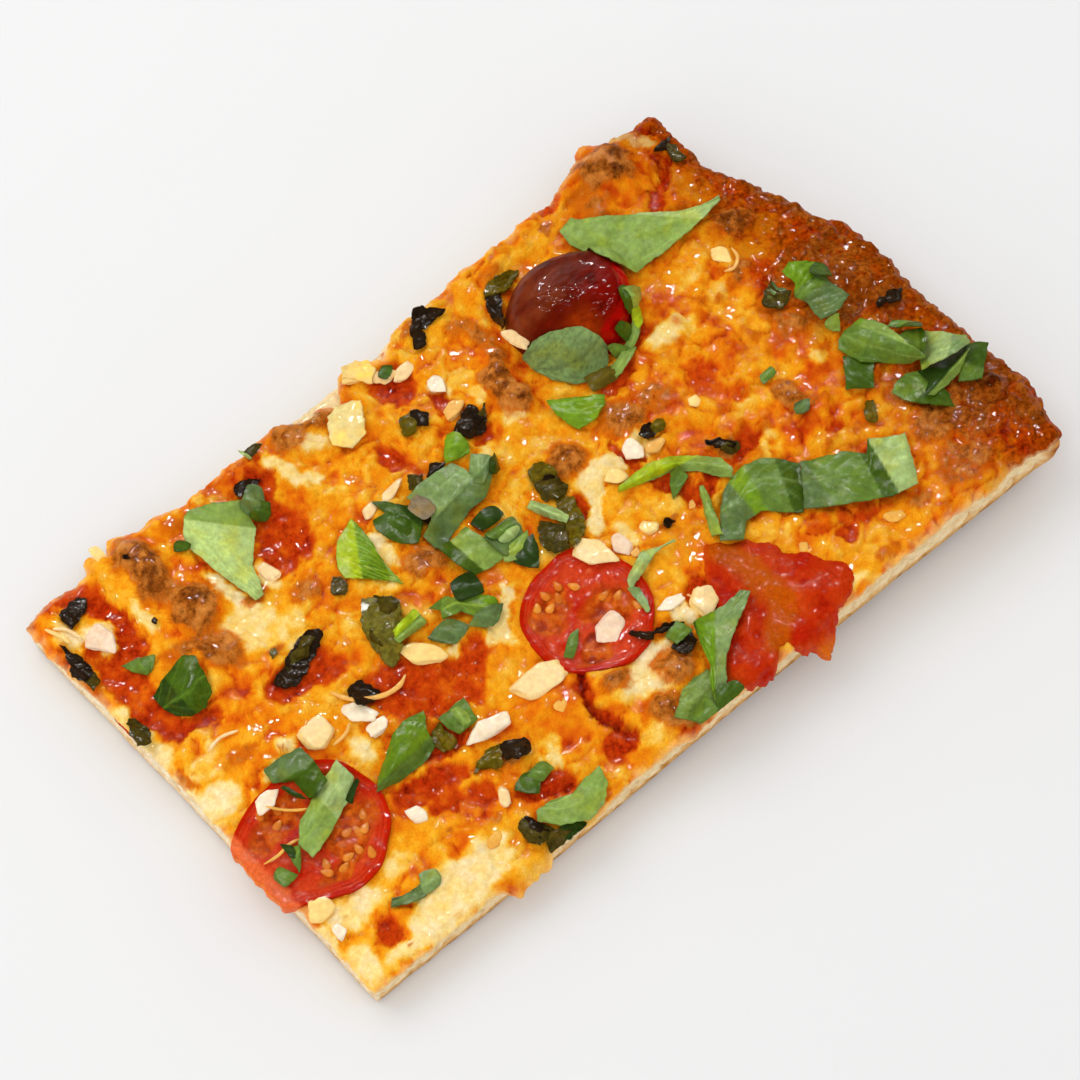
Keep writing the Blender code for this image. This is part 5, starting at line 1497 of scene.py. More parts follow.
def build_leaf(ground, corners, bows, middle, start, end, tint, seed,
               vein=(0.5, 12.0), fold=None, wave=0.35, step=0.36,
               pucker=0.11, thick=0.24, light=None, rough=0.42, flat=0.5,
               rag=0.16, facets=(), tint_gain=1.0, outline=None, bend=0.6,
               dark_veins=False, tidy=False):
    """A torn leaf, draped: points, faces, colours, roughness.

    vein: where the midrib runs across (0..1) and its angle in degrees.
    fold: (place along 0..1, sharpness, height) of creases.
    facets: (x, y, x, y, slope, green) beyond a line, on its left, the green standing
    for painted light and shade on the tilted face and, in places, the leaf's paler
    underside."""
    if outline:
        corners = (outline[0][0], outline[1][0], outline[2][0],
                   outline[3][0])
    c00, c10, c11, c01 = corners
    long = max(math.dist(c00, c10), math.dist(c01, c11))
    wide = max(math.dist(c00, c01), math.dist(c10, c11),
               0.35 * long)
    ns, nt = max(int(long / step), 5), max(int(wide / step), 4)
    s = np.linspace(0.0, 1.0, ns + 1)[:, None]
    t = np.linspace(0.0, 1.0, nt + 1)[None, :]
    s, t = np.broadcast_arrays(s, t)
    if outline:
        x, y = outline_patch(outline, s, t)
    else:
        x, y = leaf_patch(corners, bows, s, t)
    ex = np.minimum(np.minimum(s, 1 - s) * long, np.minimum(t, 1 - t) * wide)
    edge = 1.0 - ramp(ex, 0.0, 1.2)
    x = x + edge * rag * (N1(x / 1.1, y / 1.1, seed)
                          + 1.2 * N2(x / 3.0, y / 3.0, seed))
    y = y + edge * rag * (N2(x / 1.1, y / 1.1, seed + 5)
                          + 1.2 * N1(x / 3.0, y / 3.0, seed + 5))
    h = mix(start, end, s)
    h = h + middle * 4.0 * s * (1.0 - s) * (1.0 - 0.8 * np.abs(2 * t - 1.0))
    h = h + wave * 2.4 * N3(x / 5.5, y / 5.5, seed) \
        + 0.5 * wave * N1(x / 2.4, y / 2.4, seed)
    h = h + bend * (1 if seed % 2 else -0.7) * ((2.0 * t - 1.0) ** 2 - 0.3)
    for place, sharp, tall in (fold or ()):
        h = h + tall * np.exp(-np.abs(s - place) * long / sharp)
    base = tinted(x.size, np.asarray(tint) * tint_gain).reshape(
        x.shape + (3,))
    for x0, y0, x1, y1, slope, green in facets:
        d = ((x1 - x0) * (y - y0) - (y1 - y0) * (x - x0)) \
            / math.hypot(x1 - x0, y1 - y0)
        h = h + slope * np.maximum(d + 0.1, 0.0)
        # the tilted part's green: painted light and shade of the fold, and the paler
        # underside where it shows
        if green:
            base = lay(base, GREENS[green] * tint_gain, ramp(d, -.15, .2))
    # veins and the quilting between them
    mid_t, ang = vein
    a = math.radians(ang)
    p, q = s * long, (t - mid_t) * wide
    q = q - 0.6 * N1(s * 2.0, seed, 2.0)
    rib = np.exp(-(q / 0.28) ** 2)
    slant = p * math.cos(a) - np.abs(q) * math.sin(a) * 2.2
    phase = slant / 3.4 + 0.12 * N2(x / 4.0, y / 4.0, seed)
    lat = np.abs(phase - np.round(phase)) * 3.4
    side = np.exp(-(lat / 0.22) ** 2) * ramp(np.abs(q), 0.0, 0.8)
    f1, f2, tone = cells(x / 1.25, y / 1.25, 91)
    mesh_vein = 1.0 - ramp(f2 - f1, 0.0, 0.16)
    quilt = np.cos(2.0 * np.pi * phase) * -0.5 + 0.35 * (1.0 - ramp(
        f1, 0.0, 0.7))
    h = h + pucker * (quilt - 0.9 * rib - 0.5 * side)
    px, py, pz = ground.lie(x, y, np.maximum(h, 0.1) + 0.2)
    raw = ground.sample(ground.z, px, py)
    deep = np.maximum(raw + 0.28 - pz, 0.0)
    pz = pz + deep
    px, py = px - LEAN[0] * deep, py - LEAN[1] * deep
    # normals of the sheet
    gx = np.stack([np.gradient(px, axis=0), np.gradient(py, axis=0),
                   np.gradient(pz, axis=0)], -1)
    gy = np.stack([np.gradient(px, axis=1), np.gradient(py, axis=1),
                   np.gradient(pz, axis=1)], -1)
    n = np.cross(gx, gy)
    n /= np.linalg.norm(n, axis=-1)[..., None] + 1e-12
    up = np.sign(np.mean(n[..., 2])) or 1.0
    n = n * up
    pt = np.stack([px, py, pz], -1)
    half = 0.5 * thick
    top, low = pt + n * half, pt - n * half
    nuv = (ns + 1) * (nt + 1)
    f_top = grid_faces(ns + 1, nt + 1, flip=up < 0)
    f_low = grid_faces(ns + 1, nt + 1, offset=nuv, flip=up > 0)
    border = loop_indices(ns + 1, nt + 1)
    f_rim = strip_faces([border, border + nuv])
    if up < 0:
        f_rim = f_rim[:, ::-1]
    pale = np.asarray(light) if light is not None else base * 1.45
    mott = N1.fbm(x / 3.4, y / 3.4, seed + 3, 4)
    blade = N2.fbm(x / 1.5, y / 1.5, seed + 6, 3)
    if tidy:
        mott, blade = 0.2 * mott, 0.2 * blade
    c = base * (1.0 + 0.34 * mott[..., None] + 0.14 * blade[..., None])
    c = lay(c, c * np.array((1.28, 1.10, 0.60)), ramp(
        N3.fbm(x / 4.5, y / 4.5, seed + 8, 3), -0.05, 0.5))
    if dark_veins:
        pale = base * 0.45
    c = lay(c, pale, 0.60 * rib + (0.55 if dark_veins else 0.34) * side
            + (0.45 if dark_veins else 0.10) * mesh_vein)
    # darker in the hollows of the quilting is painted shade; darker with the mottling
    # is the leaf's own tone
    c = lay(c, base * 0.62, 0.22 * ramp(-quilt, 0.2, 0.6)
            + 0.45 * ramp(mott, 0.3, 0.9))
    c = lay(c, base * 0.5, (0.05 if tidy else 0.35)
            * (1.0 - ramp(ex, 0.0, 0.35)))
    col = np.concatenate([c.reshape(-1, 3), (c * 1.05).reshape(-1, 3)])
    rr = np.full(2 * nuv, rough) + 0.05 * np.concatenate(
        [mott.reshape(-1)] * 2)
    pts = np.concatenate([top.reshape(-1, 3), low.reshape(-1, 3)])
    faces = np.concatenate([f_top, f_low, f_rim])
    return pts, faces, col, rr


# ---- tables of what lies on the cheese, as it is seen -----------------------------
GREENS = {
    "light": srgb(178, 202, 116), "sage": srgb(160, 184, 108),
    "fresh": srgb(112, 150, 22), "mid": srgb(98, 128, 44),
    "dark": srgb(66, 94, 14), "deep": srgb(44, 68, 16),
    "lime": srgb(166, 190, 24), "grey": srgb(124, 150, 84),
    "steel": srgb(94, 118, 62), "olive": srgb(98, 84, 8),
    "char": srgb(40, 27, 14), "drab": srgb(72, 62, 14),
    "leafy": srgb(134, 162, 70), "withered": srgb(134, 118, 90),
    "cooked": srgb(108, 100, 30),
}
# name, four corners, bows start/near/end/far, heights middle/start/end, green,
# then options
LEAVES = (
    ("basil_big_left", (-53.3, 42.3), (-50.9, 23.6), (-49.2, 24.0),
     (-39.2, 41.2), (4.2, 0.2, 0.0, 0.4), 2.0, 1.2, 0.2, "light",
     dict(outline=(((-53.0, 43.4), (-53.9, 40.5), (-53.2, 34), (-52.4, 28)),
                   ((-51.6, 23.4),),
                   ((-49.8, 23.4), (-48.4, 26), (-47.4, 29.4),
                    (-44.6, 32.4), (-41.6, 35.2)),
                   ((-39.6, 41.6), (-44, 44.9), (-48.6, 46.9),
                    (-50.2, 46.4))),
          facets=((-50.8, 46.5, -41.2, 34.6, 0.42, "leafy"),
                  (-53.0, 41.0, -45.0, 31.6, 0.06, None)),
          vein=(0.25, 30.0), rough=0.5)),
    ("basil_triangle", (52.3, 26.4), (76.6, 27.0), (76.8, 28.2),
     (48.6, 44.2), (1.6, -0.3, 0.0, 0.2), 1.6, 1.4, 0.2, "sage",
     dict(outline=(((52.8, 26.2), (60, 25.9), (67, 26.0), (72, 26.3)),
                   ((76.8, 27.2),),
                   ((77.2, 27.9), (73, 28.6), (68, 31.2), (64, 34.8),
                    (60, 37.5), (56, 40.8), (52.6, 43.2)),
                   ((51.4, 44.6), (47.6, 43.8), (47.2, 40), (49.2, 34),
                    (51, 29.4))),
          facets=((71.0, 26.0, 64.6, 33.0, -0.10, "leafy"),),
          vein=(0.1, 20.0), rough=0.55, pucker=0.06, tint_gain=1.05)),
    ("basil_on_half", (24.6, 16.0), (35.0, 15.2), (35.2, 24.4),
     (23.8, 27.6), (1.2, 1.6, 1.0, 1.2), 0.3, 0.2, 0.2, "grey",
     dict(outline=(((23.6, 19.6), (26, 16.0), (30, 13.8), (34, 14.8)),
                   ((36.4, 17.6), (36.6, 20.6)),
                   ((35.6, 24.4), (33, 26.0), (29.6, 28.0)),
                   ((26.0, 28.6), (22.4, 27.6), (22.2, 23.4))),
          vein=(0.4, 40.0), pucker=0.16, rough=0.62, wave=0.5,
          dark_veins=True)),
    ("basil_beside_half", (19.4, 8.4), (27.9, 9.0), (27.8, 10.8),
     (19.4, 16.8), (0.6, 0.4, 0.0, 0.1), 1.2, 0.3, 0.3, "fresh",
     dict(outline=(((19.6, 8.0), (24, 7.4)), ((27.2, 8.8),),
                   ((28.8, 10.4), (24, 13.8)),
                   ((19.4, 17.2), (18.6, 13.4))),
          vein=(0.9, 30.0), rough=0.32)),
    ("basil_dark_left", (-79.2, 15.6), (-70.6, 14.2), (-67.8, 23.0),
     (-79.4, 21.4), (0.6, 1.4, 0.8, 1.2), 2.6, 0.2, 0.6, "dark",
     dict(outline=(((-79.0, 15.4), (-76.8, 13.4), (-73.6, 12.8)),
                   ((-70.6, 14.2), (-69.0, 18.0)),
                   ((-67.8, 22.4), (-69.4, 24.0), (-73.6, 23.2)),
                   ((-79.6, 21.6), (-79.8, 18.6))),
          facets=((-75.6, 12.0, -75.0, 25.0, -0.30, "deep"),),
          vein=(0.45, 40.0), rough=0.26, light=srgb(110, 150, 40))),
    ("basil_lime", (-35.6, 15.0), (-29.2, 8.6), (-26.6, 23.8),
     (-33.0, 20.6), (0.4, 0.6, 1.0, 0.8), 1.8, 0.3, 0.5, "lime",
     dict(outline=(((-35.8, 15.0), (-32.2, 11.6), (-30.0, 9.0)),
                   ((-28.4, 6.4),),
                   ((-28.4, 9.4), (-28.3, 12.6), (-26.7, 18.7)),
                   ((-26.4, 24.0), (-31.6, 22.4), (-34.0, 20.2),
                    (-35.8, 17.1))),
          facets=((-33.0, 13.6, -26.2, 24.0, -0.50, "lime"),
                  (-26.2, 24.0, -33.0, 13.6, -0.20, "fresh")),
          vein=(0.35, 50.0), pucker=0.30, rough=0.34, bend=0.2,
          light=srgb(206, 218, 96))),
    ("basil_centre", (-18.6, 8.4), (-3.0, 11.2), (-1.6, 17.2),
     (-14.2, 20.4), (-1.6, 0.8, 0.8, 0.5), 2.0, 0.5, 1.4, "grey",
     dict(outline=(((-18.2, 6.8), (-13.6, 8.2), (-8.6, 9.5), (-4.0, 9.6),
                    (-0.2, 12.0)),
                   ((1.6, 13.8), (3.0, 15.6)),
                   ((0.3, 18.6), (-1.8, 16.6), (-4.2, 14.6), (-4.4, 17.4),
                    (-3.9, 19.7), (-8.0, 20.3), (-12.0, 20.5)),
                   ((-15.7, 20.0), (-13.0, 15.9), (-15.2, 12.9),
                    (-18.9, 11.5), (-18.8, 9.0))),
          facets=((-2.4, 11.4, -19.0, 11.9, -0.50, "leafy"),
                  (4.0, 15.0, -4.6, 14.0, 0.22, "steel")),
          vein=(0.75, 30.0), rough=0.36, bend=0.9)),
    ("basil_small_fold", (-23.6, 14.0), (-17.0, 12.6), (-17.8, 20.4),
     (-23.6, 20.6), (0.5, 0.5, 0.6, 1.2), 1.8, 0.3, 0.6, "steel",
     dict(outline=(((-24.6, 19.0), (-23.8, 15.2), (-22.8, 13.0),
                    (-21.4, 11.8)),
                   ((-20.2, 11.3), (-16.8, 13.8)),
                   ((-16.0, 16.0), (-16.2, 18.3), (-19.0, 22.0)),
                   ((-21.1, 24.1), (-20.8, 20.4), (-23.6, 21.0))),
          facets=((-21.8, 24.0, -23.2, 12.0, -0.4, "deep"),
                  (-17.6, 12.0, -18.2, 24.0, -0.2, "dark")),
          vein=(0.5, 60.0), pucker=0.30, rough=0.34)),
    ("basil_mid", (-16.6, -1.4), (-9.8, -2.4), (-11.8, 7.4),
     (-17.2, 7.6), (0.2, 0.2, -0.5, 0.0), 1.2, 0.5, 0.5, "leafy",
     dict(outline=(((-17.0, -1.6), (-13.4, -2.4)), ((-9.2, -2.6),
                    (-10.2, 2.4)),
                   ((-11.4, 7.6), (-14.6, 7.2)),
                   ((-18.2, 7.8), (-18.0, 3.0))),
          facets=((-15.0, -3.0, -15.8, 9.0, 0.5, "dark"),),
          vein=(0.2, 20.0), rough=0.36)),
    ("basil_left_mid", (-26.4, -4.4), (-18.2, -10.2), (-17.0, -6.6),
     (-27.4, -0.6), (0.2, 1.0, 0.6, 1.2), 1.6, 0.4, 0.4, "fresh",
     dict(outline=(((-28.0, -4.0), (-24.2, -5.4), (-22.6, -8.6)),
                   ((-20.4, -11.2), (-18.2, -10.6)),
                   ((-17.2, -7.4), (-20.6, -3.6), (-23.0, -2.6),
                    (-24.4, -0.8)),
                   ((-28.4, -0.8), (-27.0, -2.6))),
          vein=(0.45, 30.0), rough=0.24, light=srgb(170, 200, 70),
          facets=((-20.4, -12.0, -19.2, -2.0, 0.05, "mid"),))),
    ("basil_on_front", (-78.0, -23.4), (-62.8, -17.2), (-62.8, -12.4),
     (-76.6, -17.2), (0.2, 0.8, 0.0, 0.4), 1.6, 0.4, 1.0, "sage",
     dict(outline=(((-78.4, -24.0), (-74.4, -23.0), (-68, -20.6),
                    (-64.6, -19.4)),
                   ((-62.2, -17.0),),
                   ((-62.2, -12.2), (-68.4, -14.0), (-71.6, -15.6)),
                   ((-75.4, -16.8), (-78.6, -20.2))),
          facets=((-70.4, -25.0, -69.2, -10.0, 0.16, "leafy"),),
          vein=(0.4, 25.0), rough=0.46)),
    ("basil_front_top", (-71.4, -14.0), (-66.6, -14.0), (-65.6, -6.0),
     (-74.2, -5.0), (0.0, 0.2, 0.2, 0.8), 1.2, 0.3, 1.0, "mid",
     dict(outline=(((-71.2, -14.6), (-68.6, -14.8)), ((-66.2, -14.0),
                    (-65.6, -10)),
                   ((-65.4, -5.6), (-69.6, -4.6)),
                   ((-73.8, -4.4), (-74.2, -7.6), (-71.0, -10.2))),
          facets=((-66.0, -9.4, -76.0, -8.0, -0.1, "dark"),
                  (-76.0, -8.0, -66.0, -9.4, 0.0, "steel")),
          vein=(0.4, 30.0), rough=0.34)),
    ("basil_beside_front", (-60.4, -22.2), (-47.4, -23.2), (-44.4, -16.2),
     (-56.6, -18.6), (0.2, 0.6, 0.8, 1.2), 2.0, 0.4, 0.6, "fresh",
     dict(outline=(((-61.2, -22.4), (-56.6, -23.6), (-50.6, -24.0)),
                   ((-46.8, -23.0), (-45.8, -19.6)),
                   ((-43.4, -16.0), (-47.6, -14.9), (-50.4, -15.4),
                    (-55.0, -18.0)),
                   ((-58.8, -20.4),)),
          facets=((-44.0, -20.6, -62.0, -21.4, -0.25, "mid"),),
          vein=(0.28, 45.0), rough=0.30, tint_gain=0.72)),
    ("basil_front_edge", (-41.0, -48.4), (-33.6, -51.6), (-28.2, -47.8),
     (-40.0, -46.6), (0.3, 0.8, 0.6, 0.8), 1.2, 0.3, 0.4, "leafy",
     dict(outline=(((-42.6, -47.0), (-40.4, -50.6), (-35.4, -53.6)),
                   ((-31.4, -53.4), (-28.0, -50.6)),
                   ((-26.6, -47.0), (-30.0, -46.8), (-34.4, -47.6)),
                   ((-38.0, -45.8), (-41.6, -45.6))),
          vein=(0.5, 40.0), rough=0.46)),
    ("basil_fan", (-8.6, -49.4), (-3.2, -53.2), (0.6, -48.0),
     (-4.4, -46.4), (0.4, 0.4, 0.0, 0.4), 0.6, 0.2, 0.2, "leafy",
     dict(outline=(((-9.4, -49.0), (-7.6, -51.6), (-6.6, -53.8)),
                   ((-2.2, -53.9), (0.6, -50.4)),
                   ((2.4, -46.6), (-1.0, -45.8)),
                   ((-4.4, -46.4), (-7.0, -47.8))),
          vein=(0.5, 55.0), pucker=0.20, rough=0.4, tint_gain=0.8)),
    ("basil_twist", (-2.0, -53.2), (18.6, -41.6), (18.8, -39.8),
     (0.6, -49.2), (0.2, 0.3, 0.2, 4.0), 2.0, 0.4, 0.4, "grey",
     dict(outline=(((-1.6, -53.8), (3.0, -50.8), (6.4, -46.8),
                    (12.6, -43.4), (16.6, -41.6)),
                   ((19.6, -40.0),),
                   ((18.4, -38.6), (13.6, -38.8), (11.0, -38.2),
                    (7.0, -37.2), (5.4, -40.4), (3.4, -45.6)),
                   ((0.6, -48.6), (-1.4, -52.0))),
          facets=((-1.0, -51.6, 12.2, -38.0, 0.45, "fresh"),
                  (-0.6, -50.0, 7.6, -37.0, 0.30, "dark")),
          vein=(0.45, 30.0), rough=0.34)),
    ("basil_long_a", (24.0, -28.6), (38.4, -33.4), (43.6, -25.0),
     (29.4, -20.8), (0.4, -2.2, 0.0, 1.4), 1.8, 0.6, 0.6, "mid",
     dict(outline=(((22.8, -28.4), (26.5, -31.2), (29.5, -29.0),
                    (33.5, -29.2), (36, -32)),
                   ((39.0, -35.0), (43.0, -31.6)),
                   ((46.2, -27.0), (43.6, -23.2), (41.2, -21.0),
                    (38, -19.8), (34, -20.1)),
                   ((30.6, -21.4), (26.6, -24.6))),
          facets=((33.6, -32.0, 38.4, -18.0, 0.10, "fresh"),
                  (31.6, -32.0, 33.4, -18.0, 0.0, "steel"),
                  (44.6, -20.0, 37.0, -35.0, -0.16, "dark")),
          vein=(0.6, 30.0), rough=0.34, light=srgb(140, 170, 90))),
    ("basil_long_b", (40.6, -34.6), (57.2, -43.4), (64.6, -36.0),
     (45.6, -26.6), (0.0, 0.6, 0.2, -0.4), 1.8, 0.6, 1.0, "steel",
     dict(outline=(((39.6, -34.6), (44, -37.8), (49.5, -41.4),
                    (54, -44.2)),
                   ((59.8, -45.6), (63.4, -40.2)),
                   ((65.9, -36.2), (62, -34), (59.4, -32.0),
                    (57.2, -34.2), (54, -30.8), (50, -28.8)),
                   ((46.2, -26.7), (43, -31))),
          facets=((47.6, -25.0, 43.6, -42.0, 0.0, "mid"),
                  (56.8, -31.5, 52.6, -43.0, 0.34, "dark"),
                  (59.4, -32.2, 55.9, -43.0, -0.62, "sage")),
          vein=(0.55, 35.0), rough=0.36)),
    ("basil_curve", (17.0, -7.6), (33.6, -18.4), (35.2, -16.2),
     (24.0, -7.0), (0.2, -1.8, 0.2, 2.0), 1.4, 0.3, 0.3, "leafy",
     dict(outline=(((15.8, -7.4), (22.0, -9.6), (27.0, -11.4),
                    (30.4, -14.6), (32.4, -18.2)),
                   ((34.4, -20.2), (35.8, -19.0)),
                   ((35.8, -15.6), (32.6, -12.0), (28.6, -8.6),
                    (24.0, -6.6)),
                   ((16.6, -6.6),)),
          facets=((15.0, -7.6, 30.0, -11.6, 0.2, "lime"),),
          vein=(0.5, 20.0), rough=0.40, tint_gain=0.9)),
    ("extra", (0, 0), (0, 0), (0, 0), (0, 0), (0, 0, 0, 0), 0.6, 0.3, 0.3,
     "dark",
     dict(outline=(((64.4, -21.5),), ((68.7, -25.0),), ((72.6, -21.0),
                    (71.0, -18.4)), ((69.4, -15.6), (66.8, -18.6))),
          vein=(0.5, 30.0), rough=0.34, bend=0.3)),
    ("basil_pile_d", (83.4, -36.6), (90.6, -34.4), (88.6, -32.4),
     (84.0, -34.2), (0.2, 0.6, 0.2, 0.2), 0.8, 0.8, 0.6, "mid",
     dict(outline=(((81.9, -35.4), (83.5, -36.6)),
                   ((85.8, -38.1), (90.5, -34.9)),
                   ((92.9, -33.3), (91.0, -31.6)),
                   ((88.6, -30.2), (85.0, -33.2))),
          facets=((84.0, -30.0, 88.4, -38.4, 0.1, "dark"),),
          vein=(0.4, 30.0), rough=0.34, bend=0.3)),
    ("basil_pile_c", (74.4, -34.6), (84.4, -33.8), (86.0, -31.4),
     (71.0, -28.2), (0.4, 1.0, 0.0, 0.4), 1.0, 0.3, 0.8, "dark",
     dict(outline=(((70.3, -28.2), (71.3, -31.5), (73.4, -34.4)),
                   ((77.1, -38.7), (78.6, -35.9)),
                   ((77.8, -34.6), (80.0, -32.4)),
                   ((80.0, -29.4), (75.6, -27.0), (72.8, -27.0))),
          facets=((70.0, -33.0, 82.0, -31.6, 0.10, "mid"),),
          vein=(0.5, 30.0), rough=0.32)),
    ("extra", (0, 0), (0, 0), (0, 0), (0, 0), (0, 0, 0, 0), 1.8, 0.6, 1.2,
     "deep",
     dict(outline=(((77.4, -28.2), (81.5, -29.4), (85.4, -29.9)),
                   ((89.0, -30.3), (88.6, -31.4)),
                   ((86.8, -32.2), (83.4, -33.9), (79.8, -34.5)),
                   ((75.8, -34.2), (74.8, -32.7), (77.4, -31.2))),
          facets=((92.0, -31.0, 72.0, -33.6, -0.5, "leafy"),),
          vein=(0.5, 25.0), rough=0.34, bend=0.8)),
    ("basil_pile_b", (78.6, -28.0), (89.2, -29.4), (85.2, -20.6),
     (81.0, -18.8), (0.4, 0.4, 0.6, 0.4), 2.4, 1.6, 1.8, "leafy",
     dict(outline=(((77.8, -28.3), (81.6, -29.4), (85.5, -30.2)),
                   ((89.2, -30.6),),
                   ((90.4, -29.3), (87.6, -25.6)),
                   ((84.4, -22.0), (82.4, -24.0))),
          facets=((84.0, -22.0, 79.0, -30.0, 0.10, "sage"),
                  (88.0, -27.2, 80.6, -31.0, -0.30, "grey")),
          vein=(0.3, 30.0), rough=0.44, bend=0.9)),
    ("extra", (0, 0), (0, 0), (0, 0), (0, 0), (0, 0, 0, 0), 1.4, 1.6, 1.6,
     "mid",
     dict(outline=(((79.4, -24.0), (79.4, -26.6)), ((81.9, -25.6),
                    (84.0, -24.0)), ((84.9, -22.0), (82.8, -20.2)),
                   ((80.2, -20.0),)),
          facets=((85.0, -21.0, 80.0, -26.0, 0.2, "dark"),),
          vein=(0.5, 40.0), rough=0.32, bend=0.6)),
    ("extra", (0, 0), (0, 0), (0, 0), (0, 0), (0, 0, 0, 0), 1.0, 2.2, 1.4,
     "mid",
     dict(outline=(((80.4, -17.0),), ((84.6, -21.6), (85.9, -21.2)),
                   ((86.0, -20.4),), ((82.4, -16.8),)),
          facets=((86.0, -20.0, 81.0, -18.4, 0.2, "dark"),),
          vein=(0.5, 30.0), rough=0.34, bend=0.3)),
    ("basil_pile_a", (71.0, -20.4), (78.6, -24.4), (79.0, -12.6),
     (70.2, -14.0), (0.6, 0.6, 0.8, 0.6), 2.8, 1.2, 1.8, "leafy",
     dict(outline=(((69.7, -14.0), (70.2, -16.0), (71.0, -18.9),
                    (74.1, -22.2)),
                   ((77.7, -25.9), (80.2, -26.9)),
                   ((80.4, -24.0), (80.4, -20.6), (80.2, -16.6),
                    (79.5, -14.1)),
                   ((78.1, -12.1), (73.8, -11.9), (71.4, -12.5))),
          facets=((69.0, -15.4, 79.0, -12.6, -0.25, "fresh"),
                  (82.0, -28.0, 75.6, -11.0, -0.30, "mid")),
          vein=(0.4, 35.0), rough=0.34, light=srgb(140, 170, 80),
          bend=1.0)),
    ("basil_cluster", (72.8, -6.6), (79.0, -5.6), (78.6, 4.0),
     (73.2, 4.8), (0.4, 0.2, 0.8, 0.8), 2.2, 0.6, 0.8, "mid",
     dict(outline=(((71.8, -6.8), (75, -7.6)),
                   ((79.8, -6.8), (79.4, -1.4), (81.0, 2.4)),
                   ((79.4, 4.8), (76.4, 7.0)),
                   ((73.8, 6.4), (74.0, 2.6), (71.8, 0.6),
                    (72.6, -2.4))),
          facets=((71.0, 1.4, 82.0, 1.0, 0.3, "fresh"),
                  (82.0, -1.6, 71.0, -1.0, 0.3, "steel")),
          vein=(0.5, 60.0), pucker=0.30, rough=0.34)),
)
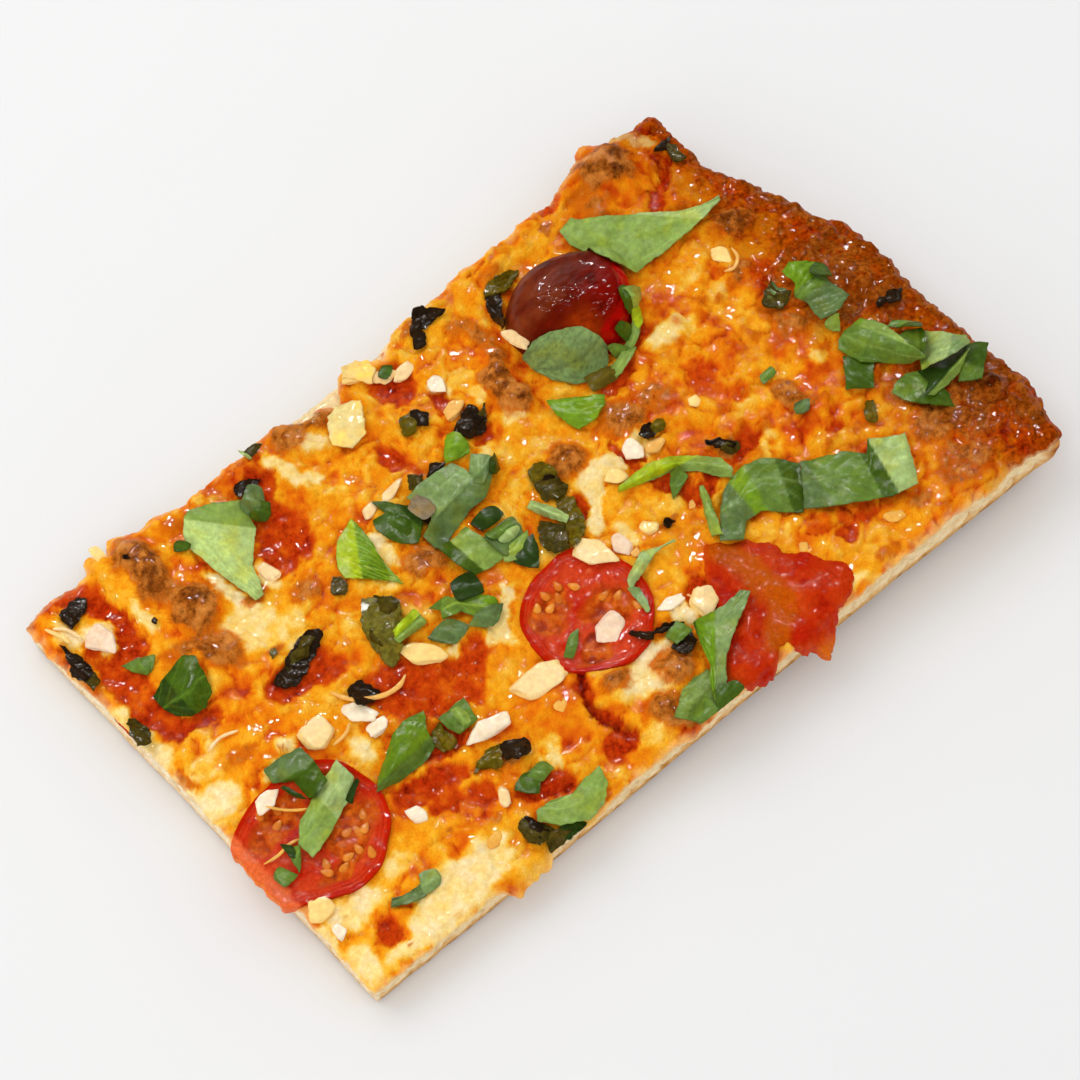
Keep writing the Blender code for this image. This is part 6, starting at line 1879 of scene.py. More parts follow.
# smaller fresh pieces: corners, bows, middle height, green, options
BITS = (
    ((-80, 30.6), (-77.6, 25.6), (-76.4, 25.6), (-73.4, 28.0),
     (.2, .2, 0, .2), 0.6, "mid"),
    ((-56.4, 42.2), (-54.4, 40.6), (-53.0, 41.0), (-54.6, 43.8),
     (.4, .3, .2, .4), 0.8, "dark"),
    ((-40.6, 40.4), (-39.6, 35.4), (-35.0, 41.0), (-36.6, 43.4),
     (.4, .6, .4, .6), 1.2, "steel"),
    ((-40.6, 37.6), (-39.0, 34.8), (-36.0, 37.4), (-37.8, 40.4),
     (.3, .5, .3, .2), 1.6, "dark"),
    ((-4.8, 20.6), (0.6, 19.0), (1.6, 22.6), (-0.4, 25.0),
     (.3, .2, .4, .8), 1.2, "fresh"),
    ((-16.8, 18.0), (-16.2, 13.9), (-12.6, 14.4), (-13.6, 19.2),
     (.3, .3, .4, .5), 1.4, "withered"),
    ((0.2, 12.4), (2.2, 12.2), (3.9, 15.8), (2.4, 15.4),
     (.2, .3, .1, -.3), 2.2, "deep"),
    ((-10.2, 3.4), (-9.8, -2.6), (-5.0, -2.0), (-3.0, 3.0),
     (.3, .2, .4, .8), 0.9, "steel"),
    ((-10.0, 7.4), (-9.4, 4.4), (-4.0, 4.4), (-5.6, 8.0),
     (.3, .2, .4, .8), 1.0, "deep"),
    ((-9.8, 3.8), (-9.0, 1.6), (-4.4, 0.6), (-4.0, 2.6),
     (.1, .1, .2, .4), 2.0, "mid"),
    ((-8.6, 1.8), (-8.0, -0.4), (-4.0, -0.6), (-3.4, 1.6),
     (.3, .2, .4, .5), 2.4, "sage"),
    ((-11.0, -3.2), (-6.6, -5.6), (-3.0, -1.2), (-8.4, -1.4),
     (.3, .2, .2, .2), 1.4, "leafy"),
    ((-9.6, -4.4), (-7.0, -8.6), (-4.0, -5.4), (-2.8, -2.4),
     (.2, .4, .3, .2), 0.8, "deep"),
    ((-23.0, -3.2), (-18.0, -5.4), (-17.0, -0.4), (-21.8, 0.4),
     (.3, .3, .4, .4), 0.8, "deep"),
    ((-32.6, -5.2), (-29.6, -9.8), (-25.2, -8.8), (-27.0, -4.6),
     (.3, .3, .3, .3), 0.7, "steel"),
    ((-25.2, -8.4), (-21.6, -12.0), (-17.0, -9.8), (-19.6, -8.0),
     (.3, .4, .3, .2), 0.6, "steel"),
    ((-37.4, -2.2), (-30.6, -2.6), (-30.4, -0.4), (-37.2, -0.6),
     (.2, .1, .1, .1), 1.8, "leafy"),
    ((-37.0, -1.0), (-30.6, -0.6), (-30.4, 1.4), (-36.4, 0.4),
     (.1, .1, .1, .2), 2.0, "lime"),
    ((0.3, 2.4), (3.8, -5.4), (5.2, -4.4), (2.0, 3.0),
     (.1, .3, .1, .3), 2.0, "sage"),
    ((-42.8, -19.0), (-41.6, -24.2), (-37.0, -24.0), (-36.2, -19.4),
     (.1, .1, .1, .1), 0.8, "mid"),
    ((-40.8, -19.2), (-40.2, -23.6), (-37.8, -23.8), (-37.0, -19.2),
     (.1, .1, .1, .1), 1.3, "leafy"),
    ((-41.8, -39.6), (-38.8, -43.4), (-36.2, -41.0), (-38.0, -38.4),
     (.3, .3, .1, .3), 0.8, "dark"),
    ((-38.8, -38.8), (-36.8, -42.0), (-33.4, -41.4), (-34.0, -39.0),
     (.2, .2, .1, .2), 1.0, "mid"),
    ((-74.4, -41.4), (-68.0, -44.2), (-67.4, -41.6), (-73.0, -40.4),
     (.2, .2, 0, -.3), 0.7, "steel"),
    ((-68.6, -43.8), (-65.0, -44.2), (-63.2, -41.4), (-66.4, -40.0),
     (.0, .2, .4, .3), 0.9, "grey"),
    ((-86.4, -22.0), (-86.0, -25.0), (-82.8, -24.8), (-84.4, -21.0),
     (.3, .3, .2, .2), 0.4, "mid"),
    ((-82.4, -24.6), (-80.2, -22.4), (-78.6, -20.4), (-81.4, -20.0),
     (.1, .1, .1, .3), 0.8, "mid"),
    ((-81.6, -20.6), (-80.6, -22.2), (-79.8, -19.6), (-81.2, -17.8),
     (.1, .1, .1, .1), 0.8, "deep"),
    ((-72.6, -13.4), (-71.6, -14.4), (-73.0, -9.4), (-73.8, -9.4),
     (.1, .1, .1, .1), 0.5, "deep"),
    ((-66.0, -21.0), (-62.0, -18.2), (-61.8, -17.4), (-66.4, -19.6),
     (.1, .1, .1, .1), 0.6, "deep"),
    ((-16.4, -26.0), (-15.2, -27.4), (-10.0, -23.6), (-12.2, -23.4),
     (.1, .1, .1, .1), 0.5, "mid"),
    ((2.0, -30.0), (3.0, -29.8), (4.6, -25.0), (2.8, -23.6),
     (.1, .1, .1, .1), 0.5, "grey"),
    ((2.8, -24.6), (11.4, -22.2), (10.4, -19.8), (4.6, -22.0),
     (.2, -.2, .1, .1), 1.2, "sage"),
    ((9.8, -22.2), (16.6, -22.6), (16.4, -22.2), (10.4, -19.8),
     (.1, -.5, .1, -.3), 1.5, "sage"),
    ((1.0, -36.0), (1.6, -38.6), (5.8, -38.4), (4.8, -35.2),
     (.2, .1, .1, .3), 1.0, "mid"),
    ((-1.6, 44.0), (-0.4, 42.4), (2.2, 44.0), (0.6, 45.2),
     (.3, .3, .3, .3), 0.5, "dark"),
    ((22.4, -26.8), (24.2, -28.0), (29.2, -17.6), (27.8, -17.8),
     (.1, -.3, .1, .4), 1.4, "leafy"),
    ((22.6, -15.8), (28.4, -14.0), (28.4, -11.0), (26.0, -11.2),
     (.1, .2, .1, -.2), 0.7, "mid"),
    ((53.4, -9.6), (57.2, -9.4), (57.2, -7.6), (54.0, -7.6),
     (.2, .1, .1, .1), 0.3, "mid"),
    ((53.2, -18.6), (55.8, -19.6), (57.6, -18.0), (54.8, -16.8),
     (.2, .2, .2, .2), 0.3, "steel"),
    ((71.4, -8.8), (73.0, -11.4), (75.4, -8.0), (72.4, -7.6),
     (.2, .2, .1, .1), 0.8, "leafy"),
    ((77.6, 2.6), (80.6, -1.2), (81.4, 0.6), (80.4, 3.4),
     (.2, .3, .2, .2), 0.5, "dark"),
    ((-2.6, -54.0), (4.6, -54.0), (4.8, -51.6), (0.2, -50.4),
     (.2, .1, .2, .2), 0.4, "dark"),
    ((-6.4, -53.6), (-2.0, -53.6), (-2.0, -50.0), (-7.4, -51.0),
     (.2, .2, .2, .2), 0.3, "mid"),
    ((27.6, 12.4), (33.6, 11.2), (34.2, 14.2), (28.4, 16.0),
     (.2, .3, .1, .1), 0.4, "olive"),
    ((33.0, 11.4), (40.6, 13.8), (38.6, 15.4), (34.0, 14.2),
     (.1, .4, .1, -.3), 0.9, "leafy"),
    ((36.0, 15.0), (39.6, 14.6), (38.2, 17.2), (36.2, 17.8),
     (.2, .1, .1, .1), 1.2, "mid"),
    ((39.4, 14.0), (45.6, 17.4), (44.2, 18.6), (38.8, 15.6),
     (.1, .5, .1, -.3), 1.6, "leafy"),
    ((40.4, 15.4), (43.2, 17.2), (42.4, 20.0), (40.2, 19.4),
     (.3, .1, .3, .3), 2.4, "dark"),
    ((43.0, 16.6), (46.2, 17.6), (47.4, 20.6), (45.8, 20.8),
     (.1, .4, .1, -.3), 1.8, "lime"),
    ((44.6, 20.2), (46.6, 20.0), (48.6, 25.0), (46.6, 25.4),
     (.1, .1, .3, .5), 2.6, "dark"),
    ((46.2, 20.6), (47.6, 20.4), (50.8, 23.4), (47.4, 25.4),
     (.1, .2, .2, .1), 2.8, "leafy"),
    ((-32.9, 49.2), (-32.4, 47.2), (-31.8, 47.8), (-33.0, 50.6),
     (.1, .1, .1, .1), 1.2, "sage"),
    ((-32.4, 49.4), (-31.8, 47.7), (-28.6, 48.4), (-29.6, 49.5),
     (.1, .1, .1, .1), 0.8, "drab"),
)
# dried, charred or wilted pieces
CHARS = (
    ((-82.2, 46.8), (-81.2, 43.2), (-76.4, 45.0), (-77.0, 47.6),
     (.3, .3, .3, .4), 0.6, "char"),
    ((-87.4, 35.6), (-86.4, 32.8), (-84.0, 34.4), (-85.4, 41.6),
     (.2, .3, .4, .2), 0.3, "char"),
    ((-86.9, 33.6), (-86.9, 30.0), (-85.2, 30.6), (-84.6, 34.0),
     (.2, .1, .1, .1), 0.2, "drab"),
    ((-88.0, 15.6), (-85.6, 14.8), (-84.4, 17.2), (-85.8, 21.0),
     (.4, .2, .3, .3), 0.1, "drab"),
    ((-69.6, 33.4), (-69.2, 32.6), (-68.4, 33.0), (-68.8, 33.8),
     (.1, .1, .1, .1), 0.2, "char"),
    ((-39.8, 43.6), (-38.6, 42.4), (-33.4, 42.8), (-38.2, 45.0),
     (.3, .2, .2, .4), 0.9, "char"),
    ((-39.8, 14.8), (-38.8, 12.4), (-36.0, 14.2), (-37.8, 17.0),
     (.3, .3, .3, .3), 0.4, "drab"),
    ((-60.6, 7.6), (-56.6, 4.6), (-46.4, 9.6), (-48.8, 12.0),
     (.6, 1.3, .4, .2), 0.8, "char"),
    ((-58.0, 8.4), (-55.0, 7.2), (-47.2, 10.4), (-49.2, 11.6),
     (.3, .2, .2, .4), 1.3, "drab"),
    ((-51.4, -3.0), (-50.6, -7.6), (-47.0, -7.4), (-48.6, -2.4),
     (.4, .5, .4, .4), 0.6, "char"),
    ((-42.4, -3.6), (-40.2, -5.4), (-31.4, 4.4), (-36.6, 9.6),
     (1.4, 1.0, .8, .9), 1.6, "cooked"),
    ((-37.0, 4.4), (-34.6, 2.6), (-31.8, 4.6), (-34.2, 8.4),
     (.3, .4, .4, .4), 2.2, "drab"),
    ((-41.6, 1.6), (-40.6, -3.2), (-39.2, -1.4), (-38.2, 5.6),
     (.5, .2, .1, .2), 1.5, "drab"),
    ((-46.8, -21.4), (-46.2, -24.8), (-43.4, -25.4), (-43.0, -20.0),
     (.3, .3, .3, .4), 0.8, "olive"),
    ((-45.2, -31.8), (-40.2, -34.0), (-37.4, -31.4), (-40.4, -30.2),
     (.1, .4, .2, .3), 0.8, "olive"),
    ((-38.8, -34.2), (-34.0, -36.0), (-33.0, -33.2), (-37.4, -30.8),
     (.3, .4, .4, .3), 1.0, "char"),
    ((-47.0, -46.4), (-46.2, -50.8), (-41.6, -51.4), (-44.6, -44.6),
     (.2, .3, .2, .3), 0.7, "drab"),
    ((-45.4, -46.0), (-44.6, -50.0), (-42.6, -50.4), (-43.8, -45.0),
     (.2, .2, .2, .2), 1.3, "char"),
    ((-45.0, -53.4), (-41.0, -53.9), (-39.6, -51.6), (-43.4, -50.4),
     (.2, .2, .2, .2), 0.4, "drab"),
    ((-41.4, -54.0), (-36.2, -53.6), (-37.0, -51.2), (-40.8, -51.0),
     (.2, .2, .2, .2), 0.4, "deep"),
    ((-6.8, 30.8), (-4.6, 29.6), (-1.8, 32.4), (-4.4, 34.2),
     (.4, .3, .3, .5), 0.8, "olive"),
    ((-3.4, 31.0), (-1.6, 29.4), (0.4, 31.4), (-2.0, 33.8),
     (.4, .3, .3, .4), 1.2, "char"),
    ((1.0, 24.6), (3.0, 21.0), (8.2, 22.6), (7.0, 27.0),
     (.4, .5, .4, .5), 0.6, "char"),
    ((2.0, 22.4), (5.0, 20.6), (7.4, 21.8), (5.0, 24.0),
     (.3, .3, .3, .3), 1.0, "char"),
    ((7.0, 24.4), (7.8, 22.8), (10.2, 25.0), (9.4, 24.9),
     (.1, .2, .1, .2), 0.9, "drab"),
    ((-13.6, 20.6), (-11.6, 20.0), (-9.8, 21.8), (-12.2, 23.6),
     (.3, .2, .3, .3), 0.6, "drab"),
    ((-9.8, 20.4), (-7.4, 19.8), (-4.8, 20.8), (-6.8, 22.2),
     (.2, .2, .2, .2), 0.6, "char"),
    ((-16.6, 16.4), (-15.8, 12.6), (-12.6, 14.8), (-13.6, 19.2),
     (.3, .3, .3, .3), 2.2, "drab"),
    ((-14.8, 17.4), (-14.6, 14.6), (-12.4, 15.8), (-12.8, 18.6),
     (.3, .3, .3, .3), 2.6, "steel"),
    ((-16.6, 13.8), (-15.4, 12.0), (-12.6, 13.6), (-14.0, 15.4),
     (.3, .3, .3, .3), 1.4, "char"),
    ((8.0, 43.8), (10.4, 42.8), (13.8, 48.6), (12.2, 49.2),
     (.3, .5, .2, .2), 0.7, "char"),
    ((11.8, 47.0), (13.6, 46.4), (18.6, 46.2), (14.0, 51.0),
     (.4, .4, .4, .3), 0.8, "char"),
    ((24.2, 36.0), (26.4, 38.4), (30.4, 42.4), (26.6, 43.8),
     (.4, .3, .2, .4), 0.8, "char"),
    ((26.4, 43.0), (30.6, 41.4), (35.4, 43.0), (31.0, 45.2),
     (.3, .4, .3, .4), 0.9, "olive"),
    ((24.0, 35.0), (25.4, 36.4), (26.6, 42.4), (24.8, 41.0),
     (.2, .2, .2, .2), 0.9, "char"),
    ((-3.4, -6.2), (0.8, -9.8), (3.0, -5.6), (0.2, -1.6),
     (.5, .6, .4, .4), 0.8, "drab"),
    ((1.6, -6.6), (5.6, -8.4), (8.6, -2.0), (5.8, -0.2),
     (.4, .6, .5, .4), 0.7, "olive"),
    ((3.6, 1.0), (8.6, -0.6), (9.2, 3.0), (5.0, 5.0),
     (.4, .4, .5, .4), 0.9, "drab"),
    ((5.0, 4.2), (9.4, 3.6), (9.6, 7.2), (6.0, 8.0),
     (.4, .4, .4, .5), 0.8, "olive"),
    ((5.8, 2.4), (8.2, 1.4), (8.8, 4.0), (6.4, 5.0),
     (.3, .3, .3, .3), 1.6, "char"),
    ((1.4, -9.6), (4.4, -9.8), (5.6, -7.4), (2.8, -6.6),
     (.3, .3, .3, .3), 1.0, "olive"),
    ((27.4, -1.6), (29.4, -3.4), (31.2, -0.4), (29.0, 0.0),
     (.3, .3, .3, .3), 0.5, "char"),
    ((29.4, -2.0), (32.2, -3.2), (33.2, -1.8), (31.2, -0.9),
     (.3, .3, .3, .3), 0.6, "olive"),
    ((35.6, -11.2), (39.2, -15.4), (40.2, -15.0), (36.2, -10.8),
     (.2, .3, .2, .2), 0.5, "char"),
    ((37.0, -14.4), (38.4, -17.0), (40.6, -15.6), (39.4, -13.8),
     (.2, .3, .2, .2), 0.4, "drab"),
    ((65.8, 3.6), (68.4, 0.2), (72.2, 2.2), (71.2, 6.6),
     (.2, .4, .4, -1.2), 0.6, "drab"),
    ((67.6, 4.4), (69.4, 1.4), (71.8, 3.0), (70.8, 6.0),
     (.3, .3, .3, -.4), 1.1, "steel"),
    ((62.6, -29.8), (64.0, -30.4), (66.6, -26.8), (64.8, -26.0),
     (.3, .2, .3, .3), 0.2, "olive"),
    ((82.8, -12.2), (84.6, -13.2), (85.0, -11.8), (83.4, -11.2),
     (.2, .2, .1, .2), 0.4, "char"),
    ((84.6, -13.4), (87.4, -14.6), (89.0, -12.4), (86.0, -11.4),
     (.3, .3, .3, .3), 0.6, "char"),
    ((74.8, 44.8), (76.6, 43.6), (79.8, 44.6), (77.6, 45.2),
     (.1, .2, .1, .1), 0.7, "char"),
    ((76.8, 39.8), (78.4, 38.8), (79.0, 43.4), (77.8, 44.8),
     (.3, .2, .2, .1), 0.6, "drab"),
    ((-4.0, -30.4), (-1.4, -35.0), (-0.2, -34.0), (-1.4, -32.0),
     (.2, .1, .1, .2), 0.8, "char"),
    ((-1.2, -33.8), (2.4, -35.4), (5.8, -36.4), (1.6, -33.4),
     (.1, .2, .1, .3), 0.7, "char"),
    ((0.4, -38.2), (1.6, -41.4), (5.0, -40.4), (5.2, -38.2),
     (.2, .4, .2, .2), 0.2, "char"),
    ((17.0, -18.4), (17.8, -19.4), (19.6, -19.4), (18.6, -17.8),
     (.2, .1, .1, .2), 0.1, "char"),
    ((-57.6, 12.8), (-57.2, 11.6), (-56.0, 12.2), (-56.4, 13.8),
     (.2, .1, .1, .2), 0.1, "olive"),
    ((-64.6, 47.4), (-63.8, 46.8), (-63.4, 47.4), (-64.0, 47.8),
     (.1, .1, .1, .1), 0.1, "char"),
)
# chopped garlic and onion: x, y, half length, half width, turn, height, tone
GARLIC_PARTS = (
    ("garlic_1", -37.2, -27.0, 5.0, 2.4, -5, 3.2, "white"),
    ("garlic_2", -22.6, -26.0, 6.2, 3.2, -14, 3.0, "butter"),
    ("garlic_3", 3.3, -13.6, 4.8, 2.9, 115, 2.6, "butter"),
    ("garlic_4", 12.0, -35.6, 3.4, 2.8, 60, 3.2, "butter"),
    ("garlic_5", -61.4, -5.6, 3.8, 3.4, 20, 3.4, "butter"),
)
GARLIC_BITS = (
    (-36.0, -6.6, 4.8, 2.0, -48, 2.6, "butter"),
    (-52.8, -8.0, 3.4, 2.2, -62, 2.4, "white"),
    (-52.2, -12.6, 2.6, 1.7, 12, 2.0, "white"),
    (-58.6, -31.0, 2.4, 1.6, -60, 2.0, "white"),
    (-77.2, -9.6, 3.2, 1.8, 14, 2.0, "white"),
    (-84.4, -32.8, 3.4, 2.4, -20, 2.4, "butter"),
    (-84.6, -38.4, 1.9, 1.4, 70, 1.8, "white"),
    (3.2, 41.4, 3.0, 1.4, 10, 1.6, "cream"),
    (5.8, 34.6, 1.6, 2.6, 8, 1.8, "white"),
    (4.2, 28.2, 3.0, 1.7, 24, 2.4, "toasted"),
    (-22.8, 22.8, 2.2, 1.3, 20, 1.6, "cream"),
    (-17.0, 23.2, 3.4, 1.2, 8, 1.4, "cream"),
    (8.4, -16.0, 2.0, 2.6, 20, 1.6, "pink"),
    (9.2, -19.2, 1.2, .9, 0, 1.0, "toasted"),
    (14.8, -17.2, 2.2, 1.6, -30, 2.0, "butter"),
    (-6.0, -27.6, 3.8, 2.9, 20, 1.8, "pink"),
    (-44.2, -39.6, 2.4, 1.3, 55, 1.6, "cream"),
    (24.4, -2.6, 2.2, 2.6, 20, 1.8, "white"),
    (28.2, -4.8, 2.4, 1.6, -10, 1.8, "toasted"),
    (68.0, 17.2, 1.8, 2.6, 14, 1.2, "butter"),
    (24.2, 31.4, 1.4, 3.4, 14, 1.6, "cream"),
    (-79.2, 37.4, 2.8, 3.6, 10, 1.2, "pink"),
    (-68.2, 52.2, 1.2, 2.6, 0, .8, "butter"),
    (-46.2, 26.6, 1.8, 2.8, 8, 1.0, "cream"),
    (-4.6, 48.2, 3.6, 2.2, 20, 2.2, "butter"),
    (-2.0, 46.0, 1.6, 1.0, -10, 1.2, "white"),
    (17.6, -4.4, 2.6, 1.8, -20, 1.6, "butter"),
    (-51.4, -44.6, 2.2, 1.4, 20, .9, "glass"),
    (40.8, -2.8, 1.5, 1.5, 0, 1.0, "butter"),
    (-23.6, -33.0, 1.6, 1.4, 0, .8, "glass"),
    (51.6, -47.6, 2.4, 1.2, -30, 1.0, "glass"),
    (34.0, -40.4, 1.4, 1.0, 30, .9, "glass"),
    (6.8, -31.6, 3.0, 1.6, -10, 1.4, "white"),
)
GARLIC_TONES = {
    "white": srgb(252, 234, 198), "butter": srgb(252, 216, 130),
    "cream": srgb(250, 216, 154), "toasted": srgb(242, 184, 94),
    "pink": srgb(246, 216, 180), "glass": srgb(242, 180, 78),
    "flake": srgb(240, 216, 138),
}
# thin broken flakes of pale cheese: four sides of the outline, heights, tone
FLAKES = (
    ((((-18.6, 39.0), (-16.2, 35.6)), ((-12.0, 36.0), (-9.8, 39.4)),
      ((-7.4, 42.4), (-12.5, 44.6)), ((-15.2, 44.0), (-17.4, 41.2))),
     (0.9, 0.5, 0.9), "flake"),
    ((((-6.8, 48.7), (-5.6, 46.4)), ((-3.5, 43.8), (-1.1, 45.3)),
      ((-0.7, 48.2), (-3.0, 49.8)), ((-5.5, 50.7),)),
     (0.6, 0.2, 0.6), "butter"),
    ((((-4.0, 44.6), (-1.6, 42.0)), ((2.4, 41.6),),
      ((1.2, 43.6),), ((-1.2, 45.2),)), (0.5, 0.3, 0.5), "cream"),
)
# thin shreds: radius, points seen with height above what they lie on
SHREDS = (
    (0.42, ((-54.0, -1.0, .5), (-52.6, -3.8, .5), (-50.0, -6.6, .7),
            (-46.6, -8.5, .7), (-43.4, -8.9, .6), (-41.0, -8.0, .5)),
     "toasted"),
    (0.26, ((-86.2, -18.8, .5), (-83.0, -19.3, .6), (-80.2, -19.0, .6),
            (-77.6, -19.6, .5)), "glass"),
    (0.24, ((-78.2, -10.2, .4), (-76.6, -12.8, .6), (-74.6, -14.8, .6),
            (-72.8, -16.0, .5)), "glass"),
    (0.30, ((65.6, 14.4, .4), (67.6, 13.6, .6), (70.0, 15.0, .6),
            (70.6, 17.4, .4)), "toasted"),
    (0.3, ((-60.8, -9.6, .3), (-57.6, -9.4, .5), (-55.4, -8.2, .4)),
     "toasted"),
    (0.28, ((-72.0, 5.0, .4), (-75.6, 6.2, .5), (-79.0, 5.6, .5)),
     "cream"),
    (0.3, ((-84.4, 45.4, .4), (-82.6, 43.6, .6), (-81.6, 40.4, .5)),
     "cream"),
    (0.34, ((-85.6, 46.4, .4), (-84.2, 43.0, .6), (-83.8, 40.6, .3)),
     "butter"),
)
SEEDS = (                       # x, y, turn, shade
    (-12.8, -14.6, 60, .9), (-10.0, -13.8, 100, .5), (-11.0, -16.6, 20, .9),
    (-6.8, -14.0, 80, .3), (-8.4, -16.0, 70, .3), (-4.6, -16.2, 110, .8),
    (-67.6, -26.2, 30, .8), (-68.9, -25.8, 80, .5), (-73.6, -28.4, 0, .7),
    (-77.6, -26.6, 60, .5), (-75.6, -29.4, 20, .6), (-71.2, -28.4, 80, .6),
    (-70.6, -24.6, 10, .5), (-78.6, -28.0, 120, .6), (-80.4, -10.8, 70, .3),
    (-77.4, -12.2, 90, .3), (-79.2, -14.6, 20, .5), (-69.8, -30.6, 60, .6),
    (-66.0, -23.8, 60, .4), (0.6, -23.4, 20, .6), (-1.6, -21.6, 0, .5),
    (1.8, -27.4, 90, .6),
)


# ---- putting it together --------------------------------------------------------
def materials():
    m = {}
    m["cheese"] = food_material(
        "baked_cheese", ((480.0, 0.0006, 0.34), (1700.0, 0.0003, 0.60)),
        dark=0.95, light=1.05, speck=1300.0, coat=0.28, coat_rough=0.04,
        spec=0.0, rough_noise=0.12, warm=0.34, detail=1.0, dry=0.10)
    m["dough"] = food_material(
        "baked_crumb", ((900.0, 0.0004, 0.6), (2600.0, 0.0002, 0.5)),
        dark=0.92, light=1.06, speck=1500.0, spec=0.02, rough_noise=0.06,
        warm=0.25)
    m["sauce"] = food_material(
        "red_sauce", ((1500.0, 0.0003, 0.5),), coat=0.12, spec=0.0)
    m["tomato"] = food_material(
        "tomato_pulp", ((520.0, 0.0006, 0.34), (1500.0, 0.0003, 0.46)),
        dark=0.84, light=1.10, speck=1300.0, coat=0.22, coat_rough=0.04,
        spec=0.0, rough_noise=0.08, warm=0.4, detail=1.0)
    m["skin"] = food_material(
        "roasted_skin", ((260.0, 0.0006, 0.14), (900.0, 0.0002, 0.10)),
        dark=0.80, light=1.16, speck=500.0, coat=0.15, coat_rough=0.05,
        spec=0.06, rough_noise=0.05, warm=0.2, detail=1.0)
    m["garlic"] = food_material(
        "cooked_garlic", ((700.0, 0.0005, 0.24),), dark=0.90, light=1.05,
        speck=500.0, coat=0.15, coat_rough=0.08, spec=0.04, warm=0.22,
        detail=1.0)
    m["leaf"] = food_material(
        "fresh_leaf", ((1300.0, 0.0003, 0.34), (3600.0, 0.0001, 0.3)),
        dark=0.80, light=1.16, speck=900.0, spec=0.20, rough_noise=0.08,
        warm=0.14, detail=2.0)
    m["char"] = food_material(
        "dried_leaf", ((700.0, 0.0006, 0.6), (1600.0, 0.0003, 0.5)),
        dark=0.55, light=1.4, speck=900.0, coat=0.10, coat_rough=0.09,
        spec=0.10, rough_noise=0.12, warm=0.3, detail=1.0)
    m["seed"] = food_material(
        "tomato_seed", ((2000.0, 0.0002, 0.4),), dark=0.85, light=1.1,
        coat=0.2, coat_rough=0.08, spec=0.10, warm=0.3)
    return m


def build_seeds(ground, mat):
    heap = Heap()
    d, faces = BALL_SMALL
    for k, (x, y, turn, shade) in enumerate(SEEDS):
        ax, ay, az = ground.lie(np.array([float(x)]), np.array([float(y)]),
                                0.15)
        a = math.radians(turn + 7.0 * math.sin(3.0 * k))
        taper = 1.0 - 0.38 * d[:, 0]
        p, q = 1.28 * d[:, 0], 0.78 * d[:, 1] * taper
        px = ax[0] + p * math.cos(a) - q * math.sin(a)
        py = ay[0] + p * math.sin(a) + q * math.cos(a)
        pz = float(ground.sample(ground.z, ax, ay)[0]) + 0.1 \
            + 0.46 * d[:, 2] + 0.15 * p * math.sin(2.0 * k)
        c = mix(srgb(196, 84, 8), srgb(236, 152, 50), shade)
        # the lower half of each seed darker: painted shade beneath it
        c = lay(tinted(len(d), c), c * np.array((0.75, 0.5, 0.4)),
                0.8 * ramp(-d[:, 2], -0.5, 0.3))
        heap.add(np.stack([px, py, pz], -1), faces, c, 0.25)
    return heap.make("tomato_seeds", mat, "tomato_flesh")


def build_shreds(ground, mat):
    heap = Heap()
    for r, pts, tone in SHREDS:
        pts = np.array(pts, float)
        t = np.linspace(0, len(pts) - 1, 8 * len(pts))
        # smooth run through the points
        k = np.clip(np.floor(t).astype(int), 0, len(pts) - 2)
        f = (t - k)[:, None]
        p0 = pts[np.maximum(k - 1, 0)]
        p1, p2 = pts[k], pts[k + 1]
        p3 = pts[np.minimum(k + 2, len(pts) - 1)]
        line = 0.5 * ((2 * p1) + (p2 - p0) * f
                      + (2 * p0 - 5 * p1 + 4 * p2 - p3) * f ** 2
                      + (3 * p1 - p0 - 3 * p2 + p3) * f ** 3)
        x, y, z = ground.lie(line[:, 0], line[:, 1], line[:, 2])
        c = np.stack([x, y, z], -1)
        tan = np.gradient(c, axis=0)
        tan /= np.linalg.norm(tan, axis=1)[:, None] + 1e-9
        side = np.cross(tan, [0, 0, 1.0])
        side /= np.linalg.norm(side, axis=1)[:, None] + 1e-9
        up = np.cross(side, tan)
        nt, na = len(c), 10
        a = np.linspace(0, 2 * np.pi, na, endpoint=False)
        taper = np.minimum(1.0, 0.25 + 4.0 * np.minimum(
            np.linspace(0, 1, nt), np.linspace(1, 0, nt)))
        rad = r * taper * (1.0 + 0.15 * N1(np.arange(nt) / 4.0, r * 40, 1.0))
        ringp = (c[:, None, :] + rad[:, None, None] * (
            1.25 * np.cos(a)[None, :, None] * side[:, None, :]
            + 0.8 * np.sin(a)[None, :, None] * up[:, None, :]))
        idx = np.arange(nt * na).reshape(nt, na)
        faces = []
        for i in range(nt - 1):
            for j in range(na):
                j2 = (j + 1) % na
                faces.append((idx[i, j], idx[i, j2], idx[i + 1, j2],
                              idx[i + 1, j]))
        faces.append(tuple(idx[0, ::-1]))
        faces.append(tuple(idx[-1]))
        heap.add(ringp.reshape(-1, 3), faces, GARLIC_TONES[tone], 0.35)
    return heap.make("thin_shreds", mat, "garlic")


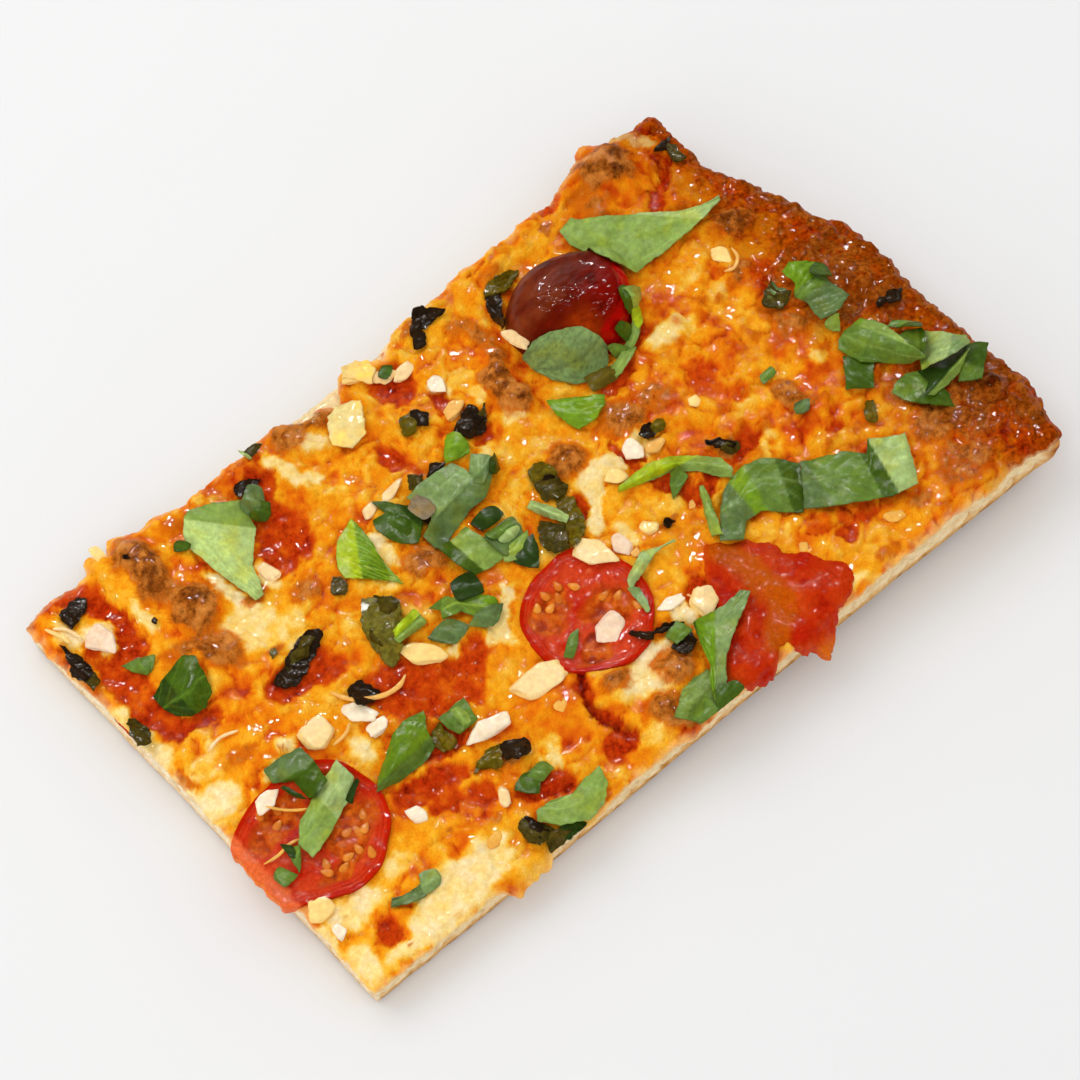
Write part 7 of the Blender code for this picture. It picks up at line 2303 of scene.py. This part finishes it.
def main():
    m = materials()
    ground = Ground()
    build_dough(m["dough"])
    build_sauce(m["sauce"])
    ground.add(build_cheese(m["cheese"]))

    ground.add(build_disc(
        "tomato_slice_by_the_cut", FRONT_SLICE, 260, 104, slice_shape(
            FRONT_SLICE, -88.4,
            ((0.36, -0.26, 0.46, 0.36, 35), (-0.20, 0.46, 0.46, 0.24, 25),
             (0.02, -0.60, 0.46, 0.15, 12), (0.45, 0.30, 0.22, 0.3, 0)),
            3.0),
        m["tomato"], "tomato_flesh", ("tomato_slice_front",)))
    ground.add(build_disc(
        "tomato_slice_in_the_middle", MIDDLE_SLICE, 260, 104, slice_shape(
            MIDDLE_SLICE, -200.0,
            ((-0.40, 0.34, 0.40, 0.32, 30), (0.30, -0.15, 0.44, 0.34, -20),
             (-0.30, -0.50, 0.40, 0.22, 10)), 9.0),
        m["tomato"], "tomato_flesh", ("tomato_slice_middle",)))
    ground.add(build_disc("tomato_half_dome", HALF, 240, 110, half_shape,
                          m["skin"], "tomato_skin", ("tomato_half",)))
    ground.add(build_disc("crushed_tomato", CHUNK, 300, 120, chunk_shape,
                          m["tomato"], "tomato_flesh", ("tomato_chunk",)))
    ground.finish()
    build_seeds(ground, m["seed"])

    for k, (name, x, y, rx, ry, turn, tall, tone) in enumerate(GARLIC_PARTS):
        heap = Heap()
        p, faces, b = chunk_of(ground, x, y, rx, ry, turn, 0.86 * tall,
                               100 + k, sunk=0.6)
        c = tinted(len(p), GARLIC_TONES[tone])
        # whiter towards the top: painted light on the upper faces
        c = lay(c, GARLIC_TONES["white"], ramp(b[:, 2], -0.2, 0.9) * 0.4)
        c = lay(c, GARLIC_TONES["toasted"], 0.3 * ramp(-b[:, 2], 0.1, 0.8))
        heap.add(p, faces, c, 0.4)
        ground.add(heap.make("chopped_" + name, m["garlic"], "garlic",
                             (name,)))
    heap = Heap()
    for k, (x, y, rx, ry, turn, tall, tone) in enumerate(GARLIC_BITS):
        p, faces, b = chunk_of(ground, x, y, rx, ry, turn, 0.85 * tall,
                               200 + k, sunk=0.5, fine=max(rx, ry) > 2.5)
        c = tinted(len(p), GARLIC_TONES[tone])
        c = lay(c, GARLIC_TONES["toasted"], 0.3 * ramp(-b[:, 2], 0.1, 0.8))
        heap.add(p, faces, c, 0.4)
    for k, (outline, (middle, start, end), tone) in enumerate(FLAKES):
        heap.add(*build_leaf(
            ground, None, None, middle, start, end, GARLIC_TONES[tone],
            720 + 3 * k, wave=0.25, pucker=0.05, thick=0.6, outline=outline,
            light=GARLIC_TONES[tone], rag=0.3, bend=0.2, tidy=True))
    ground.add(heap.make("chopped_garlic_bits", m["garlic"], "garlic"))
    ground.finish()
    build_shreds(ground, m["garlic"])

    heap = Heap()
    for k, (c00, c10, c11, c01, bows, middle, green) in enumerate(CHARS):
        heap.add(*build_leaf(
            ground, (c00, c10, c11, c01), bows, middle, 0.1, 0.1,
            GREENS[green], 300 + 3 * k, vein=(0.5, 60.0), wave=0.50,
            pucker=0.14, thick=0.34, rough=0.30, rag=0.45, step=0.32,
            bend=0.7))
    ground.add(heap.make("wilted_basil", m["char"], "basil"))
    ground.finish()

    bits = Heap()
    for k, spec in enumerate(LEAVES):
        name, c00, c10, c11, c01, bows, middle, start, end, green, opt = spec
        made = build_leaf(ground, (c00, c10, c11, c01), bows, middle, start,
                          end, GREENS[green], 20 + 3 * k, **opt)
        if name == "extra":
            bits.add(*made)
            ground.add_mesh(to_world(*made[0].T),
                            [tuple(f) for f in made[1].tolist()])
        else:
            heap = Heap()
            heap.add(*made)
            ground.add(heap.make("torn_" + name, m["leaf"], "basil",
                                 (name,)))
        ground.finish()
    heap = bits
    for k, (c00, c10, c11, c01, bows, middle, green) in enumerate(BITS):
        heap.add(*build_leaf(
            ground, (c00, c10, c11, c01), bows, middle, 0.2, 0.2,
            GREENS[green], 500 + 3 * k, vein=(0.5, 35.0), wave=0.25,
            rough=0.38, step=0.32, rag=0.16))
    heap.make("torn_basil_bits", m["leaf"], "basil")


def stage():
    """A pale table, soft daylight and the camera."""
    me = bpy.data.meshes.new("table")
    s = 3.0
    me.from_pydata([(-s, -s, -0.0002), (s, -s, -0.0002), (s, s, -0.0002),
                    (-s, s, -0.0002)], [], [(0, 1, 2, 3)])
    floor = bpy.data.objects.new("table", me)
    bpy.context.scene.collection.objects.link(floor)
    mat, nt, bsdf = new_material("pale_table")
    n = noise_tex(nt, 9.0, 3.0)
    col = mixed(nt, (0.80, 0.798, 0.795, 1.0), (0.83, 0.828, 0.826, 1.0),
                n.outputs["Fac"])
    nt.links.new(col, bsdf.inputs["Base Color"])
    bsdf.inputs["Roughness"].default_value = 0.8
    bsdf.inputs["Specular IOR Level"].default_value = 0.2
    me.materials.append(mat)

    def area(name, direction, distance, size, watts, colour, glint=False):
        lamp = bpy.data.lights.new(name, 'AREA')
        lamp.shape = 'DISK'
        lamp.size, lamp.energy, lamp.color = size, watts, colour
        ob = bpy.data.objects.new(name, lamp)
        d = Vector(direction).normalized()
        ob.location = d * distance
        ob.rotation_euler = d.to_track_quat('Z', 'Y').to_euler()
        ob.visible_glossy, ob.visible_diffuse = glint, not glint
        bpy.context.scene.collection.objects.link(ob)

    area("window_light", (-0.16, 0.58, 0.80), 1.1, 0.86, 2.97,
         (1.0, 0.985, 0.965))
    area("glints_of_the_window", (0.289, 0.583, 0.761), 1.1, 0.12, 8.4,
         (1.0, 0.99, 0.98), True)
    area("glints_of_the_lamp", (0.586, 0.331, 0.740), 1.1, 0.09, 3.1,
         (1.0, 0.98, 0.95), True)
    area("side_fill", (-0.90, -0.20, 0.42), 1.2, 0.5, 1.3,
         (1.0, 0.99, 0.98))
    world = bpy.data.worlds.new("daylight")
    world.use_nodes = True
    bg = world.node_tree.nodes["Background"]
    bg.inputs["Color"].default_value = (0.99, 0.993, 1.0, 1.0)
    bg.inputs["Strength"].default_value = 0.90
    world.cycles_visibility.glossy = False
    bpy.context.scene.world = world

    cam = bpy.data.cameras.new("camera")
    cam.sensor_width, cam.lens = 36.0, 113.65
    ob = bpy.data.objects.new("camera", cam)
    bpy.context.scene.collection.objects.link(ob)
    az, el = math.radians(-42.88069), math.radians(64.0)
    back = Vector((math.sin(az) * math.cos(el), -math.cos(az) * math.cos(el),
                   math.sin(el)))
    target = Vector((-1.5415, 0.3987, 0.0)) * MM
    ob.location = target + back * 0.67659
    ob.rotation_euler = back.to_track_quat('Z', 'Y').to_euler()
    bpy.context.scene.camera = ob
    bpy.context.scene.view_settings.view_transform = 'Standard'


main()
stage()
